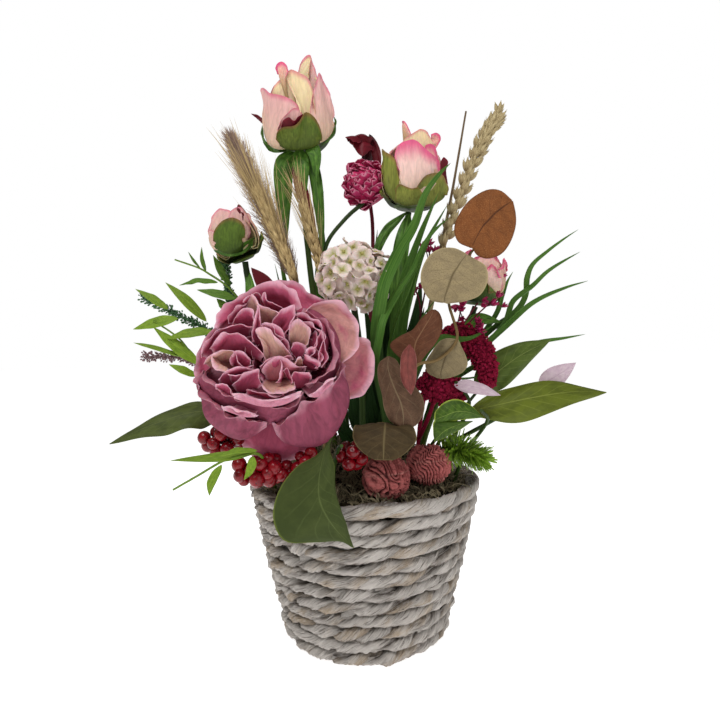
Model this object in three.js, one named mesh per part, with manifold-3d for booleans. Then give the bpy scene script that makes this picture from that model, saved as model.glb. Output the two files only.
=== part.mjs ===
// A flower basket arrangement: a whitewashed rope basket, filled with dry foam and moss, that holds
// silk peonies, dried grain, preserved eucalyptus, berries and foliage.
// Millimetres, +Z up. The origin is the middle of the basket's underside, and the flowers face -Y.

import * as THREE from "three";
import { mergeVertices } from "three/addons/utils/BufferGeometryUtils.js";
import Module from "manifold-3d";

const wasm = await Module();
wasm.setup();

// Driving dimensions
const RIM_RADIUS = 72; // over the rope
const FOOT_RADIUS = 50;
const BASKET_HEIGHT = 94;
const ROPE_ROWS = 12;
const ROPE_BULGE = 2.6; // how far a row stands out of the groove between two rows
const ROPE_LAYS = 14; // twists of the strands in one turn of the rope
const WALL = 7;
const FLOOR = 6;
const LINER = 0.8;
const FOAM_TOP = 76;
const MOSS_TOP = 90;
const STEM_DEPTH = 44; // height above the table that a heavy stem's cut end reaches down to
const PICK_DEPTH = 80; // the same for light pieces, which are only pushed into the moss
const SIMPLER = 0.08; // facets nearer to each other than this are joined
const GAP = 0.35; // room left round a piece that stands in or against another
const LEAF = 0.9; // thickness of a leaf or blade
const PETAL = 0.8;
const STEM = 1.9; // radius of a flower stem

const v = (x, y, z) => new THREE.Vector3(x, y, z);
const turn = (degrees) => (degrees * Math.PI) / 180;
const TO_FRONT = v(0, -1, 0);
const UP = v(0, 0, 1);

// A small seeded random source, so that each build is alike.
function seeded(seed) {
  let state = seed;
  return () => {
    state = (state * 1664525 + 1013904223) % 4294967296;
    return state / 4294967296;
  };
}

// While a piece is built fatter, to cut its room out of a neighbour, grow is that extra thickness.
let grow = 0;

function solidFrom(geometry) {
  const bare = geometry.clone();
  for (const name of Object.keys(bare.attributes)) {
    if (name !== "position") bare.deleteAttribute(name);
  }
  const merged = mergeVertices(bare, 1e-4);
  const kept = [];
  const index = merged.index.array;
  for (let i = 0; i < index.length; i += 3) {
    const [a, b, c] = [index[i], index[i + 1], index[i + 2]];
    if (a !== b && b !== c && a !== c) kept.push(a, b, c);
  }
  const vertProperties = merged.attributes.position.array;
  const triVerts = new Uint32Array(kept);
  return new wasm.Manifold(new wasm.Mesh({ numProp: 3, vertProperties, triVerts }));
}

function geometryFrom(points, triangles) {
  const geometry = new THREE.BufferGeometry().setFromPoints(points);
  geometry.setIndex(triangles);
  return geometry;
}

// Joins pieces into one body. Scraps that touch nothing are dropped.
function fuse(pieces) {
  const bodies = wasm.Manifold.union(pieces.flat()).decompose();
  return bodies.reduce((a, b) => (b.volume() > a.volume() ? b : a));
}

// Stands a piece that was made round +Z at a point, with its +Z towards a direction.
function place(piece, at, towards, spin = 0) {
  const lift = new THREE.Quaternion().setFromUnitVectors(v(0, 0, 1), towards.clone().normalize());
  lift.multiply(new THREE.Quaternion().setFromAxisAngle(v(0, 0, 1), turn(spin)));
  const matrix = new THREE.Matrix4().compose(at, lift, v(1, 1, 1));
  return piece.transform(matrix.elements);
}

// Rings of points round a curve at some shares of its length. Each ring is turned on from the last.
function ringsAlong(points, shares, sides, radius, spin = 0) {
  const curve = new THREE.CatmullRomCurve3(points);
  const ring = [];
  let across = null;
  shares.forEach((s, i) => {
    const along = curve.getTangent(s);
    across ??= Math.abs(along.z) < 0.9 ? UP.clone() : v(1, 0, 0);
    across.addScaledVector(along, -across.dot(along)).normalize();
    const other = along.clone().cross(across);
    const reach = radius(s) + grow;
    for (let k = 0; k < sides; k++) {
      const angle = (2 * Math.PI * k) / sides + turn(spin * i);
      const out = across.clone().multiplyScalar(Math.cos(angle) * reach);
      ring.push(out.addScaledVector(other, Math.sin(angle) * reach).add(curve.getPoint(s)));
    }
  });
  return { ring, curve };
}

function capEnds(faces, sides, last) {
  for (let k = 1; k < sides - 1; k++) {
    faces.push(0, k + 1, k, last, last + k, last + k + 1);
  }
}

// A round stem along points, from one radius to another. Its rings stand at the points and between
// them, but the span that goes down into the moss is straight.
function stalk(points, radius, endRadius = radius, sides = 5, perSpan = 2) {
  const spans = points.length - 1;
  const shares = [0];
  for (let i = 0; i < spans; i++) {
    const steps = Math.min(points[i].z, points[i + 1].z) < MOSS_TOP ? 1 : perSpan;
    for (let k = 1; k <= steps; k++) shares.push((i + k / steps) / spans);
  }
  const { ring } = ringsAlong(points, shares, sides, (s) => radius + (endRadius - radius) * s);
  const faces = [];
  for (let i = 0; i < shares.length - 1; i++) {
    for (let k = 0; k < sides; k++) {
      const [a, b] = [i * sides + k, i * sides + ((k + 1) % sides)];
      faces.push(a, b, b + sides, a, b + sides, a + sides);
    }
  }
  capEnds(faces, sides, (shares.length - 1) * sides);
  return solidFrom(geometryFrom(ring, faces));
}

// A core with a grain, scale or needle on each cell of its side. steps shape one of these from the
// core to its tip: how far out, how far along, and the share of the cell's size that it has there.
function scaly(points, { rows, sides, radius, spin = 0, steps, shrink = 0.3 }) {
  const shares = Array.from({ length: rows + 1 }, (_, i) => i / rows);
  const { ring, curve } = ringsAlong(points, shares, sides, radius, spin);
  const faces = [];
  for (let i = 0; i < rows; i++) {
    const share = (i + 0.5) / rows;
    const size = 1 - shrink * share;
    const along = curve.getTangent(share);
    const axis = curve.getPoint(share);
    for (let k = 0; k < sides; k++) {
      const [a, b] = [i * sides + k, i * sides + ((k + 1) % sides)];
      let cell = [a, b, b + sides, a + sides];
      const corners = cell.map((n) => ring[n]);
      const middle = corners.reduce((sum, p) => sum.add(p), v(0, 0, 0)).divideScalar(4);
      const out = middle.clone().sub(axis);
      out.addScaledVector(along, -out.dot(along)).normalize();
      steps.forEach(([away, onward, share], step) => {
        const centre = middle.clone().addScaledVector(out, away * size + grow);
        centre.addScaledVector(along, onward * size);
        if (step === steps.length - 1) {
          const tip = ring.push(centre) - 1;
          cell.forEach((n, m) => faces.push(n, cell[(m + 1) % 4], tip));
          return;
        }
        const next = corners.map((p) => {
          const spread = p.clone().sub(middle);
          return ring.push(spread.multiplyScalar(share + grow / spread.length()).add(centre)) - 1;
        });
        cell.forEach((n, m) => {
          const o = (m + 1) % 4;
          faces.push(n, cell[o], next[o], n, next[o], next[m]);
        });
        cell = next;
      });
    }
  }
  capEnds(faces, sides, rows * sides);
  return solidFrom(geometryFrom(ring, faces));
}

// A thin closed sheet over a grid of points: thick in the middle and sharp at its rim. Each cell is
// split the same way on both faces, and from the corner inwards, so that the faces never cross.
function sheet(at, rows, columns, thickness) {
  const middle = [];
  for (let i = 0; i <= rows; i++) {
    for (let j = 0; j <= columns; j++) middle.push(at(i / rows, (2 * j) / columns - 1));
  }
  const index = (i, j) => i * (columns + 1) + j;
  const point = (i, j) => middle[index(i, j)];
  const points = middle.map((p) => p.clone());
  const under = new Map();
  for (let i = 1; i < rows; i++) {
    for (let j = 1; j < columns; j++) {
      const along = point(i + 1, j).clone().sub(point(i - 1, j));
      const across = point(i, j + 1).clone().sub(point(i, j - 1));
      const half = Math.min(thickness, 0.45 * across.length()) / 2 + grow;
      const normal = along.cross(across).normalize().multiplyScalar(half);
      under.set(index(i, j), points.length);
      points.push(point(i, j).clone().sub(normal));
      points[index(i, j)].add(normal);
    }
  }
  if (grow) growRim(points, point, index, rows, columns);
  const faces = [];
  const below = (n) => under.get(n) ?? n;
  const both = (a, b, c) => faces.push(a, b, c, below(a), below(c), below(b));
  for (let i = 0; i < rows; i++) {
    for (let j = 0; j < columns; j++) {
      const [a, b, c, d] = [index(i, j), index(i + 1, j), index(i + 1, j + 1), index(i, j + 1)];
      if (i < rows / 2 === j < columns / 2) {
        both(a, b, c);
        both(a, c, d);
      } else {
        both(a, b, d);
        both(b, c, d);
      }
    }
  }
  return solidFrom(geometryFrom(points, faces));
}

// Moves the rim of a grown sheet outwards by the same extra thickness.
function growRim(points, point, index, rows, columns) {
  const push = (i, j, m, n) => {
    const out = point(i, j).clone().sub(point(m, n));
    if (out.length() > 1e-6) points[index(i, j)].add(out.setLength(grow * 1.5));
  };
  for (let i = 1; i < rows; i++) {
    push(i, 0, i, 1);
    push(i, columns, i, columns - 1);
  }
  for (let j = 0; j <= columns; j++) {
    push(0, j, 1, j);
    push(rows, j, rows - 1, j);
  }
}

// Outlines of leaves: the share of the full width at each share of the length.
const OUTLINES = {
  grass: (s) => Math.min(1, 0.3 + 3 * s) * Math.min(1, 2.4 * (1 - s)) ** 0.8,
  lance: (s) => Math.sin(Math.PI * s ** 0.75) ** 0.9,
  round: (s) => Math.sin(Math.PI * (0.03 + 0.94 * s)) ** 0.55,
  heart: (s) => Math.sin(Math.PI * Math.min(1, s * 1.02) ** 0.62) ** 0.8,
  petal: (s) => 1 - 0.42 * Math.max(0, (s - 0.6) / 0.4) ** 2,
};

// A leaf or blade along its midrib. face is the way its upper side looks, arch bends its edges down
// as a share of the width, twist turns it along its length and wave ruffles its edges.
function leaf(midrib, width, face, options = {}) {
  const { outline = "lance", arch = 0.12, twist = 0, wave = 0, waves = 2 } = options;
  const { rows = 5, columns = 2, thickness = LEAF } = options;
  const curve = new THREE.CatmullRomCurve3(midrib);
  return sheet(
    (s, t) => {
      const centre = curve.getPoint(s);
      const along = curve.getTangent(s);
      const side = along.clone().cross(face).normalize();
      side.applyAxisAngle(along, turn(twist * s));
      const up = side.clone().cross(along).normalize();
      const share = Math.max(0, OUTLINES[outline](s));
      const half = (width / 2) * share;
      const ruffle = wave * share * Math.sin(waves * Math.PI * 2 * s + t) * t;
      centre.addScaledVector(side, t * half);
      return centre.addScaledVector(up, ruffle - arch * 2 * half * t * t);
    },
    rows,
    columns,
    thickness,
  );
}

function ball(at, radius, stretch = v(1, 1, 1), geometry = new THREE.IcosahedronGeometry(1, 0)) {
  geometry.rotateX(at.x).rotateZ(at.y); // a turn of its own for each ball
  const size = stretch.clone().multiplyScalar(radius).addScalar(grow);
  geometry.scale(size.x, size.y, size.z).translate(at.x, at.y, at.z);
  return solidFrom(geometry);
}

function turned(profile, sides) {
  return solidFrom(new THREE.LatheGeometry(profile.map(([r, z]) => new THREE.Vector2(r, z)), sides));
}

// LatheGeometry turns about Y, so its bodies are stood up on Z.
const standing = (piece) => piece.rotate([90, 0, 0]);

const radiusAt = (z) => FOOT_RADIUS + ((RIM_RADIUS - FOOT_RADIUS) * z) / BASKET_HEIGHT;

// ---- Holder ----

// The rope is laid in rows, and its twist raises and lowers the crest of each row.
function ropeBasket() {
  const sectors = ROPE_LAYS * 2;
  const rowHeight = BASKET_HEIGHT / ROPE_ROWS;
  const levels = ROPE_ROWS * 2 + 1;
  const inner = [
    [RIM_RADIUS - WALL, BASKET_HEIGHT],
    [FOOT_RADIUS - WALL + 1.4, FLOOR],
  ];
  const rings = [];
  for (let level = 0; level < levels; level++) {
    const z = (level * rowHeight) / 2;
    const crest = level % 2;
    rings.push((angle, k) => {
      const strand = crest * ((k + (level - 1) / 2) % 2 ? -1 : 1);
      const reach = radiusAt(z) - (crest ? 0.4 - 0.5 * strand : ROPE_BULGE);
      return v(reach * Math.cos(angle), reach * Math.sin(angle), z + 0.9 * strand);
    });
  }
  for (const [r, z] of inner) rings.push((angle) => v(r * Math.cos(angle), r * Math.sin(angle), z));
  const points = [];
  const faces = [];
  rings.forEach((ring) => {
    for (let k = 0; k < sectors; k++) points.push(ring((2 * Math.PI * k) / sectors, k));
  });
  for (let i = 0; i < rings.length - 1; i++) {
    for (let k = 0; k < sectors; k++) {
      const [a, b] = [i * sectors + k, i * sectors + ((k + 1) % sectors)];
      faces.push(a, b, b + sectors, a, b + sectors, a + sectors);
    }
  }
  const underside = points.push(v(0, 0, 0)) - 1;
  const inside = points.push(v(0, 0, FLOOR)) - 1;
  const last = (rings.length - 1) * sectors;
  for (let k = 0; k < sectors; k++) {
    const next = (k + 1) % sectors;
    faces.push(underside, next, k, inside, last + k, last + next);
  }
  return solidFrom(geometryFrom(points, faces));
}

// The inside of the basket at a height, with room for the liner's own gap.
const insideAt = (z) => {
  const rise = (z - FLOOR) / (BASKET_HEIGHT - FLOOR);
  return FOOT_RADIUS - WALL + 1.4 + (RIM_RADIUS - FOOT_RADIUS - 1.4) * rise - GAP;
};
const LINER_FLOOR = FLOOR + GAP;
const LINER_TOP = MOSS_TOP - 4;

function filmLiner() {
  const profile = [
    [0, LINER_FLOOR],
    [insideAt(LINER_FLOOR) - 0.4, LINER_FLOOR],
    [insideAt(LINER_TOP) - 0.4, LINER_TOP],
    [insideAt(LINER_TOP) - 0.4 - LINER, LINER_TOP],
    [insideAt(LINER_FLOOR) - 0.4 - LINER, LINER_FLOOR + LINER],
    [0, LINER_FLOOR + LINER],
  ];
  return standing(turned(profile, 20));
}

const fillAt = (z) => insideAt(z) - LINER - 0.4 - 3 * GAP;

function foamBlock() {
  const foot = LINER_FLOOR + LINER + GAP;
  return standing(
    turned([[0, foot], [fillAt(foot), foot], [fillAt(FOAM_TOP), FOAM_TOP], [0, FOAM_TOP]], 24),
  );
}

// The moss is a loose mat: its top is lumpy by a formula, and it laps over the liner's edge.
function mossMat() {
  const [rings, sectors] = [4, 16];
  const foot = FOAM_TOP + GAP;
  const points = [v(0, 0, MOSS_TOP + 2)];
  const faces = [];
  const lump = (x, y) => 1.6 * Math.sin(x * 0.31 + 1) * Math.cos(y * 0.27) + 1.1 * Math.sin(x * 0.7 - y * 0.5);
  for (let i = 1; i <= rings; i++) {
    for (let k = 0; k < sectors; k++) {
      const angle = (2 * Math.PI * (k + (i % 2) / 2)) / sectors;
      const reach = (i / rings) * (insideAt(MOSS_TOP) - 2.6);
      const [x, y] = [reach * Math.cos(angle), reach * Math.sin(angle)];
      points.push(v(x, y, MOSS_TOP + (i < rings ? 2 + lump(x, y) : -1.5)));
    }
  }
  for (let k = 0; k < sectors; k++) {
    const angle = (2 * Math.PI * (k + (rings % 2) / 2)) / sectors;
    const reach = fillAt(foot) - 0.4;
    points.push(v(reach * Math.cos(angle), reach * Math.sin(angle), foot));
  }
  const base = points.push(v(0, 0, foot)) - 1;
  const at = (i, k) => 1 + (i - 1) * sectors + (k % sectors);
  for (let k = 0; k < sectors; k++) {
    faces.push(0, at(1, k), at(1, k + 1));
    faces.push(base, at(rings + 1, k + 1), at(rings + 1, k));
    for (let i = 1; i <= rings; i++) {
      const shift = i < rings ? i % 2 : 0;
      const [a, b, c, d] = [at(i, k), at(i + 1, k), at(i + 1, k + 1), at(i, k + 1)];
      if (shift || i === rings) faces.push(a, c, d, a, b, c);
      else faces.push(a, b, d, b, c, d);
    }
  }
  return solidFrom(geometryFrom(points, faces));
}

// ---- Blooms ----

// One petal of a cupped bloom round +Z: a sector of a bowl. The bowl's side leaves the middle at one
// lean from the axis and ends at another, and span is the petal's half width round the bloom. All
// angles are in degrees.
function cupPetal({ around, lean, endLean, length, span, ruffle, seed, foot, rows = 3, columns = 3 }) {
  const phase = seeded(seed)() * 6;
  const steps = 12;
  const side = [[2, foot]];
  for (let i = 0; i < steps; i++) {
    const angle = turn(lean + ((endLean - lean) * (i + 0.5)) / steps);
    const [r, z] = side[i];
    side.push([r + (Math.sin(angle) * length) / steps, z + (Math.cos(angle) * length) / steps]);
  }
  return sheet(
    (s, t) => {
      const [r, z] = side[Math.round(s * steps)];
      const angle = turn(lean + (endLean - lean) * s);
      const wave = ruffle * s * s * Math.sin(4 * t + phase) + 0.9 * t * s;
      const reach = Math.max(0.5, r - wave * Math.cos(angle));
      const at = turn(around + t * span * OUTLINES.petal(s));
      const droop = s > 0.9 ? length * 0.07 * t * t : 0; // the tip is rounded
      const height = z + wave * Math.sin(angle) - droop * Math.cos(angle);
      const out = reach - droop * Math.sin(angle);
      return v(out * Math.cos(at), out * Math.sin(at), height);
    },
    rows,
    columns,
    PETAL,
  );
}

// Rings of petals, from the flared outer ones to the crumpled middle.
const PEONY_RINGS = [
  { count: 4, from: -64, step: 46, lean: 97, endLean: 84, length: 43, span: 25, ruffle: 2, foot: 0, rows: 4 },
  { count: 6, from: 10, step: 60, lean: 86, endLean: 32, length: 46, span: 35, ruffle: 1.4, foot: 2, columns: 4 },
  { count: 5, from: 40, step: 72, lean: 76, endLean: 12, length: 40, span: 41, ruffle: 2, foot: 4 },
  { count: 4, from: 5, step: 90, lean: 58, endLean: 2, length: 35, span: 52, ruffle: 2.4, foot: 5.5 },
  { count: 3, from: 30, step: 120, lean: 36, endLean: -4, length: 30, span: 66, ruffle: 2.2, foot: 7 },
  { count: 2, from: 60, step: 180, lean: 12, endLean: -4, length: 26, span: 80, ruffle: 1.2, foot: 8 },
];
const PEONY = { at: v(-37, -56, 162), towards: v(-0.06, -1, 0.03) };

function peonyPetals() {
  const random = seeded(8);
  const petals = [ball(v(0, 0, 3), 8.5)];
  PEONY_RINGS.forEach(({ count, from, step, ...shape }, ring) => {
    for (let k = 0; k < count; k++) {
      const around = from + step * k + 6 * (random() - 0.5);
      const length = shape.length * (0.94 + 0.12 * random());
      petals.push(cupPetal({ ...shape, around, length, seed: 100 * ring + k }));
    }
  });
  return place(fuse(petals), PEONY.at, PEONY.towards);
}

function peonyStem() {
  const back = PEONY.at.clone().addScaledVector(PEONY.towards.clone().normalize(), -8);
  const cup = standing(turned([[0, -3], [5, -2], [8, 3], [7, 5], [0, 5]], 8));
  return fuse([
    place(cup, back, PEONY.towards),
    stalk([back, v(-34, -38, 148), v(-28, -26, 112), v(-24, -19, STEM_DEPTH)], STEM + 0.6, STEM + 0.6, 5, 1),
  ]);
}

// A bud is an egg-shaped heart with petals wrapped over it. This is a point of its surface, by the
// angle from its tip and the angle round it, lifted clear by a distance.
function eggPoint(bud, polar, around, lift) {
  const ring = Math.sin(polar) * (1 - 0.16 * Math.cos(polar));
  const radius = bud.radius * ring + lift * Math.max(0, Math.sin(polar)) ** 0.5;
  const height = (1 + Math.cos(polar)) * (bud.height / 2) + lift * Math.cos(polar);
  return v(radius * Math.cos(around), radius * Math.sin(around), height);
}

const CUP_POLAR = Math.PI - 0.45; // where the sepals leave the green cup
const SEPAL_LIFT = 4.4;

// One wrapped petal or sepal, from near the bud's foot up to a share of its height. Its edges lie
// under one neighbour and over the other, and its tip stands off.
function budPetal(bud, { around, top, span, lift, flare, foot = -6.5, tilt = 0.9, point = 0, columns = 4 }) {
  return sheet(
    (s, t) => {
      const half = turn(span) * OUTLINES.petal(s) * (1 - point * s * s);
      const polar = CUP_POLAR + (Math.PI * top - CUP_POLAR) * s + 0.25 * s * s * t * t;
      const away = s === 0 ? foot : lift + flare * s ** 3 + tilt * t * Math.min(1, 2 * s);
      return eggPoint(bud, polar, turn(around) + t * half, away);
    },
    3,
    columns,
    PETAL,
  );
}

const BUDS = {
  bud_top: { at: v(-35, 8, 308), towards: v(0.02, -0.1, 1), radius: 21, height: 56 },
  bud_right: { at: v(35, -2, 265), towards: v(0.14, -0.12, 1), radius: 19, height: 47 },
  bud_left: { at: v(-69, -19, 233), towards: v(-0.35, -0.4, 1), radius: 13, height: 27 },
  bud_back: { at: v(78, 5, 204), towards: v(0.15, -0.1, 1), radius: 14, height: 33 },
};

function budPetals(name) {
  const bud = BUDS[name];
  const heart = [[0, eggPoint(bud, CUP_POLAR, 0, SEPAL_LIFT).z + 0.4]];
  for (const polar of [0.75, 0.45, 0.18]) {
    const p = eggPoint(bud, Math.PI * polar, 0, -3.2);
    heart.push([p.x, p.z]);
  }
  heart.push([0, bud.height * 0.93]);
  const petals = [standing(turned(heart, 6))];
  const columns = 3;
  for (let k = 0; k < 3; k++) {
    const tall = { around: 70 + 120 * k, top: 0.05 + 0.03 * k, span: 66, lift: 0.2, flare: 1.6 };
    petals.push(budPetal(bud, { ...tall, columns }));
    if (k === 2) continue;
    const short = { around: -30 + 150 * k, top: 0.26 + 0.06 * k, span: 46, lift: 2.4, flare: 1.6 };
    petals.push(budPetal(bud, { ...short, tilt: 0.2, point: 0.4, columns }));
  }
  return place(fuse(petals), bud.at, bud.towards);
}

// Green cup of sepals, the stem below it and the leaves on that stem.
function budStem(name, path, leaves) {
  const bud = BUDS[name];
  const rim = eggPoint(bud, CUP_POLAR, 0, SEPAL_LIFT);
  const out = rim.x + 0.8;
  const cup = [[0, -6], [STEM + 0.4, -5], [out, rim.z - 0.8], [out, rim.z + 0.6], [0, rim.z - 0.2]];
  const green = [standing(turned(cup, 8))];
  const sepals = bud.radius > 15 ? 4 : 3;
  for (let k = 0; k < sepals; k++) {
    const around = -90 + (360 / sepals) * k;
    const shape = { around, top: 0.42 + 0.07 * (k % 2), span: 160 / sepals, flare: 0.4 };
    const [lift, foot] = [SEPAL_LIFT, SEPAL_LIFT];
    green.push(budPetal(bud, { ...shape, lift, foot, tilt: 0, point: 0.6, columns: sepals - 1 }));
  }
  const head = place(wasm.Manifold.union(green), bud.at, bud.towards);
  const start = v(0, 0, -3).applyQuaternion(
    new THREE.Quaternion().setFromUnitVectors(UP, bud.towards.clone().normalize()),
  );
  return fuse([head, stalk([start.add(bud.at), ...path], STEM, STEM, 4, 1), ...leaves]);
}

const BUD_STEMS = {
  bud_top: () => [
    [v(-33, 6, 262), v(-28, 2, 205), v(-19, 0, 135), v(-13, 2, STEM_DEPTH)],
    [
      leaf([v(-36, 9, 304), v(-48, 13, 290), v(-49, 13, 262), v(-45, 10, 240)], 12, TO_FRONT, {}),
      leaf([v(-33, 6, 298), v(-23, 3, 282), v(-22, 4, 258), v(-25, 6, 236)], 9, TO_FRONT, {}),
    ],
  ],
  bud_right: () => [
    [v(30, -4, 238), v(24, -7, 200), v(18, -8, 150), v(14, -5, STEM_DEPTH)],
    [
      leaf([v(35, -3, 262), v(29, -8, 240), v(24, -11, 205), v(20, -11, 170)], 10, TO_FRONT, {}),
      leaf([v(33, -3, 262), v(20, -5, 250), v(13, -6, 236), v(9, -7, 220)], 6, TO_FRONT, {}),
    ],
  ],
  bud_left: () => [
    [v(-66, -16, 214), v(-58, -14, 190), v(-46, -9, 150), v(-36, -2, STEM_DEPTH)],
    [
      leaf([v(-67, -17, 226), v(-64, -21, 208), v(-61, -21, 190), v(-58, -20, 172)], 7, TO_FRONT, {}),
    ],
  ],
  bud_back: () => [
    [v(73, 6, 190), v(56, 8, 150), v(40, 10, 105), v(36, 11, STEM_DEPTH)],
    [leaf([v(70, 6, 185), v(78, 0, 192), v(92, -3, 190)], 9, TO_FRONT, { rows: 4 })],
  ],
};

// A ball of short incurved petals, in rows from the stem to the crown.
const POMPON = { at: v(4, 11, 286), towards: v(0.1, -0.45, 1), radius: 12.5 };

// Points spread evenly over a ball, from its crown down to a share of its depth.
function spread(count, depth, use) {
  for (let k = 0; k < count; k++) {
    const polar = Math.acos(1 - (2 * depth * (k + 0.5)) / count);
    const around = turn(137.5 * k);
    const out = v(Math.cos(around), Math.sin(around), 0).multiplyScalar(Math.sin(polar));
    use(out.setZ(Math.cos(polar)), k);
  }
}

// The petals are scales on a ball, and lean towards its crown.
function pomponPetals() {
  const { radius } = POMPON;
  const ballRadius = (s) => radius * Math.sin(Math.PI * (0.06 + 0.88 * s));
  const petals = scaly([v(0, 0, -radius * 0.95), v(0, 0, 0), v(0, 0, radius * 0.95)], {
    rows: 6, sides: 8, radius: ballRadius, spin: 22, shrink: 0.2,
    steps: [[1.4, 1.2, 0.94], [2.6, 4.6, 0]],
  });
  return place(petals, POMPON.at, POMPON.towards);
}

const pomponStem = () =>
  stalk(
    [v(3.2, 9, 274.5), v(-10, 10, 264), v(-20, 9, 244), v(-19, 7, 215), v(-11, 8, 150), v(-6, 9, PICK_DEPTH)],
    1.4, 1.4, 4, 1,
  );

// A burgundy calla: its stem passes behind the pompon, and the bloom folds over at the top.
function burgundyCalla() {
  const fold = [v(16, 27, 290), v(17, 24, 308), v(11, 20, 321), v(3, 17, 319), v(-2, 15, 315)];
  return fuse([
    stalk([v(16, 27, 294), v(14, 28, 270), v(11, 24, 230), v(6, 17, 160), v(4, 14, PICK_DEPTH)], 1.4, 1.4, 4, 1),
    leaf(fold, 9, v(0.3, -1, 0.2), { outline: "grass", arch: 0.3 }),
    leaf([v(9, 19, 321), v(7, 15, 315), v(6, 13, 307)], 14, v(0, -1, 0.2), { outline: "heart", arch: 0.3 }),
    leaf([v(8, 18, 320), v(0, 13, 319), v(-5, 10, 317)], 7, v(0, -0.6, 1), { rows: 3 }),
  ]);
}

const burgundyLeaf = () =>
  fuse([
    leaf([v(-38, 0, 298), v(-35, -1, 284), v(-30, 0, 268), v(-25, 0, 250)], 8, v(0.5, -1, 0), { arch: 0.3 }),
    stalk([v(-29, 0, 262), v(-22, 2, 235), v(-15, 0, 180), v(-13, -1, PICK_DEPTH)], 1, 1, 4, 1),
  ]);

// A head of four-petalled florets round a core.
const SNOWBALL = { at: v(-2, -34, 216), towards: v(0, -0.4, 1), radius: 20 };

function floret(size, cup) {
  const points = [v(0, 0, grow), v(0, 0, -5 - grow)]; // the lower point is sunk in the core
  const faces = [];
  const rim = 8;
  for (let k = 0; k < rim; k++) {
    const angle = (2 * Math.PI * k) / rim;
    const reach = (k % 2 ? 0.5 : 1) * size + grow;
    points.push(v(reach * Math.cos(angle), reach * Math.sin(angle), k % 2 ? 0 : cup));
  }
  for (let k = 0; k < rim; k++) {
    const [a, b] = [2 + k, 2 + ((k + 1) % rim)];
    faces.push(0, a, b, 1, b, a);
  }
  return solidFrom(geometryFrom(points, faces));
}

function snowballFlorets() {
  const random = seeded(21);
  const { radius } = SNOWBALL;
  const pieces = [ball(v(0, 0, 0), radius - 1, v(1, 1, 0.95), new THREE.OctahedronGeometry(1, 1))];
  spread(22, 0.93, (out) => {
    const at = out.clone().multiplyScalar(radius + 0.8 + 1.4 * random());
    const lean = out.clone().add(v(random() - 0.5, random() - 0.5, random() - 0.5).multiplyScalar(0.3));
    pieces.push(place(floret(7.4 + random(), 1.6), at, lean, 90 * random()));
  });
  return place(fuse(pieces), SNOWBALL.at, SNOWBALL.towards);
}

const snowballStem = () =>
  stalk([v(-2, -26, 197), v(1, -25, 170), v(1, -22, 120), v(-2, -18, STEM_DEPTH)], STEM, STEM, 4, 1);

// ---- Dried grain ----

const taper = (from, to) => (s) => from + (to - from) * s;

// A tall ear and a short one on a forked stem. A long awn runs on from each grain.
const barleyEars = () =>
  fuse([
    scaly([v(-36, -24, 214), v(-45, -27, 240), v(-57, -30, 268)], {
      rows: 5, sides: 3, radius: taper(2.1, 1.5), spin: 30,
      steps: [[1.2, 1, 0.9], [2.4, 8, 0.22], [9, 54, 0]],
    }),
    scaly([v(-20, -14, 218), v(-26, -13, 242), v(-32, -12, 264)], {
      rows: 4, sides: 3, radius: taper(2, 1.4), spin: 30,
      steps: [[1.1, 1, 0.9], [2.2, 8, 0.22], [5, 42, 0]],
    }),
    stalk([v(-37, -24, 216), v(-34, -20, 195), v(-28, -14, 150), v(-18, -10, PICK_DEPTH)], 1.1, 1.2, 4, 1),
    stalk([v(-20.5, -14, 220), v(-19, -14, 190), v(-21.5, -12, 120)], 1, 1, 4, 1),
  ]);

// A bare dry stalk stands behind the ear and joins its stem low down.
const wheatEar = () =>
  fuse([
    scaly([v(57, 4, 238), v(67, 6, 268), v(82, 8, 297), v(98, 10, 326)], {
      rows: 7, sides: 4, radius: taper(3, 2), spin: 25,
      steps: [[2.6, 3.4, 0.84], [5.4, 13.6, 0]],
    }),
    stalk([v(58, 4.2, 241), v(48, 4, 200), v(31, 2, 130), v(27, 3, PICK_DEPTH)], 1.3, 1.3, 4, 1),
    stalk([v(77, 14, 334), v(66, 13, 280), v(56, 11, 237), v(44, 4, 185)], 0.8, 1.1, 4, 1),
  ]);

// A soft foxtail: bristles stand out of a slim core all round.
const foxtail = () =>
  fuse([
    scaly([v(-40, -3, 222), v(-52, -1, 252), v(-66, 0, 286), v(-79, 1, 314)], {
      rows: 11, sides: 6, radius: taper(3.4, 1.8), spin: 22,
      steps: [[4.6, 12, 0]],
    }),
    stalk([v(-41, -3, 225), v(-37, -3, 205), v(-30, 2, 130), v(-28, 4, PICK_DEPTH)], 1.2, 1.2, 4, 1),
  ]);

// ---- Eucalyptus ----

const coin = (midrib, width, face, arch = 0.06) =>
  leaf(midrib, width, face, { outline: "round", arch, rows: 4, columns: 4, thickness: 1 });

const eucalyptusOlive = () =>
  fuse([
    stalk(
      [v(64, -44, 226), v(56, -43, 212), v(51, -45, 200), v(54, -50, 178), v(42, -56, 167), v(30, -60, 164)],
      0.9, 1, 4, 1,
    ),
    stalk([v(31, -60, 164), v(25, -54, 146), v(22, -40, 116), v(20, -28, STEM_DEPTH)], 1.1, 1.3, 4, 1),
    coin([v(64, -46, 225), v(55, -52, 216), v(44, -53, 203), v(38, -52, 197)], 33, v(-0.1, -1, 0.25)),
    coin([v(56, -50, 178), v(50, -53, 170), v(42, -50, 158)], 25, v(0.2, -1, 0.1)),
    coin([v(29, -60, 165), v(24, -67, 160), v(20, -68, 147), v(21, -65, 134)], 24, v(-0.2, -1, 0.05)),
  ]);

const eucalyptusBrownHigh = () =>
  fuse([
    coin([v(66.5, -46, 228), v(71, -47, 236), v(77, -46, 250), v(82, -45, 262)], 34, v(0.05, -1, 0.05)),
  ]);

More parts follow.
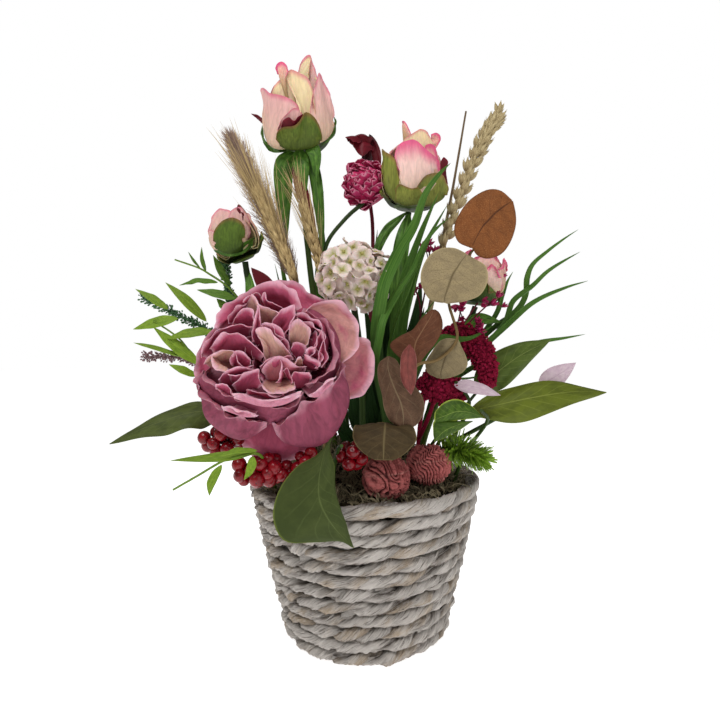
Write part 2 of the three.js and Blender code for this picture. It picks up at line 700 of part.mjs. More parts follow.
const eucalyptusBrownLow = () =>
  coin([v(29, -61.5, 167), v(34, -62, 178), v(41, -60, 190), v(44, -57, 198)], 25, v(-0.45, -1, 0.2));

const eucalyptusMauve = () =>
  coin([v(26, -63.5, 168), v(25.5, -73, 172), v(24.5, -76, 161), v(24, -74.5, 149)], 13, v(-0.6, -1, 0));

const eucalyptusDark = () =>
  fuse([
    coin([v(9, -56, 134), v(8, -65, 132), v(7, -70, 124), v(7, -71, 116)], 31, v(0, -0.7, 0.7), 0.1),
    stalk([v(9, -57, 134), v(7, -46, 131), v(5, -34, 110), v(5, -31, PICK_DEPTH)], 1.1, 1.1, 4, 1),
  ]);

// ---- Balls and berries ----

// A rough dried ball: its surface is wrinkled by a formula.
function driedBall(at, radius, seed) {
  const geometry = new THREE.SphereGeometry(1, 12, 8);
  const position = geometry.attributes.position;
  for (let i = 0; i < position.count; i++) {
    const p = v(position.getX(i), position.getY(i), position.getZ(i));
    const wrinkle = Math.sin(9 * p.x + seed) * Math.cos(8 * p.z - seed) + 0.6 * Math.sin(13 * p.y);
    const reach = radius * (1 + 0.045 * wrinkle) + grow;
    position.setXYZ(i, p.x * reach, p.z * reach * 0.9, p.y * reach * 0.93);
  }
  const index = geometry.index.array;
  for (let i = 0; i < index.length; i += 3) [index[i], index[i + 1]] = [index[i + 1], index[i]];
  return solidFrom(geometry.translate(at.x, at.y, at.z));
}

// A berry round the origin, with one of its corners on the Z axis.
function berryBall(radius) {
  const geometry = new THREE.IcosahedronGeometry(radius + grow, 0);
  return solidFrom(geometry.rotateX(Math.atan2(1, (1 + Math.sqrt(5)) / 2)));
}

// Clusters of round berries that spring from one forked stem.
function berries(clusters, path, seed) {
  const random = seeded(seed);
  const pieces = [stalk(path, 1.1, 1.1, 4, 1)];
  for (const { at, size, count, radius } of clusters) {
    pieces.push(ball(at, 1, size.clone().addScalar(-1.6), new THREE.OctahedronGeometry(1, 0)));
    pieces.push(stalk([at, path[0]], 1, 1, 4, 1));
    spread(count, 1, (out) => {
      const berry = at.clone().add(out.clone().multiply(size));
      pieces.push(place(berryBall(radius * (0.94 + 0.12 * random())), berry, out));
    });
  }
  return fuse(pieces);
}

const berriesLeft = () =>
  berries(
    [
      { at: v(-74, -56, 127), size: v(11, 7.5, 6.5), count: 6, radius: 4.2 },
      { at: v(-52, -66, 112), size: v(13.5, 7.5, 7), count: 8, radius: 4.4 },
    ],
    [v(-58, -50, 118), v(-46, -34, 112), v(-42, -30, PICK_DEPTH)],
    2,
  );

const berriesRight = () =>
  berries(
    [
      { at: v(-29, -66, 116), size: v(5, 4.5, 5.5), count: 3, radius: 3.8 },
      { at: v(-5, -56, 117), size: v(6, 6, 6.5), count: 4, radius: 4 },
    ],
    [v(-20, -52, 113), v(-25, -44, 104), v(-26, -38, PICK_DEPTH)],
    4,
  );

// ---- Leaves ----

const wideLeaf = { outline: "heart", rows: 6, columns: 4, thickness: 1 };

const leafFront = () =>
  fuse([
    leaf(
      [v(-9, -70, 126), v(-14, -81, 116), v(-20, -87, 102), v(-16, -84, 88), v(-6, -79, 76)],
      31, v(0.25, -1, 0.1), { ...wideLeaf, arch: 0.14 },
    ),
    stalk([v(-10, -72, 125), v(-12, -62, 122), v(-16, -48, 104), v(-16, -44, PICK_DEPTH)], 1.2, 1.2, 4, 1),
  ]);

const leafLeft = () =>
  fuse([
    leaf(
      [v(-74, -42, 140), v(-90, -48, 142), v(-110, -54, 137), v(-134, -58, 127)],
      17, v(0.1, -0.8, 0.6), { rows: 7, columns: 4, arch: 0.2 },
    ),
    stalk([v(-78, -43.5, 140.6), v(-66, -34, 134), v(-50, -20, 114), v(-44, -13, PICK_DEPTH)], 1.2, 1.2, 4, 1),
  ]);

const leafRightLarge = () =>
  fuse([
    leaf(
      [v(62, -40, 137), v(78, -45, 141), v(98, -48, 145), v(118, -47, 147), v(138, -44, 146)],
      21, v(0, -0.9, 0.5), { rows: 9, columns: 4, arch: 0.16, wave: 2.4, waves: 1.5, outline: "lance" },
    ),
    stalk([v(66, -41, 138), v(54, -30, 130), v(40, -14, 108), v(37, -8, PICK_DEPTH)], 1.4, 1.4, 4, 1),
  ]);

const leafRightSmall = () =>
  fuse([
    leaf([v(66, -58, 139), v(56, -63, 143), v(46, -65, 141), v(37, -64, 137)], 22, v(0, -0.75, 0.65), {
      ...wideLeaf, arch: 0.22,
    }),
    stalk([v(64, -59, 139.4), v(70, -48, 133), v(62, -24, 110), v(52, -14, PICK_DEPTH)], 1, 1, 4, 1),
  ]);

const leafRightUpper = () =>
  fuse([
    leaf([v(72, -14, 146), v(82, -17, 156), v(98, -20, 168), v(116, -22, 177)], 21, v(-0.2, -1, -0.1), {
      rows: 7, columns: 4, arch: 0.16,
    }),
    stalk([v(74, -14.5, 148), v(64, -8, 134), v(48, 2, 108), v(44, 5, PICK_DEPTH)], 1.3, 1.3, 4, 1),
  ]);

const palePetals = () =>
  fuse([
    leaf([v(53, -48, 154), v(62, -54, 154), v(72, -57, 151), v(82, -58, 148)], 11, v(0, -1, 0.4)),
    leaf([v(104, -34, 150), v(114, -36, 156), v(124, -38, 163)], 12, v(0, -1, 0.2), { rows: 4 }),
    stalk([v(107, -34.4, 151.8), v(90, -29, 137), v(54, -19, 115.5)], 0.9, 0.9, 4, 1),
    stalk([v(56, -51, 153.8), v(66, -40, 142), v(54, -18, 114), v(48, -12, PICK_DEPTH)], 0.9, 0.9, 4, 1),
  ]);

// A bunch of grass blades on one short stem, which rises just clear of the moss. Each blade starts
// at its own side of the stem.
const ROOT_TOP = 99;
function bunch(x, y, blades) {
  const pieces = blades.map(([width, ...points], k) => {
    const around = (2 * Math.PI * k) / blades.length;
    const start = v(x + 1.2 * Math.cos(around), y + 1.2 * Math.sin(around), ROOT_TOP - 3);
    const options = { outline: "grass", arch: 0.1, rows: 5 };
    return leaf([start, ...points.map((p) => v(...p))], width, TO_FRONT, options);
  });
  return fuse([stalk([v(x, y, ROOT_TOP), v(x, y, PICK_DEPTH)], 2.4, 2, 4), ...pieces]);
}

const GRASS = {
  grass_left: () => bunch(-20, 18, [
    [6, [-24, 17, 150], [-21, 12, 220], [-25, 14, 300]],
    [8, [-29, 20, 140], [-29, 22, 200], [-21, 18, 284]],
    [6, [-40, 20, 150], [-48, 24, 210], [-56, 30, 256]],
  ]),
  grass_middle: () => bunch(13, -22, [
    [9, [16, -28, 150], [18, -33, 182], [26, -34, 214], [45, -26, 293]],
    [8, [20, -20, 150], [24, -22, 200], [38, -24, 240], [51, -20, 268]],
    [8, [22, -15, 150], [30, -16, 200], [42, -16, 236], [57, -14, 262]],
  ]),
  grass_dark: () => bunch(16, 12, [
    [10, [18, 6, 140], [23, 3, 190], [30, 2, 236]],
    [12, [28, 9, 150], [38, 8, 190], [43, 9, 220]],
    [7, [14, 22, 150], [10, 28, 210], [16, 38, 262]],
  ]),
  grass_right: () => bunch(36, 22, [
    [6, [56, 4, 160], [84, -5, 186], [116, -8, 208], [140, -10, 222]],
    [6, [64, 14, 160], [96, 6, 190], [111, 5, 207], [113, 6, 224], [136, 8, 248], [146, 8, 256]],
    [5, [60, 24, 150], [98, 20, 206], [140, 16, 236]],
  ]),
  grass_back: () => bunch(-2, 38, [
    [8, [-6, 46, 150], [-18, 54, 210], [-34, 60, 258]],
    [8, [6, 52, 140], [16, 62, 190], [28, 72, 232]],
    [8, [-18, 52, 130], [-38, 62, 170], [-58, 72, 196]],
    [9, [16, 56, 120], [36, 68, 144], [60, 80, 150]],
  ]),
};

// A leafy stem: narrow leaves spring from it at the points given.
function leafyStem(path, radius, leaves) {
  return fuse([
    stalk(path, radius, 0.7, 4),
    ...leaves.map(([points, width]) => leaf(points, width, v(0.1, -1, 0.5), { rows: 5 })),
  ]);
}

const bambooHigh = () =>
  leafyStem(
    [v(-40, 10, PICK_DEPTH), v(-50, 2, 110), v(-78, -14, 160), v(-100, -22, 184), v(-122, -26, 198)],
    1.2,
    [
      [[v(-92, -19, 176), v(-102, -24, 192), v(-118, -26, 208)], 8],
      [[v(-80, -15, 163), v(-98, -22, 170), v(-122, -26, 170)], 9],
      [[v(-98, -21, 182), v(-108, -26, 172), v(-118, -30, 160)], 9],
      [[v(-106, -23, 187), v(-122, -28, 189), v(-138, -32, 184)], 9],
      [[v(-72, -12, 150), v(-92, -22, 150), v(-110, -28, 152)], 6],
      [[v(-112, -24, 191), v(-126, -24, 202), v(-140, -24, 206)], 7],
    ],
  );

const bambooLow = () =>
  leafyStem(
    [v(-50, -20, PICK_DEPTH), v(-58, -32, 101), v(-74, -62, 110), v(-82, -76, 110), v(-92, -88, 102)],
    1,
    [
      [[v(-78, -70, 111), v(-88, -80, 114), v(-100, -86, 116)], 5],
      [[v(-82, -76, 110), v(-82, -84, 104), v(-80, -88, 97)], 4.5],
      [[v(-76, -66, 110.5), v(-72, -78, 106), v(-66, -86, 101)], 4.5],
    ],
  );

const willowTwig = () =>
  leafyStem(
    [v(-44, 22, PICK_DEPTH), v(-50, 12, 120), v(-72, -4, 190), v(-90, -10, 214), v(-105, -14, 222), v(-118, -16, 231)],
    1,
    [
      [[v(-97, -12, 218), v(-100, -14, 228), v(-108, -16, 238)], 2.6],
      [[v(-92, -11, 216), v(-94, -14, 228), v(-96, -16, 240)], 3],
      [[v(-86, -9, 208), v(-98, -14, 210), v(-114, -16, 208)], 4.6],
      [[v(-76, -6, 196), v(-84, -10, 206), v(-90, -14, 232)], 5],
      [[v(-74, -5, 192), v(-88, -10, 198), v(-100, -14, 204)], 6],
    ],
  );

// A heather spray: buds crowd round the outer part of a fine stem.
const heather = (spike, rows) =>
  scaly(spike, { rows, sides: 4, radius: taper(1.6, 1.2), spin: 30, steps: [[3, 2.4, 0]] });

const heatherGreen = () =>
  fuse([
    heather([v(-84, 9, 176), v(-98, 4, 190), v(-114, 0, 199), v(-138, -2, 212)], 7),
    heather([v(-78, 6, 196), v(-83, 3, 212), v(-86, 1, 228), v(-88, 0, 242)], 6),
    stalk([v(-86, 8, 178), v(-64, 17, 146), v(-46, 26, 112), v(-42, 25, PICK_DEPTH)], 1.1, 1.2, 4, 1),
    stalk([v(-78.3, 6, 198), v(-72, 10, 172), v(-63, 17, 145)], 0.9, 1, 4, 1),
  ]);
const heatherBrown = () =>
  fuse([
    heather([v(-84, 8, 154), v(-98, 2, 166), v(-116, -2, 173), v(-136, -4, 174)], 7),
    stalk([v(-86, 7.5, 156), v(-56, 26, 118), v(-36, 32, 108), v(-34, 32, PICK_DEPTH)], 1, 1, 4, 1),
  ]);

// A velvety drooping head: a thick rope of tiny knobs by a formula.
function amaranth(path, radius, tip, rows) {
  const curve = new THREE.CatmullRomCurve3(path);
  const frames = curve.computeFrenetFrames(rows, false);
  const sides = 8;
  const points = [];
  const faces = [];
  for (let i = 0; i <= rows; i++) {
    const s = i / rows;
    const swell = radius * Math.sqrt(Math.max(0.02, 1 - (2 * s - 1) ** 4)) + (tip - radius) * s * 0.5;
    for (let k = 0; k < sides; k++) {
      const angle = (2 * Math.PI * k) / sides;
      const knob = (i + k) % 2 ? 1.1 : 0.9;
      const reach = swell * knob + grow;
      const out = frames.normals[i].clone().multiplyScalar(Math.cos(angle) * reach);
      points.push(out.addScaledVector(frames.binormals[i], Math.sin(angle) * reach).add(curve.getPointAt(s)));
    }
  }
  for (let i = 0; i < rows; i++) {
    for (let k = 0; k < sides; k++) {
      const [a, b] = [i * sides + k, i * sides + ((k + 1) % sides)];
      faces.push(a, b, b + sides, a, b + sides, a + sides);
    }
  }
  const last = rows * sides;
  for (let k = 1; k < sides - 1; k++) faces.push(0, k + 1, k, last, last + k, last + k + 1);
  return solidFrom(geometryFrom(points, faces));
}

const amaranthHeads = () =>
  fuse([
    amaranth([v(48, -14, 188), v(60, -18, 190), v(72, -22, 182), v(80, -25, 168), v(83, -27, 152)], 7.5, 6, 9),
    amaranth([v(36, -40, 158), v(42, -42, 153), v(51, -39, 149), v(58, -33, 146)], 8.6, 6.4, 7),
    stalk([v(52, -14, 188), v(44, -12, 160), v(36, -12, 120), v(34, -12, PICK_DEPTH)], 1.4, 1.4, 4, 1),
    stalk([v(44, -40, 152), v(41, -26, 134), v(36, -12, 118)], 1.4, 1.4, 4, 1),
  ]);

// A fine branching spray with buds at each tip.
function waxflower() {
  const root = [v(40, -6, 196), v(36, -4, 150), v(32, -2, 112), v(31, -2, PICK_DEPTH)];
  const fork = v(60, -2, 178);
  const pieces = [stalk(root, 0.9, 1.1, 4, 1), stalk([fork, v(48, -2, 160), v(35.5, -3.6, 146)], 0.9, 1, 4, 1)];
  const tips = [
    [v(45, -5, 240), root[0]], [v(36, -8, 222), root[0]], [v(53, -6, 230), root[0]],
    [v(86, -20, 210), fork], [v(74, -21, 206), fork], [v(92, -10, 192), fork],
  ];
  for (const [tip, from] of tips) {
    pieces.push(stalk([from, tip], 0.7, 0.6, 3, 1));
    const along = tip.clone().sub(from).normalize();
    const spike = [tip.clone().addScaledVector(along, -5), tip, tip.clone().addScaledVector(along, 5)];
    const steps = [[3.6, 4.4, 0]];
    pieces.push(scaly(spike, { rows: 2, sides: 3, radius: taper(1.8, 1.4), spin: 60, steps }));
  }
  return fuse(pieces);
}

// A tuft of soft needles that stand out of a short stem on all sides.
const needleTuft = () =>
  fuse([
    scaly([v(54, -26, 101), v(61, -35, 109), v(69, -43, 114)], {
      rows: 8, sides: 6, radius: taper(2.8, 1.6), spin: 27, shrink: 0.1,
      steps: [[9.5, 8, 0]],
    }),
    stalk([v(55, -27.4, 102.6), v(47, -20, 97), v(45, -18, PICK_DEPTH)], 1.6, 1.6, 4, 1),
  ]);

// ---- The arrangement, in the order in which pieces keep their shape ----
// An earlier piece is whole. A later one has a little room cut into it where the two touch.

const COLOURS = {
  rope: ["#a89c92", 0.9], liner: ["#d9dbd6", 0.4], foam: ["#4d6b44", 0.95], moss: ["#4a3f2c", 1],
  pink: ["#c2607f", 0.7], blush: ["#e3b3a8", 0.7], sepal: ["#4a6b26", 0.7], stem: ["#4f7330", 0.6],
  crimson: ["#a3174d", 0.7], burgundy: ["#5a0c22", 0.6], cream: ["#e6d8cd", 0.8],
  straw: ["#b89a66", 0.9], dun: ["#a08a78", 1], brown: ["#8a4c2d", 0.85], olive: ["#8d8257", 0.85],
  mauve: ["#8d4a4a", 0.85], darkOlive: ["#52461f", 0.85], husk: ["#94404a", 0.95],
  berry: ["#8c0a1c", 0.25], leaf: ["#41622a", 0.55], darkLeaf: ["#3a4a28", 0.6], oliveLeaf: ["#6b7427", 0.55],
  grass: ["#3d7a24", 0.6], deepGrass: ["#1f4a24", 0.6], bamboo: ["#6f9a2a", 0.5],
  heather: ["#37613c", 0.8], heatherPink: ["#5d4a47", 0.8], pale: ["#d9c3cc", 0.6],
  wine: ["#6b0a20", 0.95], wax: ["#8f1a3e", 0.6], needle: ["#5c9a22", 0.6],
};

const FIRM = [
  ["peony_stem", "stem", peonyStem],
  ...Object.keys(BUDS).map((name) => [`${name}_stem`, "sepal", () => budStem(name, ...BUD_STEMS[name]())]),
  ["pompon_stem", "stem", pomponStem],
  ["snowball_stem", "stem", snowballStem],
  ["wheat", "straw", wheatEar],
  ["barley", "straw", barleyEars],
  ["foxtail", "dun", foxtail],
  ["calla", "burgundy", burgundyCalla],
  ["eucalyptus_olive", "olive", eucalyptusOlive],
  ["eucalyptus_dark", "darkOlive", eucalyptusDark],
  ["eucalyptus_brown_high", "brown", eucalyptusBrownHigh],
  ["eucalyptus_brown_low", "brown", eucalyptusBrownLow],
  ["eucalyptus_mauve", "mauve", eucalyptusMauve],
  ["burgundy_leaf", "burgundy", burgundyLeaf],
];
const SOFT = [
  ["peony_petals", "pink", peonyPetals],
  ...Object.keys(BUDS).map((name) => [`${name}_petals`, "blush", () => budPetals(name)]),
  ["pompon_petals", "crimson", pomponPetals],
  ["snowball_florets", "cream", snowballFlorets],
  ["dried_ball_front", "husk", () => driedBall(v(13, -49, 103), 13, 1)],
  ["dried_ball_back", "husk", () => driedBall(v(38, -37, 107), 12.6, 2)],
  ["leaf_front", "leaf", leafFront],
  ["leaf_left", "darkLeaf", leafLeft],
  ["leaf_right_large", "oliveLeaf", leafRightLarge],
  ["leaf_right_small", "leaf", leafRightSmall],
  ["leaf_right_upper", "oliveLeaf", leafRightUpper],
  ["pale_petals", "pale", palePetals],
  ["amaranth", "wine", amaranthHeads],
  ["berries_left", "berry", berriesLeft],
  ["berries_right", "berry", berriesRight],
  ["bamboo_high", "bamboo", bambooHigh],
  ["bamboo_low", "bamboo", bambooLow],
  ["willow_twig", "stem", willowTwig],
  ["heather_green", "heather", heatherGreen],
  ["heather_brown", "heatherPink", heatherBrown],
  ["waxflower", "wax", waxflower],
  ["needle_tuft", "needle", needleTuft],
  ["grass_left", "grass", GRASS.grass_left],
  ["grass_middle", "grass", GRASS.grass_middle],
  ["grass_dark", "deepGrass", GRASS.grass_dark],
  ["grass_right", "grass", GRASS.grass_right],
  ["grass_back", "grass", GRASS.grass_back],
];
const HOLDER = [
  ["basket", "rope", ropeBasket],
  ["liner", "liner", filmLiner],
  ["foam", "foam", foamBlock],
  ["moss", "moss", mossMat],
];

function overlap(a, b) {
  const [p, q] = [a.boundingBox(), b.boundingBox()];
  return [0, 1, 2].every((i) => p.min[i] < q.max[i] && q.min[i] < p.max[i]);
}

function arrange() {
  const arrangement = new THREE.Group();
  arrangement.name = "flower_basket";
  const done = [];
  for (const [name, colour, make] of [...FIRM, ...SOFT, ...HOLDER]) {
    let solid = make();
    for (const earlier of done) {
      if (!overlap(solid, earlier.grown)) continue;
      if (solid.intersect(earlier.grown).isEmpty()) continue;
      solid = fuse([solid.subtract(earlier.grown)]);
    }
    solid = solid.simplify(SIMPLER);
    grow = GAP;
    const grown = HOLDER.some((row) => row[0] === name) ? solid : make();
    grow = 0;
    done.push({ name, grown });
    arrangement.add(meshFrom(name, colour, solid));
  }
  return arrangement;
}

function meshFrom(name, colour, solid) {
  const { vertProperties, triVerts } = solid.getMesh();
  const geometry = new THREE.BufferGeometry();
  geometry.setAttribute("position", new THREE.BufferAttribute(vertProperties, 3));
  geometry.setIndex(new THREE.BufferAttribute(triVerts, 1));
  geometry.computeVertexNormals();
  const [color, roughness] = COLOURS[colour];
  const mesh = new THREE.Mesh(geometry, new THREE.MeshStandardMaterial({ color, roughness, metalness: 0 }));
  mesh.name = name;
  return mesh;
}

const flowerBasket = arrange();
export default flowerBasket;
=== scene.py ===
import math

import bpy
import numpy as np
from mathutils import Matrix, Vector


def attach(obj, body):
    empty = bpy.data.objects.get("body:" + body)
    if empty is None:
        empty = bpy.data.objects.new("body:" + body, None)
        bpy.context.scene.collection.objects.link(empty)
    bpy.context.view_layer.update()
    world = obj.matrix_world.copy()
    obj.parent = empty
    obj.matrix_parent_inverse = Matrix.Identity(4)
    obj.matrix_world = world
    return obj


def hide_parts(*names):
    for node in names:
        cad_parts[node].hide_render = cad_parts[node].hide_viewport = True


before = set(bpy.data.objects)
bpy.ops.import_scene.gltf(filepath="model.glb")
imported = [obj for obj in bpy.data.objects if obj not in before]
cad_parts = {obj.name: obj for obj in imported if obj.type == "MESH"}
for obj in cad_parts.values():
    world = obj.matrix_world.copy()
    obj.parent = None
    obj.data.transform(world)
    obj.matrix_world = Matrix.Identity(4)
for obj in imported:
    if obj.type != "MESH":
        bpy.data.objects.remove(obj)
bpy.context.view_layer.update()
mm = 0.001
front = (0, -1, 0)


# Curves and noise

def unit(a):
    return a / np.maximum(np.linalg.norm(a, axis=-1, keepdims=True), 1e-9)


def threes(numbers):
    # Points from a plain list of numbers, three to a point, as every path and edge below is written
    return np.asarray(numbers, float).reshape(-1, 3)


def splineAt(points, shares):
    # A smooth curve through points, at shares of its length from 0 to 1
    p = np.asarray(points, float)
    p = p.reshape(-1, 3) if p.ndim == 1 else p
    p = np.concatenate([[2 * p[0] - p[1]], p, [2 * p[-1] - p[-2]]])
    spans = len(p) - 3
    place = np.clip(np.asarray(shares, float), 0, 1) * spans
    i = np.minimum(place.astype(int), spans - 1)
    w = (place - i).reshape(-1, *[1] * (p.ndim - 1))
    a, b, c, d = (p[i + k] for k in range(4))
    gaps = (y - x for x, y in ((a, b), (b, c), (c, d)))
    g0, g1, g2 = (np.sqrt(np.linalg.norm(gap, axis=-1, keepdims=True)) for gap in gaps)
    start = ((b - a) / g0 - (c - a) / (g0 + g1) + (c - b) / g1) * g1
    end = ((c - b) / g1 - (d - b) / (g1 + g2) + (d - c) / g2) * g1
    return b + start * w + (3 * (c - b) - 2 * start - end) * w**2 + (2 * (b - c) + start + end) * w**3


def tangentAt(points, shares, step=0.004):
    s = np.asarray(shares, float)
    before, after = np.maximum(s - step, 0), np.minimum(s + step, 1)
    return unit(splineAt(points, after) - splineAt(points, before))


def waves(seed, count=6, low=1.0, high=5.0):
    # A smooth random function of one or two numbers, about -1 to 1, from a sum of sines
    random = np.random.default_rng(seed)
    rate = random.uniform(low, high, (count, 2)) * random.choice([-1, 1], (count, 2))
    phase = random.uniform(0, 2 * math.pi, count)
    size = 1 / np.sqrt(np.abs(rate[:, 0]))
    size /= np.sqrt((size**2).sum())

    def at(x, y=0.0):
        total = 0
        for (a, b), p, k in zip(rate, phase, size):
            total = total + k * np.sin(a * x + b * y + p)
        return total
    return at


def smooth(low, high, x):
    # From 0 to 1 as x goes from low to high, easing at both ends
    t = np.clip((x - low) / (high - low), 0, 1)
    return t * t * (3 - 2 * t)


# Mesh builder

def gridUv(rows, columns):
    return np.meshgrid(np.linspace(0, 1, columns), np.linspace(0, 1, rows))


def placed(points, matrix):
    m = np.array(matrix)
    return points @ m[:3, :3].T + m[:3, 3]


class Shape:
    # Gathers sheets, tubes, hairs and copies. tone is a random number of each leaf, berry or strand,
    # and depth says how deep inside the bloom or rope a point lies, where the finishes paint darker colour,
    # partly as painted shade. A corner of -1 makes a triangle.
    def __init__(self):
        self.points, self.depths, self.faces, self.uvs, self.tones = [], [], [], [], []
        self.count = 0

    def add(self, points, faces, uvs, tone=0.5, depth=0.0):
        self.points.append(np.asarray(points, float).reshape(-1, 3))
        n = len(self.points[-1])
        self.depths.append(np.broadcast_to(np.asarray(depth, float).ravel(), n).copy())
        faces = np.asarray(faces)
        self.faces.append(np.where(faces >= 0, faces + self.count, -1))
        self.uvs.append(uvs)
        self.tones.append(np.broadcast_to(tone, len(faces)).astype(float))
        self.count += n

    def grid(self, points, tone=0.5, depth=0.0, closed=False, turned=False):
        # A grid of points, (rows, columns, 3). With closed, the last column joins the first.
        rows, columns = points.shape[:2]
        ids = np.arange(rows * columns).reshape(rows, columns)
        if closed:
            ids = np.hstack([ids, ids[:, :1]])
        uv = np.stack(gridUv(*ids.shape), -1)
        order = ((0, 0), (1, 0), (1, 1), (0, 1))
        if turned:
            order = order[::-1]

        def cut(a, i, j):
            return a[i:a.shape[0] - 1 + i, j:a.shape[1] - 1 + j]
        faces = np.stack([cut(ids, i, j).ravel() for i, j in order], -1)
        uvs = np.stack([cut(uv, i, j).reshape(-1, 2) for i, j in order], 1)
        self.add(points, faces, uvs, tone, depth)

    def sheet(self, middle, thickness=0.6, tone=0.5, depth=0.0):
        # A thin closed body round a grid of points: two faces and a narrow rim
        rows, columns = middle.shape[:2]
        across, along = np.gradient(middle, axis=1), np.gradient(middle, axis=0)
        normal = unit(np.cross(along, across))
        normal[0], normal[-1] = normal[1], normal[-2]
        normal[:, 0], normal[:, -1] = normal[:, 1], normal[:, -2]
        u, v = gridUv(rows, columns)
        edge = np.minimum(np.minimum(u, 1 - u) * 8, (1 - v) * 8)
        rimShare = 0.45  # the rim is thinner than the middle
        half = thickness / 2 * (rimShare + (1 - rimShare) * np.clip(edge, 0, 1))[..., None]
        uv = np.stack([u, v], -1).reshape(-1, 2)
        ids = np.arange(rows * columns).reshape(rows, columns)
        quads = np.stack([ids[:-1, :-1], ids[1:, :-1], ids[1:, 1:], ids[:-1, 1:]], -1).reshape(-1, 4)
        ring = np.concatenate([ids[:-1, 0], ids[-1, :-1], ids[:0:-1, -1], ids[0, :0:-1]])
        after = np.roll(ring, -1)
        size = rows * columns
        rim = np.stack([after, ring, ring + size, after + size], -1)
        faces = np.concatenate([quads, quads[:, ::-1] + size, rim])
        points = np.concatenate([threes(middle + normal * half), threes(middle - normal * half)])
        deep = np.broadcast_to(depth, (rows, columns)).ravel()
        self.add(points, faces, np.concatenate([uv, uv])[faces], tone, np.tile(deep, 2))

    def body(self, points, tone=0.5, depth=0.0):
        # A closed body from rings of points, capped at both ends
        self.grid(points, tone, depth, closed=True, turned=True)
        self.cap(points[0], tone, False)
        self.cap(points[-1], tone, True)

    def tube(self, path, radii, sides=8, tone=0.5, ridge=0.0):
        # A round stem through the points of path, with radii spread along it
        path = threes(path)
        s = np.linspace(0, 1, 8 * (len(path) - 1) + 1)
        middle, along = splineAt(path, s), tangentAt(path, s)
        size = np.interp(s, np.linspace(0, 1, len(radii)), radii)
        across = np.zeros_like(along)
        last = np.array([0, 0, 1.0]) if abs(along[0, 2]) < 0.9 else np.array([1.0, 0, 0])
        for i, t in enumerate(along):
            last = last - t * last.dot(t)
            across[i] = last = last / np.linalg.norm(last)
        other = np.cross(along, across)
        angle = np.linspace(0, 2 * math.pi, sides, endpoint=False)
        reach = size[:, None] * (1 + ridge * waves(1, 6, 3, 9)(angle * 2, s[:, None] * 30))
        ring = np.cos(angle)[:, None] * across[:, None] + np.sin(angle)[:, None] * other[:, None]
        self.body(middle[:, None] + reach[..., None] * ring, tone)

    def cap(self, ring, tone, turned):
        n = len(ring)
        middle = ring.mean(0, keepdims=True)
        faces = np.array([[k, (k + 1) % n, n, -1] for k in range(n)])
        if not turned:
            faces = faces[:, [1, 0, 2, 3]]
        self.add(np.vstack([ring, middle]), faces, np.full((n, 4, 2), 0.5), tone)

    def hairs(self, paths, radius, tones=0.5, blunt=0.15):
        # Many fine tapering strands at once: paths is (strands, points, 3)
        strands, count = paths.shape[:2]
        sides = 3
        along = unit(np.gradient(paths, axis=1))
        whole = unit(paths[:, -1] - paths[:, 0])
        aside = np.where(np.abs(whole[:, 2:]) < 0.9, [[0, 0, 1.0]], [[1.0, 0, 0]])
        across = unit(np.cross(along, aside[:, None]))
        other = np.cross(along, across)
        angle = np.arange(sides) * 2 * math.pi / sides
        taper = np.sqrt(np.clip(1 - np.linspace(0, 1, count) ** 3, blunt**2, 1))
        reach = (np.broadcast_to(radius, strands)[:, None] * taper)[:, :, None, None]
        ring = np.cos(angle)[:, None] * across[:, :, None] + np.sin(angle)[:, None] * other[:, :, None]
        points = paths[:, :, None] + reach * ring
        ids = np.arange(strands * count * sides).reshape(strands, count, sides)
        after = np.roll(ids, -1, axis=2)
        faces = np.stack([ids[:, :-1], after[:, :-1], after[:, 1:], ids[:, 1:]], -1).reshape(-1, 4)
        v = np.linspace(0, 1, count)
        turn, place = np.broadcast_arrays(np.arange(sides) / sides + 0 * ids, v[:, None])
        uv = np.stack([turn, place], -1).reshape(-1, 2)[faces]
        tone = np.repeat(np.broadcast_to(tones, strands), (count - 1) * sides)
        self.add(points, faces, uv, tone)
        fill = np.full((strands, 4 - sides), -1)
        ends = np.concatenate([np.hstack([ids[:, 0, ::-1], fill]), np.hstack([ids[:, -1], fill])])
        self.faces.append(np.where(ends >= 0, ends + self.count - points.size // 3, -1))
        self.uvs.append(np.full((2 * strands, 4, 2), 0.5))
        self.tones.append(np.tile(np.broadcast_to(tones, strands), 2).astype(float))

    def copies(self, template, frames, places, tones=0.5):
        # The template at each place, with its axes turned and scaled by each 3 x 3 matrix
        places = np.asarray(places, float)
        base, depth = np.concatenate(template.points), np.concatenate(template.depths)
        faces, uv = np.concatenate(template.faces), np.concatenate(template.uvs)
        n = len(places)
        moved = np.einsum("nj,hij->hni", base, np.broadcast_to(frames, (n, 3, 3))) + places[:, None]
        step = (np.arange(n) * len(base))[:, None, None]
        every = np.where(faces[None] >= 0, faces[None] + step, -1).reshape(-1, 4)
        tone = np.repeat(np.broadcast_to(tones, n), len(faces))
        self.add(moved, every, np.tile(uv, (n, 1, 1)), tone, np.tile(depth, n))

    def move(self, matrix):
        self.points = [placed(p, matrix) for p in self.points]

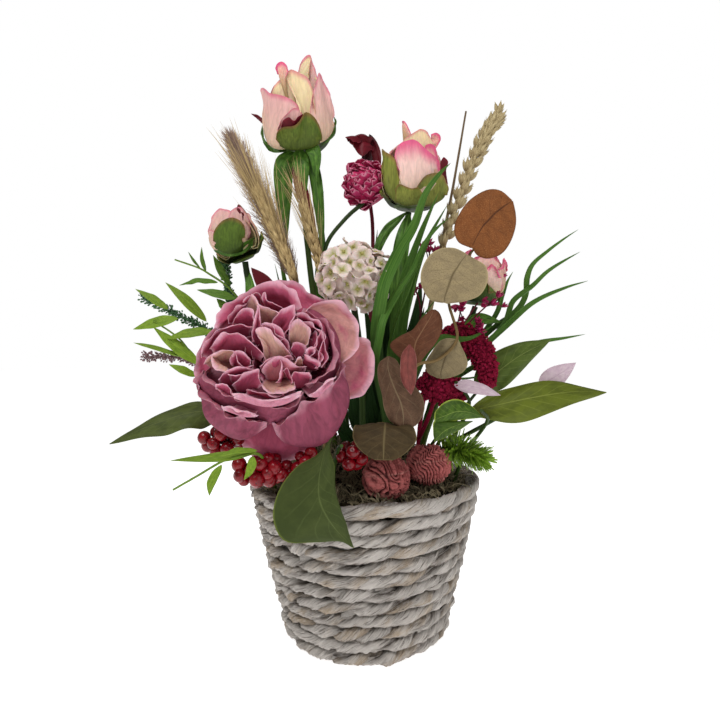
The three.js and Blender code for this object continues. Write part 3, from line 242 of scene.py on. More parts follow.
    def build(self, name, material, *nodes, slot=None, sharp=55):
        points, faces = np.concatenate(self.points) * mm, np.concatenate(self.faces)
        used = faces >= 0
        sizes = used.sum(1)
        mesh = bpy.data.meshes.new(name)
        mesh.vertices.add(len(points))
        mesh.vertices.foreach_set("co", points.astype(np.float32).ravel())
        mesh.loops.add(int(used.sum()))
        mesh.loops.foreach_set("vertex_index", faces[used].astype(np.int32))
        mesh.polygons.add(len(faces))
        mesh.polygons.foreach_set("loop_start", (np.cumsum(sizes) - sizes).astype(np.int32))
        mesh.update(calc_edges=True)
        mesh.uv_layers.new(name="UVMap").uv.foreach_set("vector", np.concatenate(self.uvs)[used].ravel())
        for label, domain, values in (("tone", "FACE", self.tones), ("depth", "POINT", self.depths)):
            kept = mesh.attributes.new(label, "FLOAT", domain)
            kept.data.foreach_set("value", np.concatenate(values).astype(np.float32))
        mesh.polygons.foreach_set("use_smooth", np.ones(len(faces), bool))
        mesh.set_sharp_from_angle(angle=math.radians(sharp))
        piece = bpy.data.objects.new(name, mesh)
        bpy.context.scene.collection.objects.link(piece)
        mesh.materials.append(material)
        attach(piece, "root")
        if nodes:
            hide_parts(*nodes)


def towards(direction, at=(0, 0, 0)):
    # The matrix that stands +Z towards a direction, at a place
    lift = Vector((0, 0, 1)).rotation_difference(Vector(direction).normalized())
    return Matrix.Translation(at) @ lift.to_matrix().to_4x4()


def framesTowards(directions, spins=0.0, sizes=1.0):
    # 3 x 3 matrices whose third column is each direction. sizes scales the three columns.
    z = unit(np.asarray(directions, float))
    aside = np.where(np.abs(z[:, 2:]) < 0.9, [[0, 0, 1.0]], [[1.0, 0, 0]])
    x = unit(np.cross(aside, z))
    y = np.cross(z, x)
    spins = np.broadcast_to(spins, len(z))[:, None]
    turnedX = x * np.cos(spins) + y * np.sin(spins)
    turnedY = y * np.cos(spins) - x * np.sin(spins)
    return np.stack([turnedX, turnedY, z], -1) * np.broadcast_to(sizes, (len(z), 3))[:, None]


# Node helpers

def colour(code):
    # A web colour as linear light
    parts = [int(code[i:i + 2], 16) / 255 for i in (1, 3, 5)]
    return tuple(c / 12.92 if c <= 0.04045 else ((c + 0.055) / 1.055) ** 2.4 for c in parts) + (1.0,)


class Value:
    # What a node gives, so that sums of nodes can be written as plain sums
    def __init__(self, socket, tree):
        self.socket = socket
        self.tree = tree

    def maths(self, operation, *others):
        return put(self.tree, "Math", dict(enumerate([self, *others])), operation=operation)

    def __add__(self, other):
        return self.maths("ADD", other)

    def __sub__(self, other):
        return self.maths("SUBTRACT", other)

    def __rsub__(self, other):
        return put(self.tree, "Math", {0: other, 1: self}, operation="SUBTRACT")

    def __mul__(self, other):
        return self.maths("MULTIPLY", other)


def put(tree, kind, inputs=None, output=0, **settings):
    # A new node, with each input linked or set
    made = tree.nodes.new("ShaderNode" + kind)
    for key, value in settings.items():
        setattr(made, key, value)
    for key, value in (inputs or {}).items():
        if isinstance(value, Value):
            tree.links.new(value.socket, made.inputs[key])
        else:
            made.inputs[key].default_value = value
    return Value(made.outputs[output], tree)


def mixed(share, a, b, how="MIX"):
    return put(a.tree, "Mix", {0: share, 6: a, 7: b}, 2, data_type="RGBA", blend_type=how)


def shaded(body, shade):
    grey = put(body.tree, "CombineColor", {0: shade, 1: shade, 2: shade})
    return mixed(1.0, body, grey, "MULTIPLY")


def spanned(value, low, high, first=0.0, last=1.0):
    # From first to last as the value goes from low to high, easing at both ends
    inputs = dict(enumerate([value, low, high, first, last]))
    return put(value.tree, "MapRange", inputs, interpolation_type="SMOOTHSTEP")


def stretched(place, rates):
    across, along, deep = [*rates, 1][:3]
    rates = put(place.tree, "CombineXYZ", {0: across, 1: along, 2: deep})
    return put(place.tree, "VectorMath", {0: place, 1: rates}, operation="MULTIPLY")


def noise(place, rates, detail=3.0, rough=0.55, distortion=0.0):
    # rates are how often the noise comes and goes along each axis
    inputs = {"Vector": stretched(place, rates), "Scale": 1.0, "Detail": detail, "Roughness": rough}
    return put(place.tree, "TexNoise", {**inputs, "Distortion": distortion})


def attribute(tree, name):
    return put(tree, "Attribute", output="Fac", attribute_name=name)


class Given:
    # The inputs of a node group, by name
    def __init__(self, tree):
        self.tree = tree
        self.start = tree.nodes.new("NodeGroupInput")

    def __getitem__(self, label):
        return Value(self.start.outputs[label], self.tree)


def group(name, colours, numbers, make):
    # A node group whose inputs are colours, and numbers with their defaults
    tree = bpy.data.node_groups.new(name, "ShaderNodeTree")
    rows = [(label, "INPUT", "Color") for label in colours]
    rows += [(label, "INPUT", "Float") for label in numbers]
    rows += [("Color", "OUTPUT", "Color"), ("Height", "OUTPUT", "Float")]
    for label, way, kind in rows:
        made = tree.interface.new_socket(name=label, in_out=way, socket_type="NodeSocket" + kind)
        if label in numbers:
            made.default_value = numbers[label]
    out = tree.nodes.new("NodeGroupOutput")
    for label, value in make(tree, Given(tree)).items():
        tree.links.new(value.socket, out.inputs[label])
    return tree


def shifted(place, rate=7.0):
    # Moved by its tone, so that each leaf or strand reads its own part of a pattern
    shift = attribute(place.tree, "tone") * rate
    apart = put(place.tree, "CombineXYZ", {0: 0, 1: shift, 2: shift})
    return put(place.tree, "VectorMath", {0: place, 1: apart}, operation="ADD")


def uvParts(tree, rate=7.0):
    # The place across and along a leaf or strand, and its own part of a pattern
    uv = put(tree, "UVMap", uv_map="UVMap")
    return put(tree, "SeparateXYZ", {0: uv}), put(tree, "SeparateXYZ", {0: uv}, 1), shifted(uv, rate)


def toEdge(u, v, tip):
    # How near the edge a point lies. tip says how much the far end counts.
    return u.maths("MINIMUM", 1 - u).maths("MINIMUM", (1 - v) * tip)


def petalTint(tree, given):
    # Heart colour at the foot and where a point lies deep, rim colour at the edge, fine streaks along the
    # petal, and painted shade in the creases
    u, v, own = uvParts(tree)
    soft = noise(own, (3, 3))
    streaks = noise(own, (46, 2.2), 4, 0.6)
    creases = noise(own, (13, 7), 3, 0.5, 1.4)
    edge = toEdge(u, v, given["Tip Share"]) + (soft - 0.5) * given["Rim Width"]
    rim = 1 - spanned(edge, 0.0, given["Rim Width"])
    heart = 1 - spanned(v + (streaks - 0.5) * 0.2, 0.0, given["Heart Reach"])
    deep = heart.maths("MAXIMUM", attribute(tree, "depth") * given["Depth Share"])
    tint = spanned(attribute(tree, "tone"), 0.6, 1.0) * given["Tint Share"] * spanned(soft, 0.2, 0.5)
    body = mixed(tint, given["Body"], given["Tint"])
    body = mixed(rim * given["Rim Share"], body, given["Rim"])
    body = mixed(deep, body, given["Heart"])
    shade = spanned(streaks, 0.3, 0.7, -1.0, 1.0) * given["Streaks"] + 1
    # darker where the creases of the bump dip: painted shade
    shade = shade + spanned(creases, 0.3, 0.7, -1.0, 1.0) * given["Crease Shade"]
    return {"Color": shaded(body, shade), "Height": creases * given["Creases"] + streaks * 0.3 + soft}


def leafPattern(tree, given):
    # Midrib, side veins that lean towards the tip, a paler or darker edge and soft blotches
    u, v, own = uvParts(tree)
    across = (u * 2 - 1).maths("ABSOLUTE")
    midrib = 1 - spanned(across, 0.0, given["Midrib Width"])
    lean = across.maths("POWER", 0.8) * given["Vein Lean"]
    row = (noise(own, (4, 6), 2) * 0.05 + v - lean) * given["Veins"]
    near = (row.maths("FRACT") * 2 - 1).maths("ABSOLUTE")
    veins = spanned(near, 0.82, 1.0) * spanned(across, 0.97, 0.5) * given["Vein Share"]
    veins = veins.maths("MAXIMUM", midrib)
    blotch = noise(own, (5, 9), 4, 0.6)
    fine = noise(own, (60, 90), 3, 0.6)
    rim = 1 - spanned(toEdge(u, v, 1.5), 0.0, given["Edge Width"])
    body = mixed(spanned(blotch, 0.35, 0.68), given["Blade"], given["Blotch"])
    body = mixed(spanned(fine, 0.5, 0.64) * given["Speckle Share"], body, given["Speckle"])
    body = mixed(veins * given["Line Share"], body, given["Vein"])
    body = mixed(rim * given["Edge Share"], body, given["Edge"])
    shade = attribute(tree, "tone") * 0.3 + 0.85
    return {"Color": shaded(body, shade), "Height": fine * 0.3 + blotch * 0.5 - veins * 0.8}


def bladePattern(tree, given):
    # Fine ribs that run along a blade of grass, with paler and darker stretches
    u, v, own = uvParts(tree)
    ribs = (u * given["Ribs"]).maths("SINE") * 0.5 + 0.5
    streaks = noise(own, (22, 3), 4, 0.6)
    middle = 1 - spanned((u - 0.5).maths("ABSOLUTE"), 0.0, 0.06)
    body = mixed(spanned(streaks, 0.35, 0.7), given["Blade"], given["Light"])
    body = mixed(spanned(noise(own, (1.5, 7)), 0.5, 0.75) * given["Patch Share"], body, given["Patch"])
    body = mixed((1 - spanned(v, 0.05, 0.55)) * 0.65, body, given["Foot"])
    body = mixed(middle * 0.4, body, given["Light"])
    return {"Color": body, "Height": ribs * 0.6 + streaks * 0.6}


def fibrePattern(tree, given):
    # Long dry fibres: two colours by strand and patch, streaks along it, and painted shade in its creases
    # and where it lies deep
    own = uvParts(tree, 31.0)[2]
    across, along = given["Across"], given["Along"]
    fine = noise(own, (across, along), 5, 0.65, 0.3)
    crease = noise(own, (across * 0.35, along * 0.6), 3, 0.5, 0.5)
    dust = noise(own, (across * 2.5, along * 4), 4, 0.7, 0.6)
    pick = noise(own, (1.5, given["Patch Rate"]), 4, 0.6) + (attribute(tree, "tone") * 0.3 - 0.15)
    body = mixed(spanned(pick, 0.5, 0.78), given["Pale"], given["Warm"])
    # the crease and depth terms paint shade into the hollows; the fine streaks run along the fibres
    for dark in (spanned(fine, 0.5, 0.3) * given["Streak Share"], spanned(crease, 0.38, 0.2) * 0.7,
                 attribute(tree, "depth") * given["Deep Share"]):
        body = mixed(dark, body, given["Dark"])
    body = mixed(spanned(dust, 0.54, 0.66) * given["Fleck Share"], body, given["Fleck"])
    return {"Color": body, "Height": fine * 0.55 + dust * 0.4 + crease}


petalGroup = group("Petal Tint", ["Heart", "Body", "Tint", "Rim"], {
    "Heart Reach": 0.4, "Rim Width": 0.06, "Rim Share": 0.8, "Tip Share": 0.7, "Depth Share": 0.8,
    "Tint Share": 0.6, "Streaks": 0.03, "Creases": 0.6, "Crease Shade": 0.1,
}, petalTint)
leafGroup = group("Leaf Pattern", ["Blade", "Blotch", "Speckle", "Vein", "Edge"], {
    "Midrib Width": 0.05, "Veins": 9.0, "Vein Lean": 0.25, "Vein Share": 0.5, "Line Share": 0.6,
    "Speckle Share": 0.2, "Edge Width": 0.05, "Edge Share": 0.6,
}, leafPattern)
bladeGroup = group("Blade Pattern", ["Blade", "Light", "Patch", "Foot"], {"Ribs": 70.0, "Patch Share": 0.4},
                   bladePattern)
fibreGroup = group("Fibre Pattern", ["Pale", "Warm", "Dark", "Fleck"], {
    "Across": 10.0, "Along": 20.0, "Patch Rate": 8.0, "Streak Share": 0.5, "Deep Share": 0.9,
    "Fleck Share": 0.0,
}, fibrePattern)
silk = {"Subsurface_Weight": 0.12, "Subsurface_Scale": 0.002}


def material(name, pattern, values, roughness=0.6, bump=0.3, distance=0.0004, **fixed):
    # One finish: a pattern group gives colour and relief, and fixed numbers stand on the shader itself
    made = bpy.data.materials.new(name)
    made.use_nodes = True
    tree = made.node_tree
    shader = tree.nodes["Principled BSDF"].inputs
    source = tree.nodes.new("ShaderNodeGroup")
    source.node_tree = pattern
    for key, value in values.items():
        source.inputs[key].default_value = colour(value) if isinstance(value, str) else value
    tree.links.new(source.outputs["Color"], shader["Base Color"])
    height = Value(source.outputs["Height"], tree)
    relief = put(tree, "Bump", {"Height": height, "Strength": bump, "Distance": distance})
    tree.links.new(relief.socket, shader["Normal"])
    for key, value in {"Roughness": roughness, "Specular_IOR_Level": 0.2, **fixed}.items():
        shader[key.replace("_", " ")].default_value = value
    return made


# Camera and light

view = {"distance": 324, "height": 168, "focalPixels": 500, "pixels": 720, "roll": -1.6,
        "middle": (359, 360)}


def makeCamera():
    data = bpy.data.cameras.new("view")
    data.sensor_width = 36
    data.lens = data.sensor_width * view["focalPixels"] / view["pixels"]
    data.shift_x = (view["pixels"] / 2 - view["middle"][0]) / view["pixels"]
    data.clip_start = 0.01
    camera = bpy.data.objects.new("view", data)
    camera.location = (0, -view["distance"] * mm, view["height"] * mm)
    camera.rotation_euler = (Matrix.Rotation(math.radians(90), 3, "X")
                             @ Matrix.Rotation(math.radians(view["roll"]), 3, "Z")).to_euler()
    bpy.context.scene.collection.objects.link(camera)
    bpy.context.scene.camera = camera


lamps = {
    "key": {"at": (-170, -400, 720), "size": 320, "power": 2.7},
    "fill": {"at": (560, -520, 420), "size": 600, "power": 0.9},
    "back": {"at": (60, 560, 640), "size": 500, "power": 1.4},
}

studio = {"glow": 0.26, "backdrop": 1.0, "aim": 170, "floorSize": 60000, "floorDrop": 0.2}
floorLook = {"Base Color": (0.86, 0.86, 0.86, 1), "Roughness": 0.8, "Emission Color": (1, 1, 1, 1),
             "Emission Strength": 0.8}


def makeStage():
    for name, lamp in lamps.items():
        data = bpy.data.lights.new(name, "AREA")
        data.size = lamp["size"] * mm
        data.energy = lamp["power"]
        made = bpy.data.objects.new(name, data)
        made.location = Vector(lamp["at"]) * mm
        aim = Vector((0, 0, studio["aim"])) * mm - made.location
        made.rotation_euler = aim.to_track_quat("-Z", "Y").to_euler()
        bpy.context.scene.collection.objects.link(made)
    world = bpy.data.worlds.new("studio")
    world.use_nodes = True
    tree = world.node_tree
    seen = put(tree, "LightPath", output="Is Camera Ray")
    strength = spanned(seen, 0.0, 1.0, studio["glow"], studio["backdrop"])
    backdrop = tree.nodes["Background"].inputs
    backdrop["Color"].default_value = (1, 1, 1, 1)
    tree.links.new(strength.socket, backdrop["Strength"])
    bpy.context.scene.world = world
    bpy.context.scene.view_settings.view_transform = "Standard"
    floor = bpy.data.meshes.new("floor")
    far, low = studio["floorSize"] * mm, -studio["floorDrop"] * mm
    floor.from_pydata([(-far, -far, low), (far, -far, low), (far, far, low), (-far, far, low)], [],
                      [(0, 1, 2, 3)])
    white = bpy.data.materials.new("white_floor")
    white.use_nodes = True
    for key, value in floorLook.items():
        white.node_tree.nodes["Principled BSDF"].inputs[key].default_value = value
    floor.materials.append(white)
    made = bpy.data.objects.new("floor", floor)
    bpy.context.scene.collection.objects.link(made)


makeCamera()
makeStage()
print("camera and light")


# Basket: rows of a loose two-strand rope, washed with thin white

basket = {
    "rim": 72, "foot": 50, "height": 94, "rows": 12, "turns": 10, "orbit": 1.25, "wide": 3.5, "thick": 2.7,
    "baseRings": 6, "baseStart": 4, "baseStep": 7.8, "baseLift": 3.6, "flakes": 110, "inset": 2.6,
    "lean": 1.6,
}
# the Dark colour is painted shade in the crevices, row gaps and creases, and darker streaks along the
# fibres
ropeFinish = material("washed_rope", fibreGroup, {
    "Pale": "#c2bbb4", "Warm": "#ad9c88", "Dark": "#463b32", "Across": 30.0, "Along": 44.0,
    "Patch Rate": 22.0, "Streak Share": 0.9, "Deep Share": 0.95, "Fleck": "#dcd8d3", "Fleck Share": 0.6,
}, roughness=0.9, bump=1.0, distance=0.001)
wrinkles = {"sides": 20, "perRow": 260, "swell": 0.16, "crease": 0.11, "ridge": 0.045, "twist": 0.8,
            "lift": 0.75, "footLift": 0.25}


def radiusAt(z):
    return basket["foot"] + (basket["rim"] - basket["foot"]) * z / basket["height"]


def ropeRing(shape, radius, z, turns, steps, seed, flat=1.0):
    # One row: two strands that wind round each other, creased along their length
    angle = np.linspace(0, 2 * math.pi, steps, endpoint=False)[:, None]
    cosA, sinA = np.cos(angle), np.sin(angle)
    lift = wrinkles["lift" if z > 8 else "footLift"] * waves(seed, 8, 2, 9)(sinA, cosA * 1.3) * flat
    around = np.linspace(0, 2 * math.pi, wrinkles["sides"], endpoint=False)[None]
    cosB, sinB = np.cos(around), np.sin(around)
    for strand in range(2):
        number = seed * 2 + strand
        ripple, crease = waves(number, 10, 3, 8), waves(number + 500, 12, 5, 13)
        swell = waves(number + 900, 8, 4, 16)
        twist = turns * angle + math.pi * strand + seed * 1.7 + wrinkles["twist"] * ripple(cosA, sinA)
        out, up = np.cos(twist), np.sin(twist)
        ridge = 1 + wrinkles["crease"] * crease(2.2 * cosB + 5 * cosA, 2.2 * sinB + 5 * sinA)
        ridge += wrinkles["ridge"] * np.sin(6 * around + 9 * swell(cosA, sinA))
        size = ridge * (1 + wrinkles["swell"] * swell(2 * cosA, 2 * sinA))
        a, b = basket["orbit"] + basket["thick"] * cosB * size, basket["wide"] * sinB * size
        reachOut, reachUp = a * out - b * up, a * up + b * out  # up before the row is flattened
        r, height = radius + reachOut, np.maximum(z + reachUp * flat + lift, 0.1)
        lean = basket["lean"] * z / basket["height"]
        points = np.stack([r * cosA + lean, r * sinA, height], -1)
        # deep and the seam mark the crevice between the two strands and the gaps between rows, which the
        # rope finish paints dark as shade
        deep = smooth(2.0, 0.5, np.hypot(reachOut, reachUp) / 2.1) ** 0.8
        seamShade = smooth(3.0, 4.2, np.abs(reachUp + lift / flat)) * smooth(4.2, 2.4, reachOut)
        points, deep = (np.concatenate([x, x[:1]]) for x in (points, np.maximum(deep, seamShade)))
        shape.grid(points, 0.5 + 0.5 * math.sin(number * 2.4), deep, closed=True)


def makeBasket():
    rope = Shape()
    rowHeight = basket["height"] / basket["rows"]
    for row in range(basket["rows"]):
        z = (row + 0.5) * rowHeight
        ropeRing(rope, radiusAt(z) - basket["inset"], z, basket["turns"], wrinkles["perRow"], row + 1)
    for ring in range(basket["baseRings"]):
        radius = basket["baseStart"] + basket["baseStep"] * ring
        turns, steps = max(1, round(radius / 6)), max(24, round(radius * 4))
        ropeRing(rope, radius, basket["baseLift"], turns, steps, 40 + ring, flat=0.75)
    rope.build("rope_basket", ropeFinish, "basket", slot="rope", sharp=75)
    # loose ends of husk that lift off the rope
    flakes, random = Shape(), np.random.default_rng(5)
    for k in range(basket["flakes"]):
        row = random.integers(0, basket["rows"])
        z0 = (row + 0.5) * rowHeight + random.uniform(-2, 2)
        angle0, length = random.uniform(0, 2 * math.pi), random.uniform(7, 17)
        wide, lift = random.uniform(0.5, 2.0), random.uniform(0.3, 1.7)
        s = np.linspace(0, 1, 9)[:, None]
        t = np.linspace(-1, 1, 4)[None]
        angle = angle0 + length * s / radiusAt(z0) * (1 - 0.1 * t)
        z = z0 + length * 0.33 * (s - 0.5) + t * wide * (1 - s**2) + 0.3 * t * np.sin(5 * s)
        r = radiusAt(z0) - 0.5 + lift * s**2 + 0.35 * np.cos(6 * s + 2 * t)
        flakes.sheet(np.stack([r * np.cos(angle), r * np.sin(angle), z], -1), 0.35, random.random())
    flakes.build("rope_husk_ends", ropeFinish, slot="rope")


makeBasket()
print("basket")


# Moss: a dark lumpy mat under loose curled strands; its near-black colour is painted shade

moss = {"top": 90, "under": 77, "radius": 63.5, "rise": 20, "strands": 2300, "long": (7, 24),
        "thick": (0.16, 0.42)}
rimMoss = {"strands": 90, "radius": 61, "overhang": 12.5, "height": 93.5, "droop": 5, "thick": 0.26}
mossFinish = material("dry_moss", fibreGroup, {
    "Pale": "#877d63", "Warm": "#423828", "Dark": "#17120a", "Across": 4.0, "Along": 6.0, "Patch Rate": 3.0,
}, roughness=0.95, bump=0.4)
mossShadeFinish = material("moss_shade", fibreGroup, {
    "Pale": "#2b2417", "Warm": "#1c160d", "Dark": "#0b0805", "Across": 40.0, "Along": 40.0,
    "Patch Rate": 6.0,
}, roughness=1.0, bump=1.0, distance=0.002)


def mossLump(x, y):
    # Lumps on a mound that is highest behind the middle
    mound = moss["rise"] * smooth(1.0, 0.25, np.hypot(x, y - 12) / moss["radius"])
    return 1.6 * np.sin(x * 0.31 + 1) * np.cos(y * 0.27) + 1.1 * np.sin(x * 0.7 - y * 0.5) + mound


def makeMoss():
    base = Shape()
    reach = np.linspace(0.02, 1, 26)[:, None] * moss["radius"]
    angle = np.linspace(0, 2 * math.pi, 72, endpoint=False)[None]
    x, y = reach * np.cos(angle), reach * np.sin(angle)
    z = moss["top"] + 0.6 + mossLump(x, y) + 0.8 * waves(3, 10, 0.5, 1.6)(x, y)
    z = z - 3.5 * smooth(0.86, 1, reach / moss["radius"])
    top = np.stack([x, y, z], -1)
    under = top[::-1] * [1, 1, 0] + [0, 0, moss["under"]]
    base.grid(np.concatenate([top, under]), closed=True)
    base.build("moss_mat", mossShadeFinish, "moss", slot="moss")
    random = np.random.default_rng(11)
    count, steps = moss["strands"], 13
    s = np.linspace(0, 1, steps)
    start = moss["radius"] * np.sqrt(random.uniform(0, 1, count)) * 0.98
    round0 = random.uniform(0, 2 * math.pi, count)
    length = random.uniform(*moss["long"], count)
    heading = random.uniform(0, 2 * math.pi, count)
    curl = random.normal(0, 3.2, count)
    wave = random.uniform(0.5, 2.5, count)
    turn = heading[:, None] + curl[:, None] * s + wave[:, None] * np.sin(7 * s + round0[:, None])
    step = length[:, None] / steps
    x = (start * np.cos(round0))[:, None] + np.cumsum(np.cos(turn) * step, 1)
    y = (start * np.sin(round0))[:, None] + np.cumsum(np.sin(turn) * step, 1)
    keep = np.minimum(1, (moss["radius"] + 1.5) / np.maximum(np.hypot(x, y), 1))
    x, y = x * keep, y * keep
    rise = random.uniform(0.2, 5.5, count) + (random.random(count) > 0.8) * random.uniform(0, 7, count)
    rise = rise[:, None] * np.sin(math.pi * s) ** 0.7
    z = moss["top"] + 0.9 + mossLump(x, y) - 2.6 * smooth(0.88, 1, np.hypot(x, y) / moss["radius"]) + rise
    loose = Shape()
    thick = random.uniform(*moss["thick"], count)
    loose.hairs(np.stack([x, y, z], -1), thick, random.random(count) ** 0.8, blunt=0.4)
    # a few strands that hang over the rim
    count = rimMoss["strands"]
    around = random.uniform(0, 2 * math.pi, count)[:, None] + random.normal(0, 0.12, count)[:, None] * s
    over = random.uniform(0.2, 1, count)[:, None]
    r = rimMoss["radius"] + rimMoss["overhang"] * s * over + 1.2 * np.sin(9 * s + around)
    z = rimMoss["height"] + 2.6 * np.sin(math.pi * s * 0.9)
    z = z - rimMoss["droop"] * np.clip(s * over - 0.7, 0, 1)
    hanging = np.stack([r * np.cos(around), r * np.sin(around), z], -1)
    loose.hairs(hanging, rimMoss["thick"], random.random(count) * 0.5, blunt=0.4)
    loose.build("moss_strands", mossFinish, slot="moss")


makeMoss()
print("moss")


# Leaves and lathed parts, used by many of the pieces below

outlines = {  # share of the full width at each share of the length
    "grass": lambda s: np.minimum(1, 0.3 + 3 * s) * np.clip(2.4 * (1 - s), 0, 1) ** 0.8,
    "lance": lambda s: np.sin(math.pi * s**0.75) ** 0.9,
    "round": lambda s: np.sin(math.pi * (0.03 + 0.94 * s)) ** 0.55,
    "heart": lambda s: np.sin(math.pi * np.minimum(1, s * 1.02) ** 0.62) ** 0.8,
    "strap": lambda s: np.minimum(1, 0.5 + 4 * s) * np.clip(5 * (1 - s), 0, 1) ** 0.5,
}


def leaf(shape, midrib, width, face=front, outline="lance", arch=0.12, twist=0.0, wave=0.0, waveCount=2,
         fold=0.0, ripple=0.0, rows=26, columns=8, thick=0.45, tone=0.5, seed=1):
    # A leaf along its midrib. face is the way its upper side looks, arch bends its edges down, fold lifts
    # them in a V, wave ruffles them and ripple buckles them at random.
    s, t = np.linspace(0, 1, rows + 1), np.linspace(-1, 1, columns + 1)
    centre, along = splineAt(midrib, s), tangentAt(midrib, s)
    side = unit(np.cross(along, face))
    if twist:
        turn = np.radians(twist) * s[:, None]
        side = side * np.cos(turn) + np.cross(along, side) * np.sin(turn)
    up = unit(np.cross(side, along))
    share = np.maximum(outlines[outline](np.clip(s, 0, 1)), 0.02)[:, None]
    half = width / 2 * share
    rise = wave * share * np.sin(waveCount * 2 * math.pi * s[:, None] + t) * t
    rise = rise + ripple * waves(seed, 7, 2, 9)(1.2 * t[None], 2.2 * s[:, None]) * np.abs(t) ** 1.4 * share
    rise = rise - arch * 2 * half * t**2 + fold * half * np.abs(t)
    points = centre[:, None] + side[:, None] * (t * half)[..., None] + up[:, None] * rise[..., None]
    shape.sheet(points, thick, tone)


def inFront(points, at):
    # Slides drawn points along the line to the viewer, each to its own depth
    p = threes(points)
    plain = np.array(at) + np.stack([p[:, 0], 0 * p[:, 0], p[:, 1]], -1)
    eye = np.array([0, -view["distance"], view["height"]])
    return plain + (eye - plain) * (p[:, 2:] / (view["distance"] + at[1]))


def drawnLeaf(shape, at, left, middle, right, ripple=0.5, rows=34, columns=20, thick=0.5, tone=0.5, seed=1):
    # A leaf drawn by its edges and midrib, as the viewer sees it: right, up and towards the viewer
    s, t = np.linspace(0, 1, rows + 1), np.linspace(-1, 1, columns + 1)
    left, middle, right = (splineAt(inFront(line, at), s)[:, None] for line in (left, middle, right))
    across = t[None, :, None]
    points = middle + across * (right - left) / 2 + across**2 * ((left + right) / 2 - middle)
    buckle = ripple * waves(seed, 7, 2, 8)(1.2 * t[None], 2.4 * s[:, None]) * np.abs(t)
    points[..., 1] += buckle * np.sin(math.pi * s)[:, None] ** 0.5
    shape.sheet(points, thick, tone)


def lathe(shape, profile, sides=24, tone=0.5, matrix=Matrix(), wobble=None):
    # A body turned round Z from (radius, height) pairs, bottom first
    angle = np.linspace(0, 2 * math.pi, sides, endpoint=False)[None]
    r, z = np.array(profile, float).T[..., None]
    if wobble is not None:
        r = r * wobble(angle, z)
    points = np.stack([r * np.cos(angle), r * np.sin(angle), z + 0 * angle], -1)
    shape.body(placed(points, matrix), tone)


def beadTemplate(wide=1.0, tall=1.0, sides=14, rings=9, navel=0.0):
    # A ball round the origin, with a small dimple at its top
    bead = Shape()
    polar = np.linspace(math.pi * 0.985, math.pi * 0.015, rings + 1)
    dip = navel * smooth(0.35, 0.0, polar)
    lathe(bead, np.stack([wide * np.sin(polar), tall * np.cos(polar) - dip], -1), sides)
    return bead


def stem(shape, path, radius, end=None, sides=8):
    shape.tube(path, [radius, end or radius], sides, ridge=0.04)


def stemFinish(name, blade, light, foot="#3d4a20", roughness=0.55):
    return material(name, bladeGroup, {
        "Blade": blade, "Light": light, "Patch": foot, "Foot": foot, "Ribs": 30.0, "Patch Share": 0.25,
    }, roughness=roughness, bump=0.25)


greenStem = stemFinish("green_stem", "#2c4217", "#3e5721", "#1e2a0e")


# Peony: each petal is drawn by its edge and by the line where it leaves the bowl below. A point is its
# place on the bloom's own plane as the viewer sees it, right and up, and how far it stands towards the
# viewer. A row holds the petal's tone, how far its middle swells, its edge and its lower line.

peony = {"at": (-37, -56, 162), "foot": (-4, 3, 1), "heart": (-6, 7, 20), "innerCurl": 0.7, "lipCurl": 1.2}
outerCurls = [0.6, 1, 1, 1, 1.8, 1, 3.2, 2.6, 3.4, 2.4]
firstBowl = 6  # the outer petals from here on are the bowls in front
heartRings = ((9, 26, 13), (8, 20, 16), (7, 14, 17), (5, 8, 18))  # petals, radius and height of each ring
# Heart is the petals' own deep raspberry at their feet, and deep in the bloom it is partly painted shade
peonyFinish = material("peony_silk", petalGroup, {
    "Heart": "#6b001c", "Body": "#b85572", "Tint": "#d3ab98", "Rim": "#e8b4c4", "Heart Reach": 0.42,
    "Rim Width": 0.1, "Rim Share": 0.85, "Tip Share": 0.9, "Depth Share": 0.8, "Tint Share": 0.95,
}, bump=0.35, **silk)
# a darker copy of the peony silk for the bowls in front: painted shade
shadedBowlFinish = material("peony_bowl_shaded_silk", petalGroup, {
    "Heart": "#5c0c20", "Body": "#8c4358", "Tint": "#9a5a6c", "Rim": "#c48d9b", "Heart Reach": 0.3,
    "Rim Width": 0.12, "Rim Share": 0.75, "Tip Share": 0.9, "Depth Share": 0.5, "Tint Share": 0.6,
    "Streaks": 0.06, "Creases": 0.8, "Crease Shade": 0.2,
}, roughness=0.65, bump=0.45, distance=0.0005, **silk)
lipFinish = material("peony_lip_silk", petalGroup, {
    "Heart": "#8a3850", "Body": "#c88497", "Tint": "#dcb49a", "Rim": "#eabfcb", "Heart Reach": 0.6,
    "Rim Width": 0.2, "Rim Share": 0.8, "Tip Share": 0.9, "Depth Share": 0.6, "Tint Share": 0.6,
}, bump=0.35, **silk)
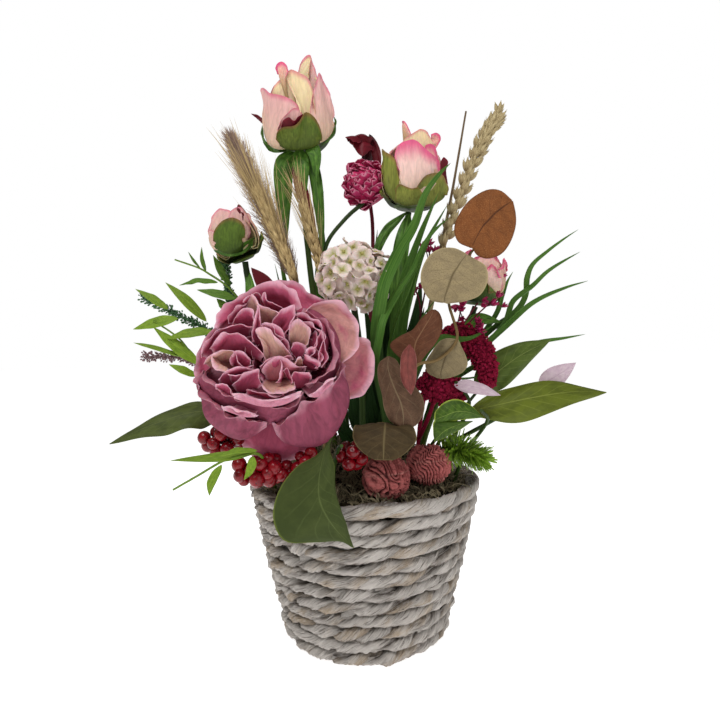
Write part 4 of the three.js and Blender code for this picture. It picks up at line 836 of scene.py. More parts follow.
outerPetals = [
    (0.45, 1.5,  # top, behind
     [-14,45.5,3, -8.5,48.5,3, -3,49.5,2, 2.5,49,2, 7.5,46.5,2, 10.5,42.5,3, 15.5,40,4, 22,38.5,5],
     [-10.5,33,4, -5,35,4, 2,35.5,4, 8.5,34,4, 14,31.5,4]),
    (0.4, -2,  # top
     [-40,25.5,9, -38,31.5,10, -33.5,36.5,12, -26.5,41.5,14, -19,45,15, -8.5,49,16, -2,47.5,17, 4,42,18,
      7.5,35,19],
     [-35.5,24,6, -29.5,31.5,6, -22,37,6, -13.5,40,7, -5.5,39,8, 1.5,36,10, 5,32,13]),
    (0.84, 1.2,  # upper right
     [8.5,32,13, 13,36,11, 20,38,9, 27.5,37.5,8, 32,32,8, 35.5,28,7, 36.5,23.5,8, 37,18.5,8, 35.5,12.5,9,
      33,8.5,10, 27.5,4,12, 25.5,0.5,14],
     [8.5,26.5,10, 12.5,29,8, 18,29.5,7, 23,27.5,6, 25.5,22.5,6, 26,16.5,6, 25,11,8, 23,5.5,10]),
    (0.77, 1.5,  # right
     [32,16,3, 37.5,18,4, 42.5,15,4, 44,10.5,3, 44.5,2,2, 43.5,-4.5,2, 40.5,-9.5,2, 37,-13,3, 30.5,-14.5,5,
      26.5,-12.5,8],
     [25,13.5,4, 28.5,10.5,3, 31,5,2, 31,-0.5,2, 29,-5.5,3, 24.5,-9,5]),
    (0.3, 2,  # bottom
     [-30,-30.5,3, -27.5,-34.5,2, -24,-39,1, -19.5,-44.5,0, -14,-47.5,-1, -7,-48,-1, -1,-45.5,0, 4,-43.5,0,
      8.5,-40.5,1, 12,-36.5,2],
     [-22.5,-26,6, -17.5,-29.5,6, -12.5,-32.5,6, -6,-33.5,6, 0,-32.5,6, 5.5,-29.5,6]),
    (0.35, 1.5,  # left
     [-43.5,-7,6, -49,-5,6, -50.5,-1.5,6, -50.5,3.5,6, -49.5,9,7, -47,15.5,8, -44,20.5,9, -39.5,25.5,10],
     [-40,-4,4, -41,0.5,4, -40.5,6,4, -39,11,4, -36,16.5,4, -32,21.5,5]),
    (0.4, 0,  # lower left bowl
     [-46,3,8, -49.5,-3.5,15, -46.5,-8.5,19, -42,-13,23, -36.5,-16.5,26, -34,-19,27, -27,-21,27,
      -21.5,-22,27, -17,-23,26, -13,-26,23],
     [-44,2,4, -50,-5,8, -48,-12,8, -46.5,-18.5,8, -43,-25,9, -35,-32,10, -27.5,-34.5,12, -20.5,-33,14,
      -13.5,-28,18]),
    (0.25, 1,  # lower bowl
     [-42,5,12, -45.5,0,20, -40,-4.5,25, -35.5,-8.5,27, -31,-10.5,28, -25.5,-12.5,29, -16,-14,30,
      -7.5,-16.5,30, -2.5,-16.5,30, 3.5,-14,29, 6.5,-10,28],
     [-43,4,8, -48.5,-2,12, -44.5,-10.5,14, -38,-17,16, -30.5,-21,17, -20.5,-25,18, -12,-27,19,
      -4.5,-25.5,19, 2.5,-20.5,18, 8.5,-14.5,17]),
    (0.5, 0,  # lower right bowl
     [-10.5,-26,21, -5,-23,24, 1,-18.5,26, 5.5,-14.5,27, 9.5,-11,28, 14.5,-9.5,28, 20,-5.5,27, 23.5,-1,26,
      26,2.5,24, 27,6.5,20],
     [-8.5,-32.5,15, -3.5,-37.5,12, 6,-40,10, 13.5,-39,9, 20,-36,9, 26.5,-28,9, 30,-18,9, 30,-9,10,
      28.5,-1.5,12]),
    (0.35, 1,  # right bowl
     [7.5,-6.5,27, 11.5,-4,28, 15.5,-1.5,29, 19,0.5,29, 22,3.5,28, 24,7.5,27, 23,13.5,26, 21.5,20,25,
      19,25.5,23, 14.5,28.5,21, 9,31,19, 4.5,31.5,18],
     [11.5,-10.5,18, 17,-8,17, 22,-4,16, 25.5,1,14, 27,7.5,12, 26.5,15,11, 24,22.5,10, 20,28.5,9, 14,33,9,
      8,34.5,9]),
]
innerPetals = [
    (0.2, -1,  # right wall
     [8.5,10.5,25, 9.5,13,26, 12.5,13.5,26, 14,16.5,25, 16,20,24, 17,24,23, 14.5,27,21, 10.5,28,20,
      6.5,29,19],
     [10,4.5,17, 12,7,17, 15.5,8.5,16, 17.5,14,15, 19,19,14, 19.5,24,13, 16,27.5,12, 11.5,29.5,12]),
    (0.45, 0.5,  # right fold
     [8,10,26, 10,8,27, 14,6.5,27, 15.5,4,27, 14.5,2,26],
     [6.5,7,19, 8.5,4.5,19, 11.5,2.5,19, 14,1,19]),
    (0.55, 0.6,  # right inner fold
     [13.5,2,25, 15,7,26, 15,11,26, 17,14.5,26, 18.5,18,25, 18,22,23],
     [19,3,18, 20.5,7,17, 20.5,12.5,16, 20.5,16.5,15, 20,21,14]),
    (0.5, 1.2,  # upright
     [-9.5,23.5,21, -8,28.5,23, -5.5,32,25, -2,34.5,26, 3,36,27, 3,31.5,26, 1,26.5,24, -1,23,23,
      -2.5,18.5,21],
     [-8.5,21.5,17, -6.5,21,17, -5.5,20,17, -4,18.5,17]),
    (0.95, 1,  # cream right
     [-0.5,19,21, 0,23.5,23, 2,27,24, 5,28.5,25, 8,27,25, 10,24,25, 11,21,24, 9.5,16.5,22, 7.5,14,21],
     [0.5,14,17, 2.5,13.5,17, 4.5,13,17, 7,12.5,17]),
    (0.4, 0.8,  # small middle
     [0.5,13.5,22, 1.5,15.5,23, 5,16.5,24, 7.5,14.5,23, 7.5,11.5,22],
     [1,9,18, 4,8,18, 6.5,8,18]),
    (0.98, 1.6,  # cream front
     [-12.5,7.5,21, -14,13.5,23, -16,19,26, -17.5,23,28, -14.5,25,28, -10.5,23.5,27, -8,20,26, -4,15.5,26,
      -1,11.5,25, 1.5,7,24],
     [-11,5,17, -8.5,4.5,17, -5,4.5,17, -1,4.5,17]),
    (0.45, 1,  # pink behind it
     [-15,25.5,25, -11.5,26,26, -8.5,25,26, -7.5,21.5,25, -4,19,25, -1,15.5,24, 0,11.5,23],
     [-12.5,17.5,17, -9.5,16,17, -6,13.5,17, -3,11.5,17]),
    (0.75, 1.2,  # middle ridge
     [-15.5,2,24, -12.5,5.5,26, -9,7.5,27, -5.5,9,28, -2.5,8,28, 1,5,27, 4.5,3.5,26, 9,3.5,25],
     [-13,-3,18, -8.5,-3.5,18, -4.5,-2.5,18, 0,-1.5,18, 5,0,18]),
    (0.97, 0.3,  # cream middle
     [1.5,4.5,25, 3.5,7.5,26, 5.5,8.5,26, 6.5,7,25],
     [3,2.5,18, 5,3,18, 6.5,4,18]),
    (0.3, 0.5,  # centre fold left
     [-5.5,8.5,26, -5.5,3.5,26, -6,-1.5,25, -8,-5,24],
     [-3,2.5,17, -3,-0.5,17, -4.5,-4,17]),
    (0.4, 0.4,  # centre fold right
     [-4,1.5,24, -2.5,3,25, -1,-1,25, 1,-3.5,24],
     [-1,-3.5,17, 0,-4,17, 1,-5,17]),
    (0.96, -0.8,  # low cream lip
     [-15.5,-5.5,25, -13.5,-8.5,27, -10.5,-10.5,28, -5.5,-10,28, -1.5,-9.5,27, 2,-8,26, 2,-4.5,24],
     [-13.5,-3,18, -10,-4.5,18, -5.5,-4.5,18, -0.5,-3.5,18]),
    (0.5, 1,  # low right lip
     [1,-5,26, 1,-1.5,27, 2.5,1,28, 5.5,1,28, 9.5,0,27, 11,-3,26],
     [2.5,-8.5,18, 5.5,-8,18, 9,-6.5,18]),
    (0.3, 1.4,  # left fold low
     [-38.5,-2.5,25, -36,-0.5,26, -33.5,2,26, -30,4,26, -26.5,4.5,26, -23,3.5,25, -19.5,2,24],
     [-37,-6,18, -32,-5.5,18, -26.5,-4,18, -21,-3,18]),
    (0.35, 1,  # left fold low 2
     [-31.5,-5.5,26, -27.5,-2,27, -23,1,27, -17,3,27, -16.5,-1,26, -15.5,-6,25],
     [-28,-9.5,19, -23.5,-9.5,19, -18.5,-9,19]),
    (0.55, 0.5,  # low left lip
     [-40.5,-5,27, -36,-4.5,28, -33,-5.5,28, -31.5,-9.5,28, -30.5,-11,27],
     [-38.5,-9.5,20, -35.5,-11,20, -32,-12,20]),
    (0.45, 0.5,  # low mid fold
     [-24,-8.5,26, -22,-7.5,27, -18,-9,28, -13.5,-10.5,28, -9,-12,28, -3.5,-11.5,27],
     [-22,-12.5,20, -16,-13.5,20, -9.5,-14,20, -4,-13.5,20]),
    (0.97, 0.8,  # cream wedge
     [-46.5,6.5,20, -43.5,9.5,22, -39,12,23, -34.5,13,24, -30,13,24, -30.5,9.5,23],
     [-43.5,4.5,15, -39.5,6,15, -35,7,15, -31.5,7,15]),
    (0.96, 0.4,  # cream blade
     [-42.5,9.5,23, -41,6,25, -38,2.5,26, -33.5,1,26],
     [-38.5,8.5,17, -36,5.5,17, -33,3,17]),
    (0.35, 2,  # left swirl high
     [-47.5,9.5,15, -46,15.5,17, -41.5,21,19, -35.5,24.5,20, -29,26,21, -23.5,26,22, -19.5,24.5,22],
     [-42,8.5,11, -39,12.5,11, -35,16.5,11, -29.5,19,11, -24.5,20.5,12, -20.5,20.5,13]),
    (0.5, 1.5,  # left swirl
     [-43,14,19, -39.5,18,21, -35,22.5,23, -30,22,24, -24.5,20.5,25, -19,16,25, -14,10,25],
     [-38,8.5,14, -33.5,11,14, -29,12.5,14, -24,12,15, -19.5,9.5,16, -15.5,6.5,17]),
    (0.3, 0.6,  # left deep fold
     [-31.5,5.5,23, -30.5,10.5,23, -29,12.5,23, -24.5,12,23, -21.5,8.5,23, -21,5.5,22],
     [-29.5,4,16, -26.5,3.5,16, -23,3.5,16]),
    (0.4, 0.5,  # left upright
     [-19,17.5,22, -19.5,23.5,24, -18,30,25, -16.5,36,25, -15.5,31,25, -15,26.5,24],
     [-18,16,17, -16.5,16,17, -15,16.5,17]),
    (0.3, 0.8,  # top left folds
     [-30.5,26,17, -28.5,30,19, -25.5,33.5,20, -22,35.5,21, -19,33.5,22, -18,28.5,22],
     [-26.5,25.5,13, -23.5,26,13, -21,26,14, -19,25,14]),
    (0.96, 0.8,  # cream ridge
     [-20,43,19, -18,41,21, -15.5,38,23, -12.5,35,24, -9,33.5,24, -5,32,24],
     [-22.5,36,13, -19.5,32.5,14, -16,30.5,15, -12,29,16, -8,28,17]),
    (0.5, 0.7,  # top inner
     [-14.5,41,19, -12.5,43,20, -11.5,39.5,22, -8,37.5,22, -5,35.5,22, -2.5,33,21],
     [-12,33,15, -9,33,15, -5.5,33,15, -3.5,31.5,15]),
    (0.35, 0.5,  # top fold
     [-24.5,39,16, -22,41,18, -20,42,19, -17,43,19, -14.5,42,18],
     [-22.5,35.5,11, -20,36,11, -17,36.5,11, -14.5,36.5,11]),
    (0.3, 1,  # top back fold
     [-32.5,27.5,14, -31,32,15, -27,36,16, -22.5,38.5,17],
     [-28,26,9, -26.5,29.5,9, -24,32.5,9, -21.5,34.5,9]),
    (0.35, -0.6,  # upper right fold
     [3,31.5,20, 5,32,22, 9,31,23, 12,28.5,23, 15.5,27,23, 18.5,24.5,22],
     [3.5,26.5,14, 7,26.5,14, 11,25,14, 15.5,23.5,14]),
    (0.55, 0.5,  # right ruffle
     [4,29.5,22, 9,26.5,23, 13.5,25,24, 16.5,21.5,24.5, 18,17,25, 19,12,25.5, 19.5,7,26, 16.5,2.5,26],
     [5.5,23,13, 10,21,13, 14,18.5,14, 15.5,13.5,14, 16,9,15, 14.5,4.5,16]),
    (0.4, 0.5,  # right ruffle, inner
     [13.5,22.5,22, 15,18,23, 13.5,14.5,24, 14.5,10.5,24.5, 17.5,7.5,25, 14.5,4,25],
     [10,19.5,13, 10.5,15,14, 11,10.5,15, 11.5,6,16]),
    (0.5, 0.3,  # right ruffle, low
     [8.5,12.5,24, 11.5,13.5,25, 13.5,11,25.5, 11,8.5,25.5, 13,6.5,26, 15.5,4,26],
     [8,9.5,16, 9,7.5,16, 10,5.5,16, 11.5,3.5,16]),
    (0.5, 0.5,  # middle crest
     [-16.5,4.5,25, -12.5,7,26, -7,8,27, -2.5,9.5,27, 1,7.5,26],
     [-14.5,0,18, -9.5,1,18, -5,2,18, -0.5,3,18]),
    (0.45, 0.5,  # left crest
     [-33.5,0.5,26, -27.5,0,27, -22,1.5,27, -17,2.5,26],
     [-31.5,-4,19, -25.5,-5,19, -19,-4.5,19]),
    (0.4, 0.5,  # left well
     [-30,12.5,22, -28.5,11,23, -27,6,24, -24,4.5,24, -19.5,5,23],
     [-29.5,5,16, -26.5,2.5,16, -22,1.5,16]),
    (0.5, 0.5,  # top crest
     [-14.5,26,25, -13,27,26, -8,26,27, -3.5,22,27, -2.5,18.5,26],
     [-14,19,18, -11,16.5,18, -7,15.5,18]),
]
lipPetals = [  # the pale rolled lips of the bowls
    (0.4, 0.3, [-31.5,-10,30, -26,-9.5,31, -20,-12,32, -13.5,-13.5,32.5, -6.5,-13,32.5, 0,-11,32,
                6,-9.5,30.5],
     [-30.5,-12.5,30, -25,-14.5,30.5, -17,-17,31, -9,-17.5,31, -2,-16,31, 5,-12.5,30]),
    (0.4, 0.3, [-37.5,-16.5,28, -32.5,-16.5,29, -28.5,-19,29.5, -23,-19.5,29.5, -17.5,-22,28.5],
     [-35.5,-19,27, -31.5,-20.5,28, -26,-22.5,28.5, -19.5,-23,28]),
    (0.4, 0.3, [9.5,-12,28, 12.5,-10,29, 17,-6.5,29.5, 20.5,-3.5,29.5, 24.5,-2,29],
     [10,-13,27.5, 14.5,-13,28, 18.5,-9.5,28, 22.5,-6,28]),
]


def drawnPetal(shape, at, rim, base, foot, tone, swell, deep, seed, rows=22, columns=44, curl=0.0,
               heart=None, ruffle=0.5, folds=0.7, thick=0.42):
    # curl rolls the edge outwards, away from the heart of the bloom
    u, v = np.linspace(0, 1, columns + 1), np.linspace(0, 1, rows + 1)
    edge, low = (splineAt(inFront(line, at), u) for line in (rim, base))
    bent = splineAt(np.stack([foot + (low - foot) * 0.12, low, edge]), v)
    normal = unit(np.cross(np.gradient(bent, axis=0), np.gradient(bent, axis=1)))
    w = np.clip(v * 2 - 1, 0, 1)[:, None]
    broad, fine, lips = waves(seed, 6, 1, 4), waves(seed + 70, 9, 9, 26), waves(seed + 140, 7, 5, 15)
    span = np.linalg.norm(np.diff(edge, axis=0), axis=-1).sum() / 30 * u
    lift = swell * np.sin(math.pi * w) + folds * broad(3 * span, 2 * w) * np.sin(math.pi * w) ** 0.5
    lift = lift + ruffle * w**3 * lips(2 * span, 0.6 * w) + 0.1 * fine(3 * span, 0.5 * w) * w
    points = bent + normal * lift[..., None]
    if curl:
        away = unit((edge - heart) * [1, 0, 1])
        ends = smooth(0, 0.1, u) * smooth(1, 0.9, u)
        roll = 0.75 * smooth(0.68, 1, w) ** 1.3 - 0.45 * smooth(0.2, 0.7, w) * smooth(1, 0.8, w)
        roll = curl * ends * roll * (1 + 0.6 * lips(1.6 * span, 0))
        points = points + away * roll[..., None]
    shape.sheet(points, thick, tone, (1 - w) * deep + 0 * u)


def makePeony():
    bloom, bowls, lips = Shape(), Shape(), Shape()
    at, random = peony["at"], np.random.default_rng(4)
    foot, heart = inFront([peony["foot"], peony["heart"]], at)
    innerCurls = [peony["innerCurl"]] * len(innerPetals)
    # deep paints each petal's foot with the heart colour, more so inside the bloom: partly the real
    # raspberry heart, partly painted shade
    for petals, deep, curls in ((outerPetals, 0.22, outerCurls), (innerPetals, 0.75, innerCurls)):
        for k, (tone, swell, edge, low) in enumerate(petals):
            shape = bowls if petals is outerPetals and k >= firstBowl else bloom
            drawnPetal(shape, at, edge, low, foot, tone, swell, deep, 11 + 7 * k + round(90 * deep),
                       curl=curls[k], heart=heart)
    # folded petals low in the heart, which fill the gaps between the drawn ones; their dark heart colour is
    # partly painted shade
    for ring, (count, radius, height) in enumerate(heartRings):
        for k in range(count):
            reach = np.linspace(-1, 1, 7) * (36 + 5 * ring)
            arc = np.radians(360 / count * k + 37 * ring + reach + random.uniform(-9, 9))
            size = radius * (1 + random.uniform(-0.12, 0.12, 7))
            rise = height + random.uniform(-2.5, 1.5, 7)
            rim, low = (np.stack([x * np.cos(arc) - 6, x * np.sin(arc) + 7, z], -1)
                        for x, z in ((size, rise), (0.8 * size, rise * 0.5)))
            drawnPetal(bloom, at, rim, low, foot, random.random(), 0.5, 0.9, 400 + 20 * ring + k, 10, 22)
    for k, (tone, swell, edge, low) in enumerate(lipPetals):
        drawnPetal(lips, at, edge, low, foot, tone, swell, 0.3, 900 + k, curl=peony["lipCurl"], heart=heart)
    for shape, name, finish, *nodes in ((bloom, "peony_bloom", peonyFinish, "peony_petals"),
                                        (bowls, "peony_bowls", shadedBowlFinish),
                                        (lips, "peony_lips", lipFinish)):
        shape.build(name, finish, *nodes, slot="peony_petal", sharp=80)
    green = Shape()
    lathe(green, [(0.3, -3), (5, -2), (8, 2), (8.6, 4.5), (7.5, 5.5), (0.3, 5)], 24,
          matrix=towards((-0.06, -1, 0.03), (-36.5, -48, 161.8)))
    stem(green, [-36.5,-49,161.8, -34,-38,148, -28,-26,112, -24,-19,44], 2.5)
    green.build("peony_stalk", greenStem, "peony_stem", slot="stem")


makePeony()
print("peony")


# Buds: petals drawn like the peony's where the viewer sees them, and petals wrapped round an egg behind.
# A row of budPetals holds the petal's look, how far its middle swells, its edge and its lower line, from
# the bud's foot.

buds = {
    "bud_top": {"at": (-35, 8, 308), "towards": (0.02, -0.1, 1), "radius": 19.5, "height": 54, "seed": 3},
    "bud_right": {"at": (35, -2, 265), "towards": (0.14, -0.12, 1), "radius": 17, "height": 44, "seed": 5},
    "bud_left": {"at": (-69, -19, 233), "towards": (-0.35, -0.4, 1), "radius": 12, "height": 26, "seed": 8},
    "bud_back": {"at": (78, 5, 204), "towards": (0.15, -0.1, 1), "radius": 14, "height": 33, "seed": 9},
}
budCore = ((0, 0.05), (0.45, 0.12), (0.66, 0.4), (0.58, 0.6), (0.35, 0.78), (0, 0.86))
cupPolar = math.pi - 0.45  # where the sepals' cup ends, as an angle from the bud's tip
sepalLift = 2.4
budFinish = material("bud_silk", petalGroup, {
    "Heart": "#c3bb88", "Body": "#d9a6a4", "Tint": "#e0cb9e", "Rim": "#c5406f", "Heart Reach": 1.1,
    "Rim Width": 0.04, "Rim Share": 0.62, "Tip Share": 0.7, "Depth Share": 0.5, "Tint Share": 0.95,
}, bump=0.7, distance=0.0008, **silk)
rosyFinish = material("rosy_silk", petalGroup, {
    "Heart": "#8f8a42", "Body": "#e8c0b8", "Tint": "#d98c7c", "Rim": "#cf2f74", "Heart Reach": 0.95,
    "Rim Width": 0.1, "Rim Share": 0.85, "Tip Share": 0.55, "Depth Share": 0.5, "Tint Share": 0.6,
}, bump=0.7, distance=0.0008, **silk)
sepalFinish = material("sepal_silk", petalGroup, {
    "Heart": "#1c2e0c", "Body": "#546b21", "Tint": "#8f8f40", "Rim": "#8c4a3c", "Heart Reach": 1.2,
    "Rim Width": 0.05, "Rim Share": 0.5, "Tip Share": 0.7, "Depth Share": 0.6, "Tint Share": 0.8,
    "Streaks": 0.1, "Crease Shade": 0.2,
}, roughness=0.55, bump=0.5, distance=0.0006)
wineFinish = material("wine_silk", petalGroup, {
    "Heart": "#23050d", "Body": "#590916", "Tint": "#741328", "Rim": "#842036", "Heart Reach": 0.4,
    "Rim Width": 0.05, "Rim Share": 0.5, "Tip Share": 0.7, "Depth Share": 0.5, "Tint Share": 0.5,
}, roughness=0.5, bump=0.35)
budLooks = {  # the piece a drawn petal belongs to, and its tone
    "pink": ("bloom", 0.3), "rosy": ("rosy", 0.3), "salmon": ("rosy", 0.95), "cream": ("bloom", 0.97),
    "sepal": ("sepals", 0.75), "sepalPale": ("sepals", 0.95), "sepalRed": ("sepals", 0.2),
    "sepalDark": ("leaves", 0.2), "wine": ("flecks", 0.5),
}
budPetals = {
    "bud_top": [
        ("pink", 1,  # back peak
         [-1,48.5,-2, 0.5,54.5,-1, 3,60.5,0, 8,63.5,0, 9.5,59.5,0, 11.5,53,-1, 13.5,45,-2, 15,38.5,-3],
         [-2.5,30,-2, 1.5,32,0, 7,32,0, 13,30,-2]),
        ("cream", 0.5,  # back peak lining
         [1,53,0, 2.5,58,1, 6,61.5,2, 8.5,62.5,2, 8,57.5,2, 7,52,2],
         [0,45.5,1, 3,46.5,2, 6.5,46,2]),
        ("pink", 1.5,  # right
         [8.5,33.5,15, 9.5,38.5,13, 11.5,44.5,11, 14,51.5,9, 16,47,7, 19.5,40,5, 22,31.5,3, 23.5,23,2],
         [6,16.5,15, 12.5,9,13, 16.5,7.5,10, 20.5,10.5,5, 23,16,2]),
        ("cream", 1,  # middle
         [-18.5,37.5,8, -17,42,10, -14.5,45.5,11, -10.5,49,12, -7,53,12, -4.5,54,12, 0,52,12, 5.5,49,11,
          8,44.5,11, 9.5,38.5,13, 9,32,15],
         [-14,23,8, -10.5,17,9, -3,13,10, 4.5,13,11, 9.5,18.5,12]),
        ("cream", 0.3,  # middle ridge
         [-7.5,48,13, -6,42.5,16, -3,36,18.5, -1,30,20, 1,24.5,21],
         [-6,46.5,12, -4,41,14, -1.5,35,17, 1,29,18.5]),
        ("salmon", 1.2,  # curled tip
         [-14,51,12, -15,55.5,14, -13.5,58.5,15, -10.5,59.5,15, -8,57.5,15, -6.5,53,14],
         [-12.5,48,13, -11.5,47.5,14, -10,47,14, -8.5,47.5,14]),
        ("pink", 2,  # left
         [-25.5,40,6, -24.5,42.5,8, -22,41.5,10, -19.5,39,12, -15.5,38,14, -10,36.5,16, -3.5,33,18,
          1,27,19],
         [-24.5,23,1, -23.5,11.5,3, -20,4,8, -13.5,3,12, -8.5,11.5,14]),
        ("pink", 0.8,  # left overlap
         [-14.5,16,18, -12,21,19, -8,25,20, -3.5,28.5,20.5, 0,27.5,20.5, 2,23.5,21],
         [-13.5,9.5,13, -9.5,9.5,14, -5,9.5,14, 0,9,14]),
        ("wine", 0.4,  # notched flap
         [-12.5,16,20, -10.5,20.5,21, -7,22.5,21.5, -3.5,20,22, -1,22.5,22, 2.5,24.5,22],
         [-13.5,8,14, -8.5,7,14, -3,7,14, 2,8,14]),
        ("sepal", 1,  # front sepal
         [-16,8.5,19, -14.5,13.5,21, -10.5,16,22, -4.5,16.5,23, 0,19.5,23.5, 4,25.5,23.5, 9,23,22.5,
          12.5,17.5,20, 14.5,10.5,16, 14.5,6.5,13],
         [-13.5,3.5,14, -9,1.5,14, -3,1,14, 3.5,1.5,13, 9,2.5,12, 13,4,10]),
        ("sepalDark", 1,  # left sepal
         [-25,17.5,-1, -26,13.5,0, -25.5,10,1, -24,6,2, -20.5,3,7],
         [-24,5,-2, -20.5,0.5,0, -16.5,-0.5,2, -13,-0.5,4]),
        ("sepalDark", 1,  # right sepal
         [23,22,1, 24.5,19.5,0, 23.5,14.5,0, 21,10.5,2, 18.5,7.5,4],
         [22,8.5,-3, 18,6,0, 14,4,3, 11,3,5]),
        ("wine", 0.2,  # left spike
         [-24.5,19,0, -27.5,22.5,0, -32,25.5,0, -28.5,24.5,0, -24.5,22.5,0],
         [-23,15.5,1, -22.5,17.5,1, -22.5,19.5,1]),
    ],
    "bud_right": [
        ("cream", 1,  # back
         [-4.5,39.5,6, -2,44,7, 2,47,8, 6,49.5,8, 9.5,50.5,8, 12.5,49,8, 15,45.5,7, 17,41,5],
         [-2.5,28.5,8, 3.5,28,10, 9.5,28,10, 15.5,28,6]),
        ("salmon", 1,  # right inner
         [11.5,40,11, 15,41,10, 17.5,39,8, 19,33.5,6, 20.5,28,4, 21,23.5,3],
         [11,25,12, 14.5,22,11, 18,19,8, 21,17.5,4]),
        ("salmon", 1,  # right curl
         [15.5,47,7, 18.5,48,8, 21,46.5,8, 21.5,43.5,8, 20,40.5,7, 18,37.5,6],
         [14.5,40.5,6, 15,39,6, 15.5,37.5,6]),
        ("rosy", 2.2,  # front
         [-7.5,25.5,11, -8.5,31.5,11, -7.5,37.5,12, -4.5,41.5,13, -0.5,43.5,14, 3.5,44,15, 7.5,42,15.5,
          11.5,38,15.5, 15.5,34.5,14, 19,30,11, 20.5,24,7],
         [-6.5,19,13, -4.5,13,15, 1,9,16, 7.5,9,15, 14,11.5,13, 19.5,17.5,8]),
        ("sepalPale", 1.2,  # left sepal
         [-17,22,2, -17,27.5,3, -16,32.5,5, -16.5,38.5,6, -14,36.5,8, -11,34.5,10, -8,31,12, -7,25.5,14,
          -6,19.5,15, -3,12,16],
         [-16.5,17,3, -15,12,6, -12.5,8,9, -8.5,4,12, -4,3,13]),
        ("sepalPale", 1,  # low front
         [-9,12,15.5, -6,15.5,17.5, -2,14,18.5, 2,12.5,19.5, 6,13,20, 9,9,19],
         [-8,4,13.5, -3,2,14.5, 3,2,15, 8,3,15]),
        ("sepalPale", 2.5,  # right sepal
         [3,8.5,17, 6,14,18, 10.5,20,18, 16,22,16, 21,21.5,11, 24,17.5,7, 25.5,13,3, 25,7.5,2],
         [3,3.5,15, 8.5,1.5,13, 14.5,1.5,11, 20,4,8, 23,6.5,4]),
        ("salmon", 0.2,  # stray thread above
         [-3,56,6, -1.5,56,6, 1.5,50.5,7, 3.5,45,7],
         [-3,52,5, -1,49,6, 1,44,6]),
        ("wine", 0.5,  # right tip
         [21,25,4, 21.5,29.5,4, 23,32,4, 26,29,3, 24.5,24.5,2, 25.5,14.5,1],
         [21,20.5,3, 21.5,17.5,2, 22.5,14.5,1]),
        ("sepalDark", 1,  # underside
         [-13,10,5, -9,8.5,10, -3,6,13, 3,3.5,13, 8.5,1,10],
         [-12,6.5,3, -7.5,4,6, -2.5,2,8, 3,1,8, 7,0.5,6]),
    ],
    "bud_left": [
        ("pink", 1,  # left
         [-21,16,2, -19,21.5,3, -18,25.5,4, -14,29.5,5, -9.5,29,6, -6,27.5,7, -5,24,8],
         [-20.5,11.5,3, -17.5,13,6, -13,15.5,9, -8.5,16.5,10]),
        ("pink", 0.6,  # low left
         [-20.5,17,5, -17.5,16,8, -16,11.5,9, -15,5.5,8],
         [-20.5,11.5,3, -19.5,8,4, -17,4.5,5, -14,3.5,6]),
        ("pink", 1.2,  # right
         [-8,25,8, -5.5,29,8, -1.5,30.5,8, 2,27.5,7, 4.5,22.5,5, 5,16,3, 4,11.5,2],
         [-6,14,9, -2.5,12,9, 1.5,9,6, 3.5,7.5,3]),
        ("wine", 0.3,  # tip
         [-3,29,8, -2,32,8, 0.5,30,8, 3.5,26,6],
         [-2,26,7, 0.5,25,7, 2,24,6]),
        ("sepalRed", 1.6,  # front sepal
         [-18,10,10, -17.5,15,12, -14.5,20,14, -10.5,23,15, -5.5,24,15, -0.5,21.5,14, 2,16.5,11,
          1.5,11.5,9],
         [-17,7,9, -14,4,10, -8,3,11, -2.5,5.5,10, 0.5,8.5,9]),
        ("sepalDark", 1,  # under sepal
         [-18,7,8, -14,4,9, -8,3.5,10, -2,6,9, 1.5,9,7, 8,11.5,1],
         [-17,3.5,4, -12.5,1.5,5, -7.5,0.5,6, 0,2,5, 6,6.5,1]),
    ],
}


def eggPoint(bud, polar, around, lift):
    ring = np.sin(polar) * (1 - 0.16 * np.cos(polar))
    radius = bud["radius"] * ring + lift * np.maximum(0, np.sin(polar)) ** 0.5
    height = (1 + np.cos(polar)) * (bud["height"] / 2) + lift * np.cos(polar)
    return np.stack(np.broadcast_arrays(radius * np.cos(around), radius * np.sin(around), height), -1)


def eggPetal(shape, bud, around, top, span, lift, flare, seed, tone, foot=-5.0, tilt=0.9, point=0.0,
             curl=0.8, ruffle=0.5):
    # A petal that wraps a bud from its cup up. top is how far it reaches, and lift how far out it lies.
    s, t = np.linspace(0, 1, 21)[:, None], np.linspace(-1, 1, 23)[None]
    outline = 1 - 0.42 * np.clip((s - 0.6) / 0.4, 0, 1) ** 2
    half = np.radians(span) * outline * np.maximum(1 - point * s**2, 0.03)
    half = half * (1 - 0.25 * smooth(0.86, 1.0, s))
    polar = cupPolar + (math.pi * top - cupPolar) * s + 0.2 * s**2 * t**2 * (1 + 0.8 * smooth(0.8, 1, s))
    lips, lines = waves(seed, 6, 1.5, 5), waves(seed + 30, 8, 8, 20)
    away = lift + flare * s**3 + tilt * t * np.minimum(1, 2 * s) + curl * smooth(0.78, 1.0, s) ** 2
    away = away + ruffle * s**2 * lips(3 * t, 2 * s) + 0.25 * lines(1.5 * t, 0.25 * s) * (0.3 + 0.7 * s)
    away = away + (foot - lift) * (1 - smooth(0, 0.14, s))
    points = eggPoint(bud, polar, np.radians(around) + t * half, away)
    shape.sheet(points[:, ::-1], 0.6, tone, (1 - s + 0 * t) ** 3)


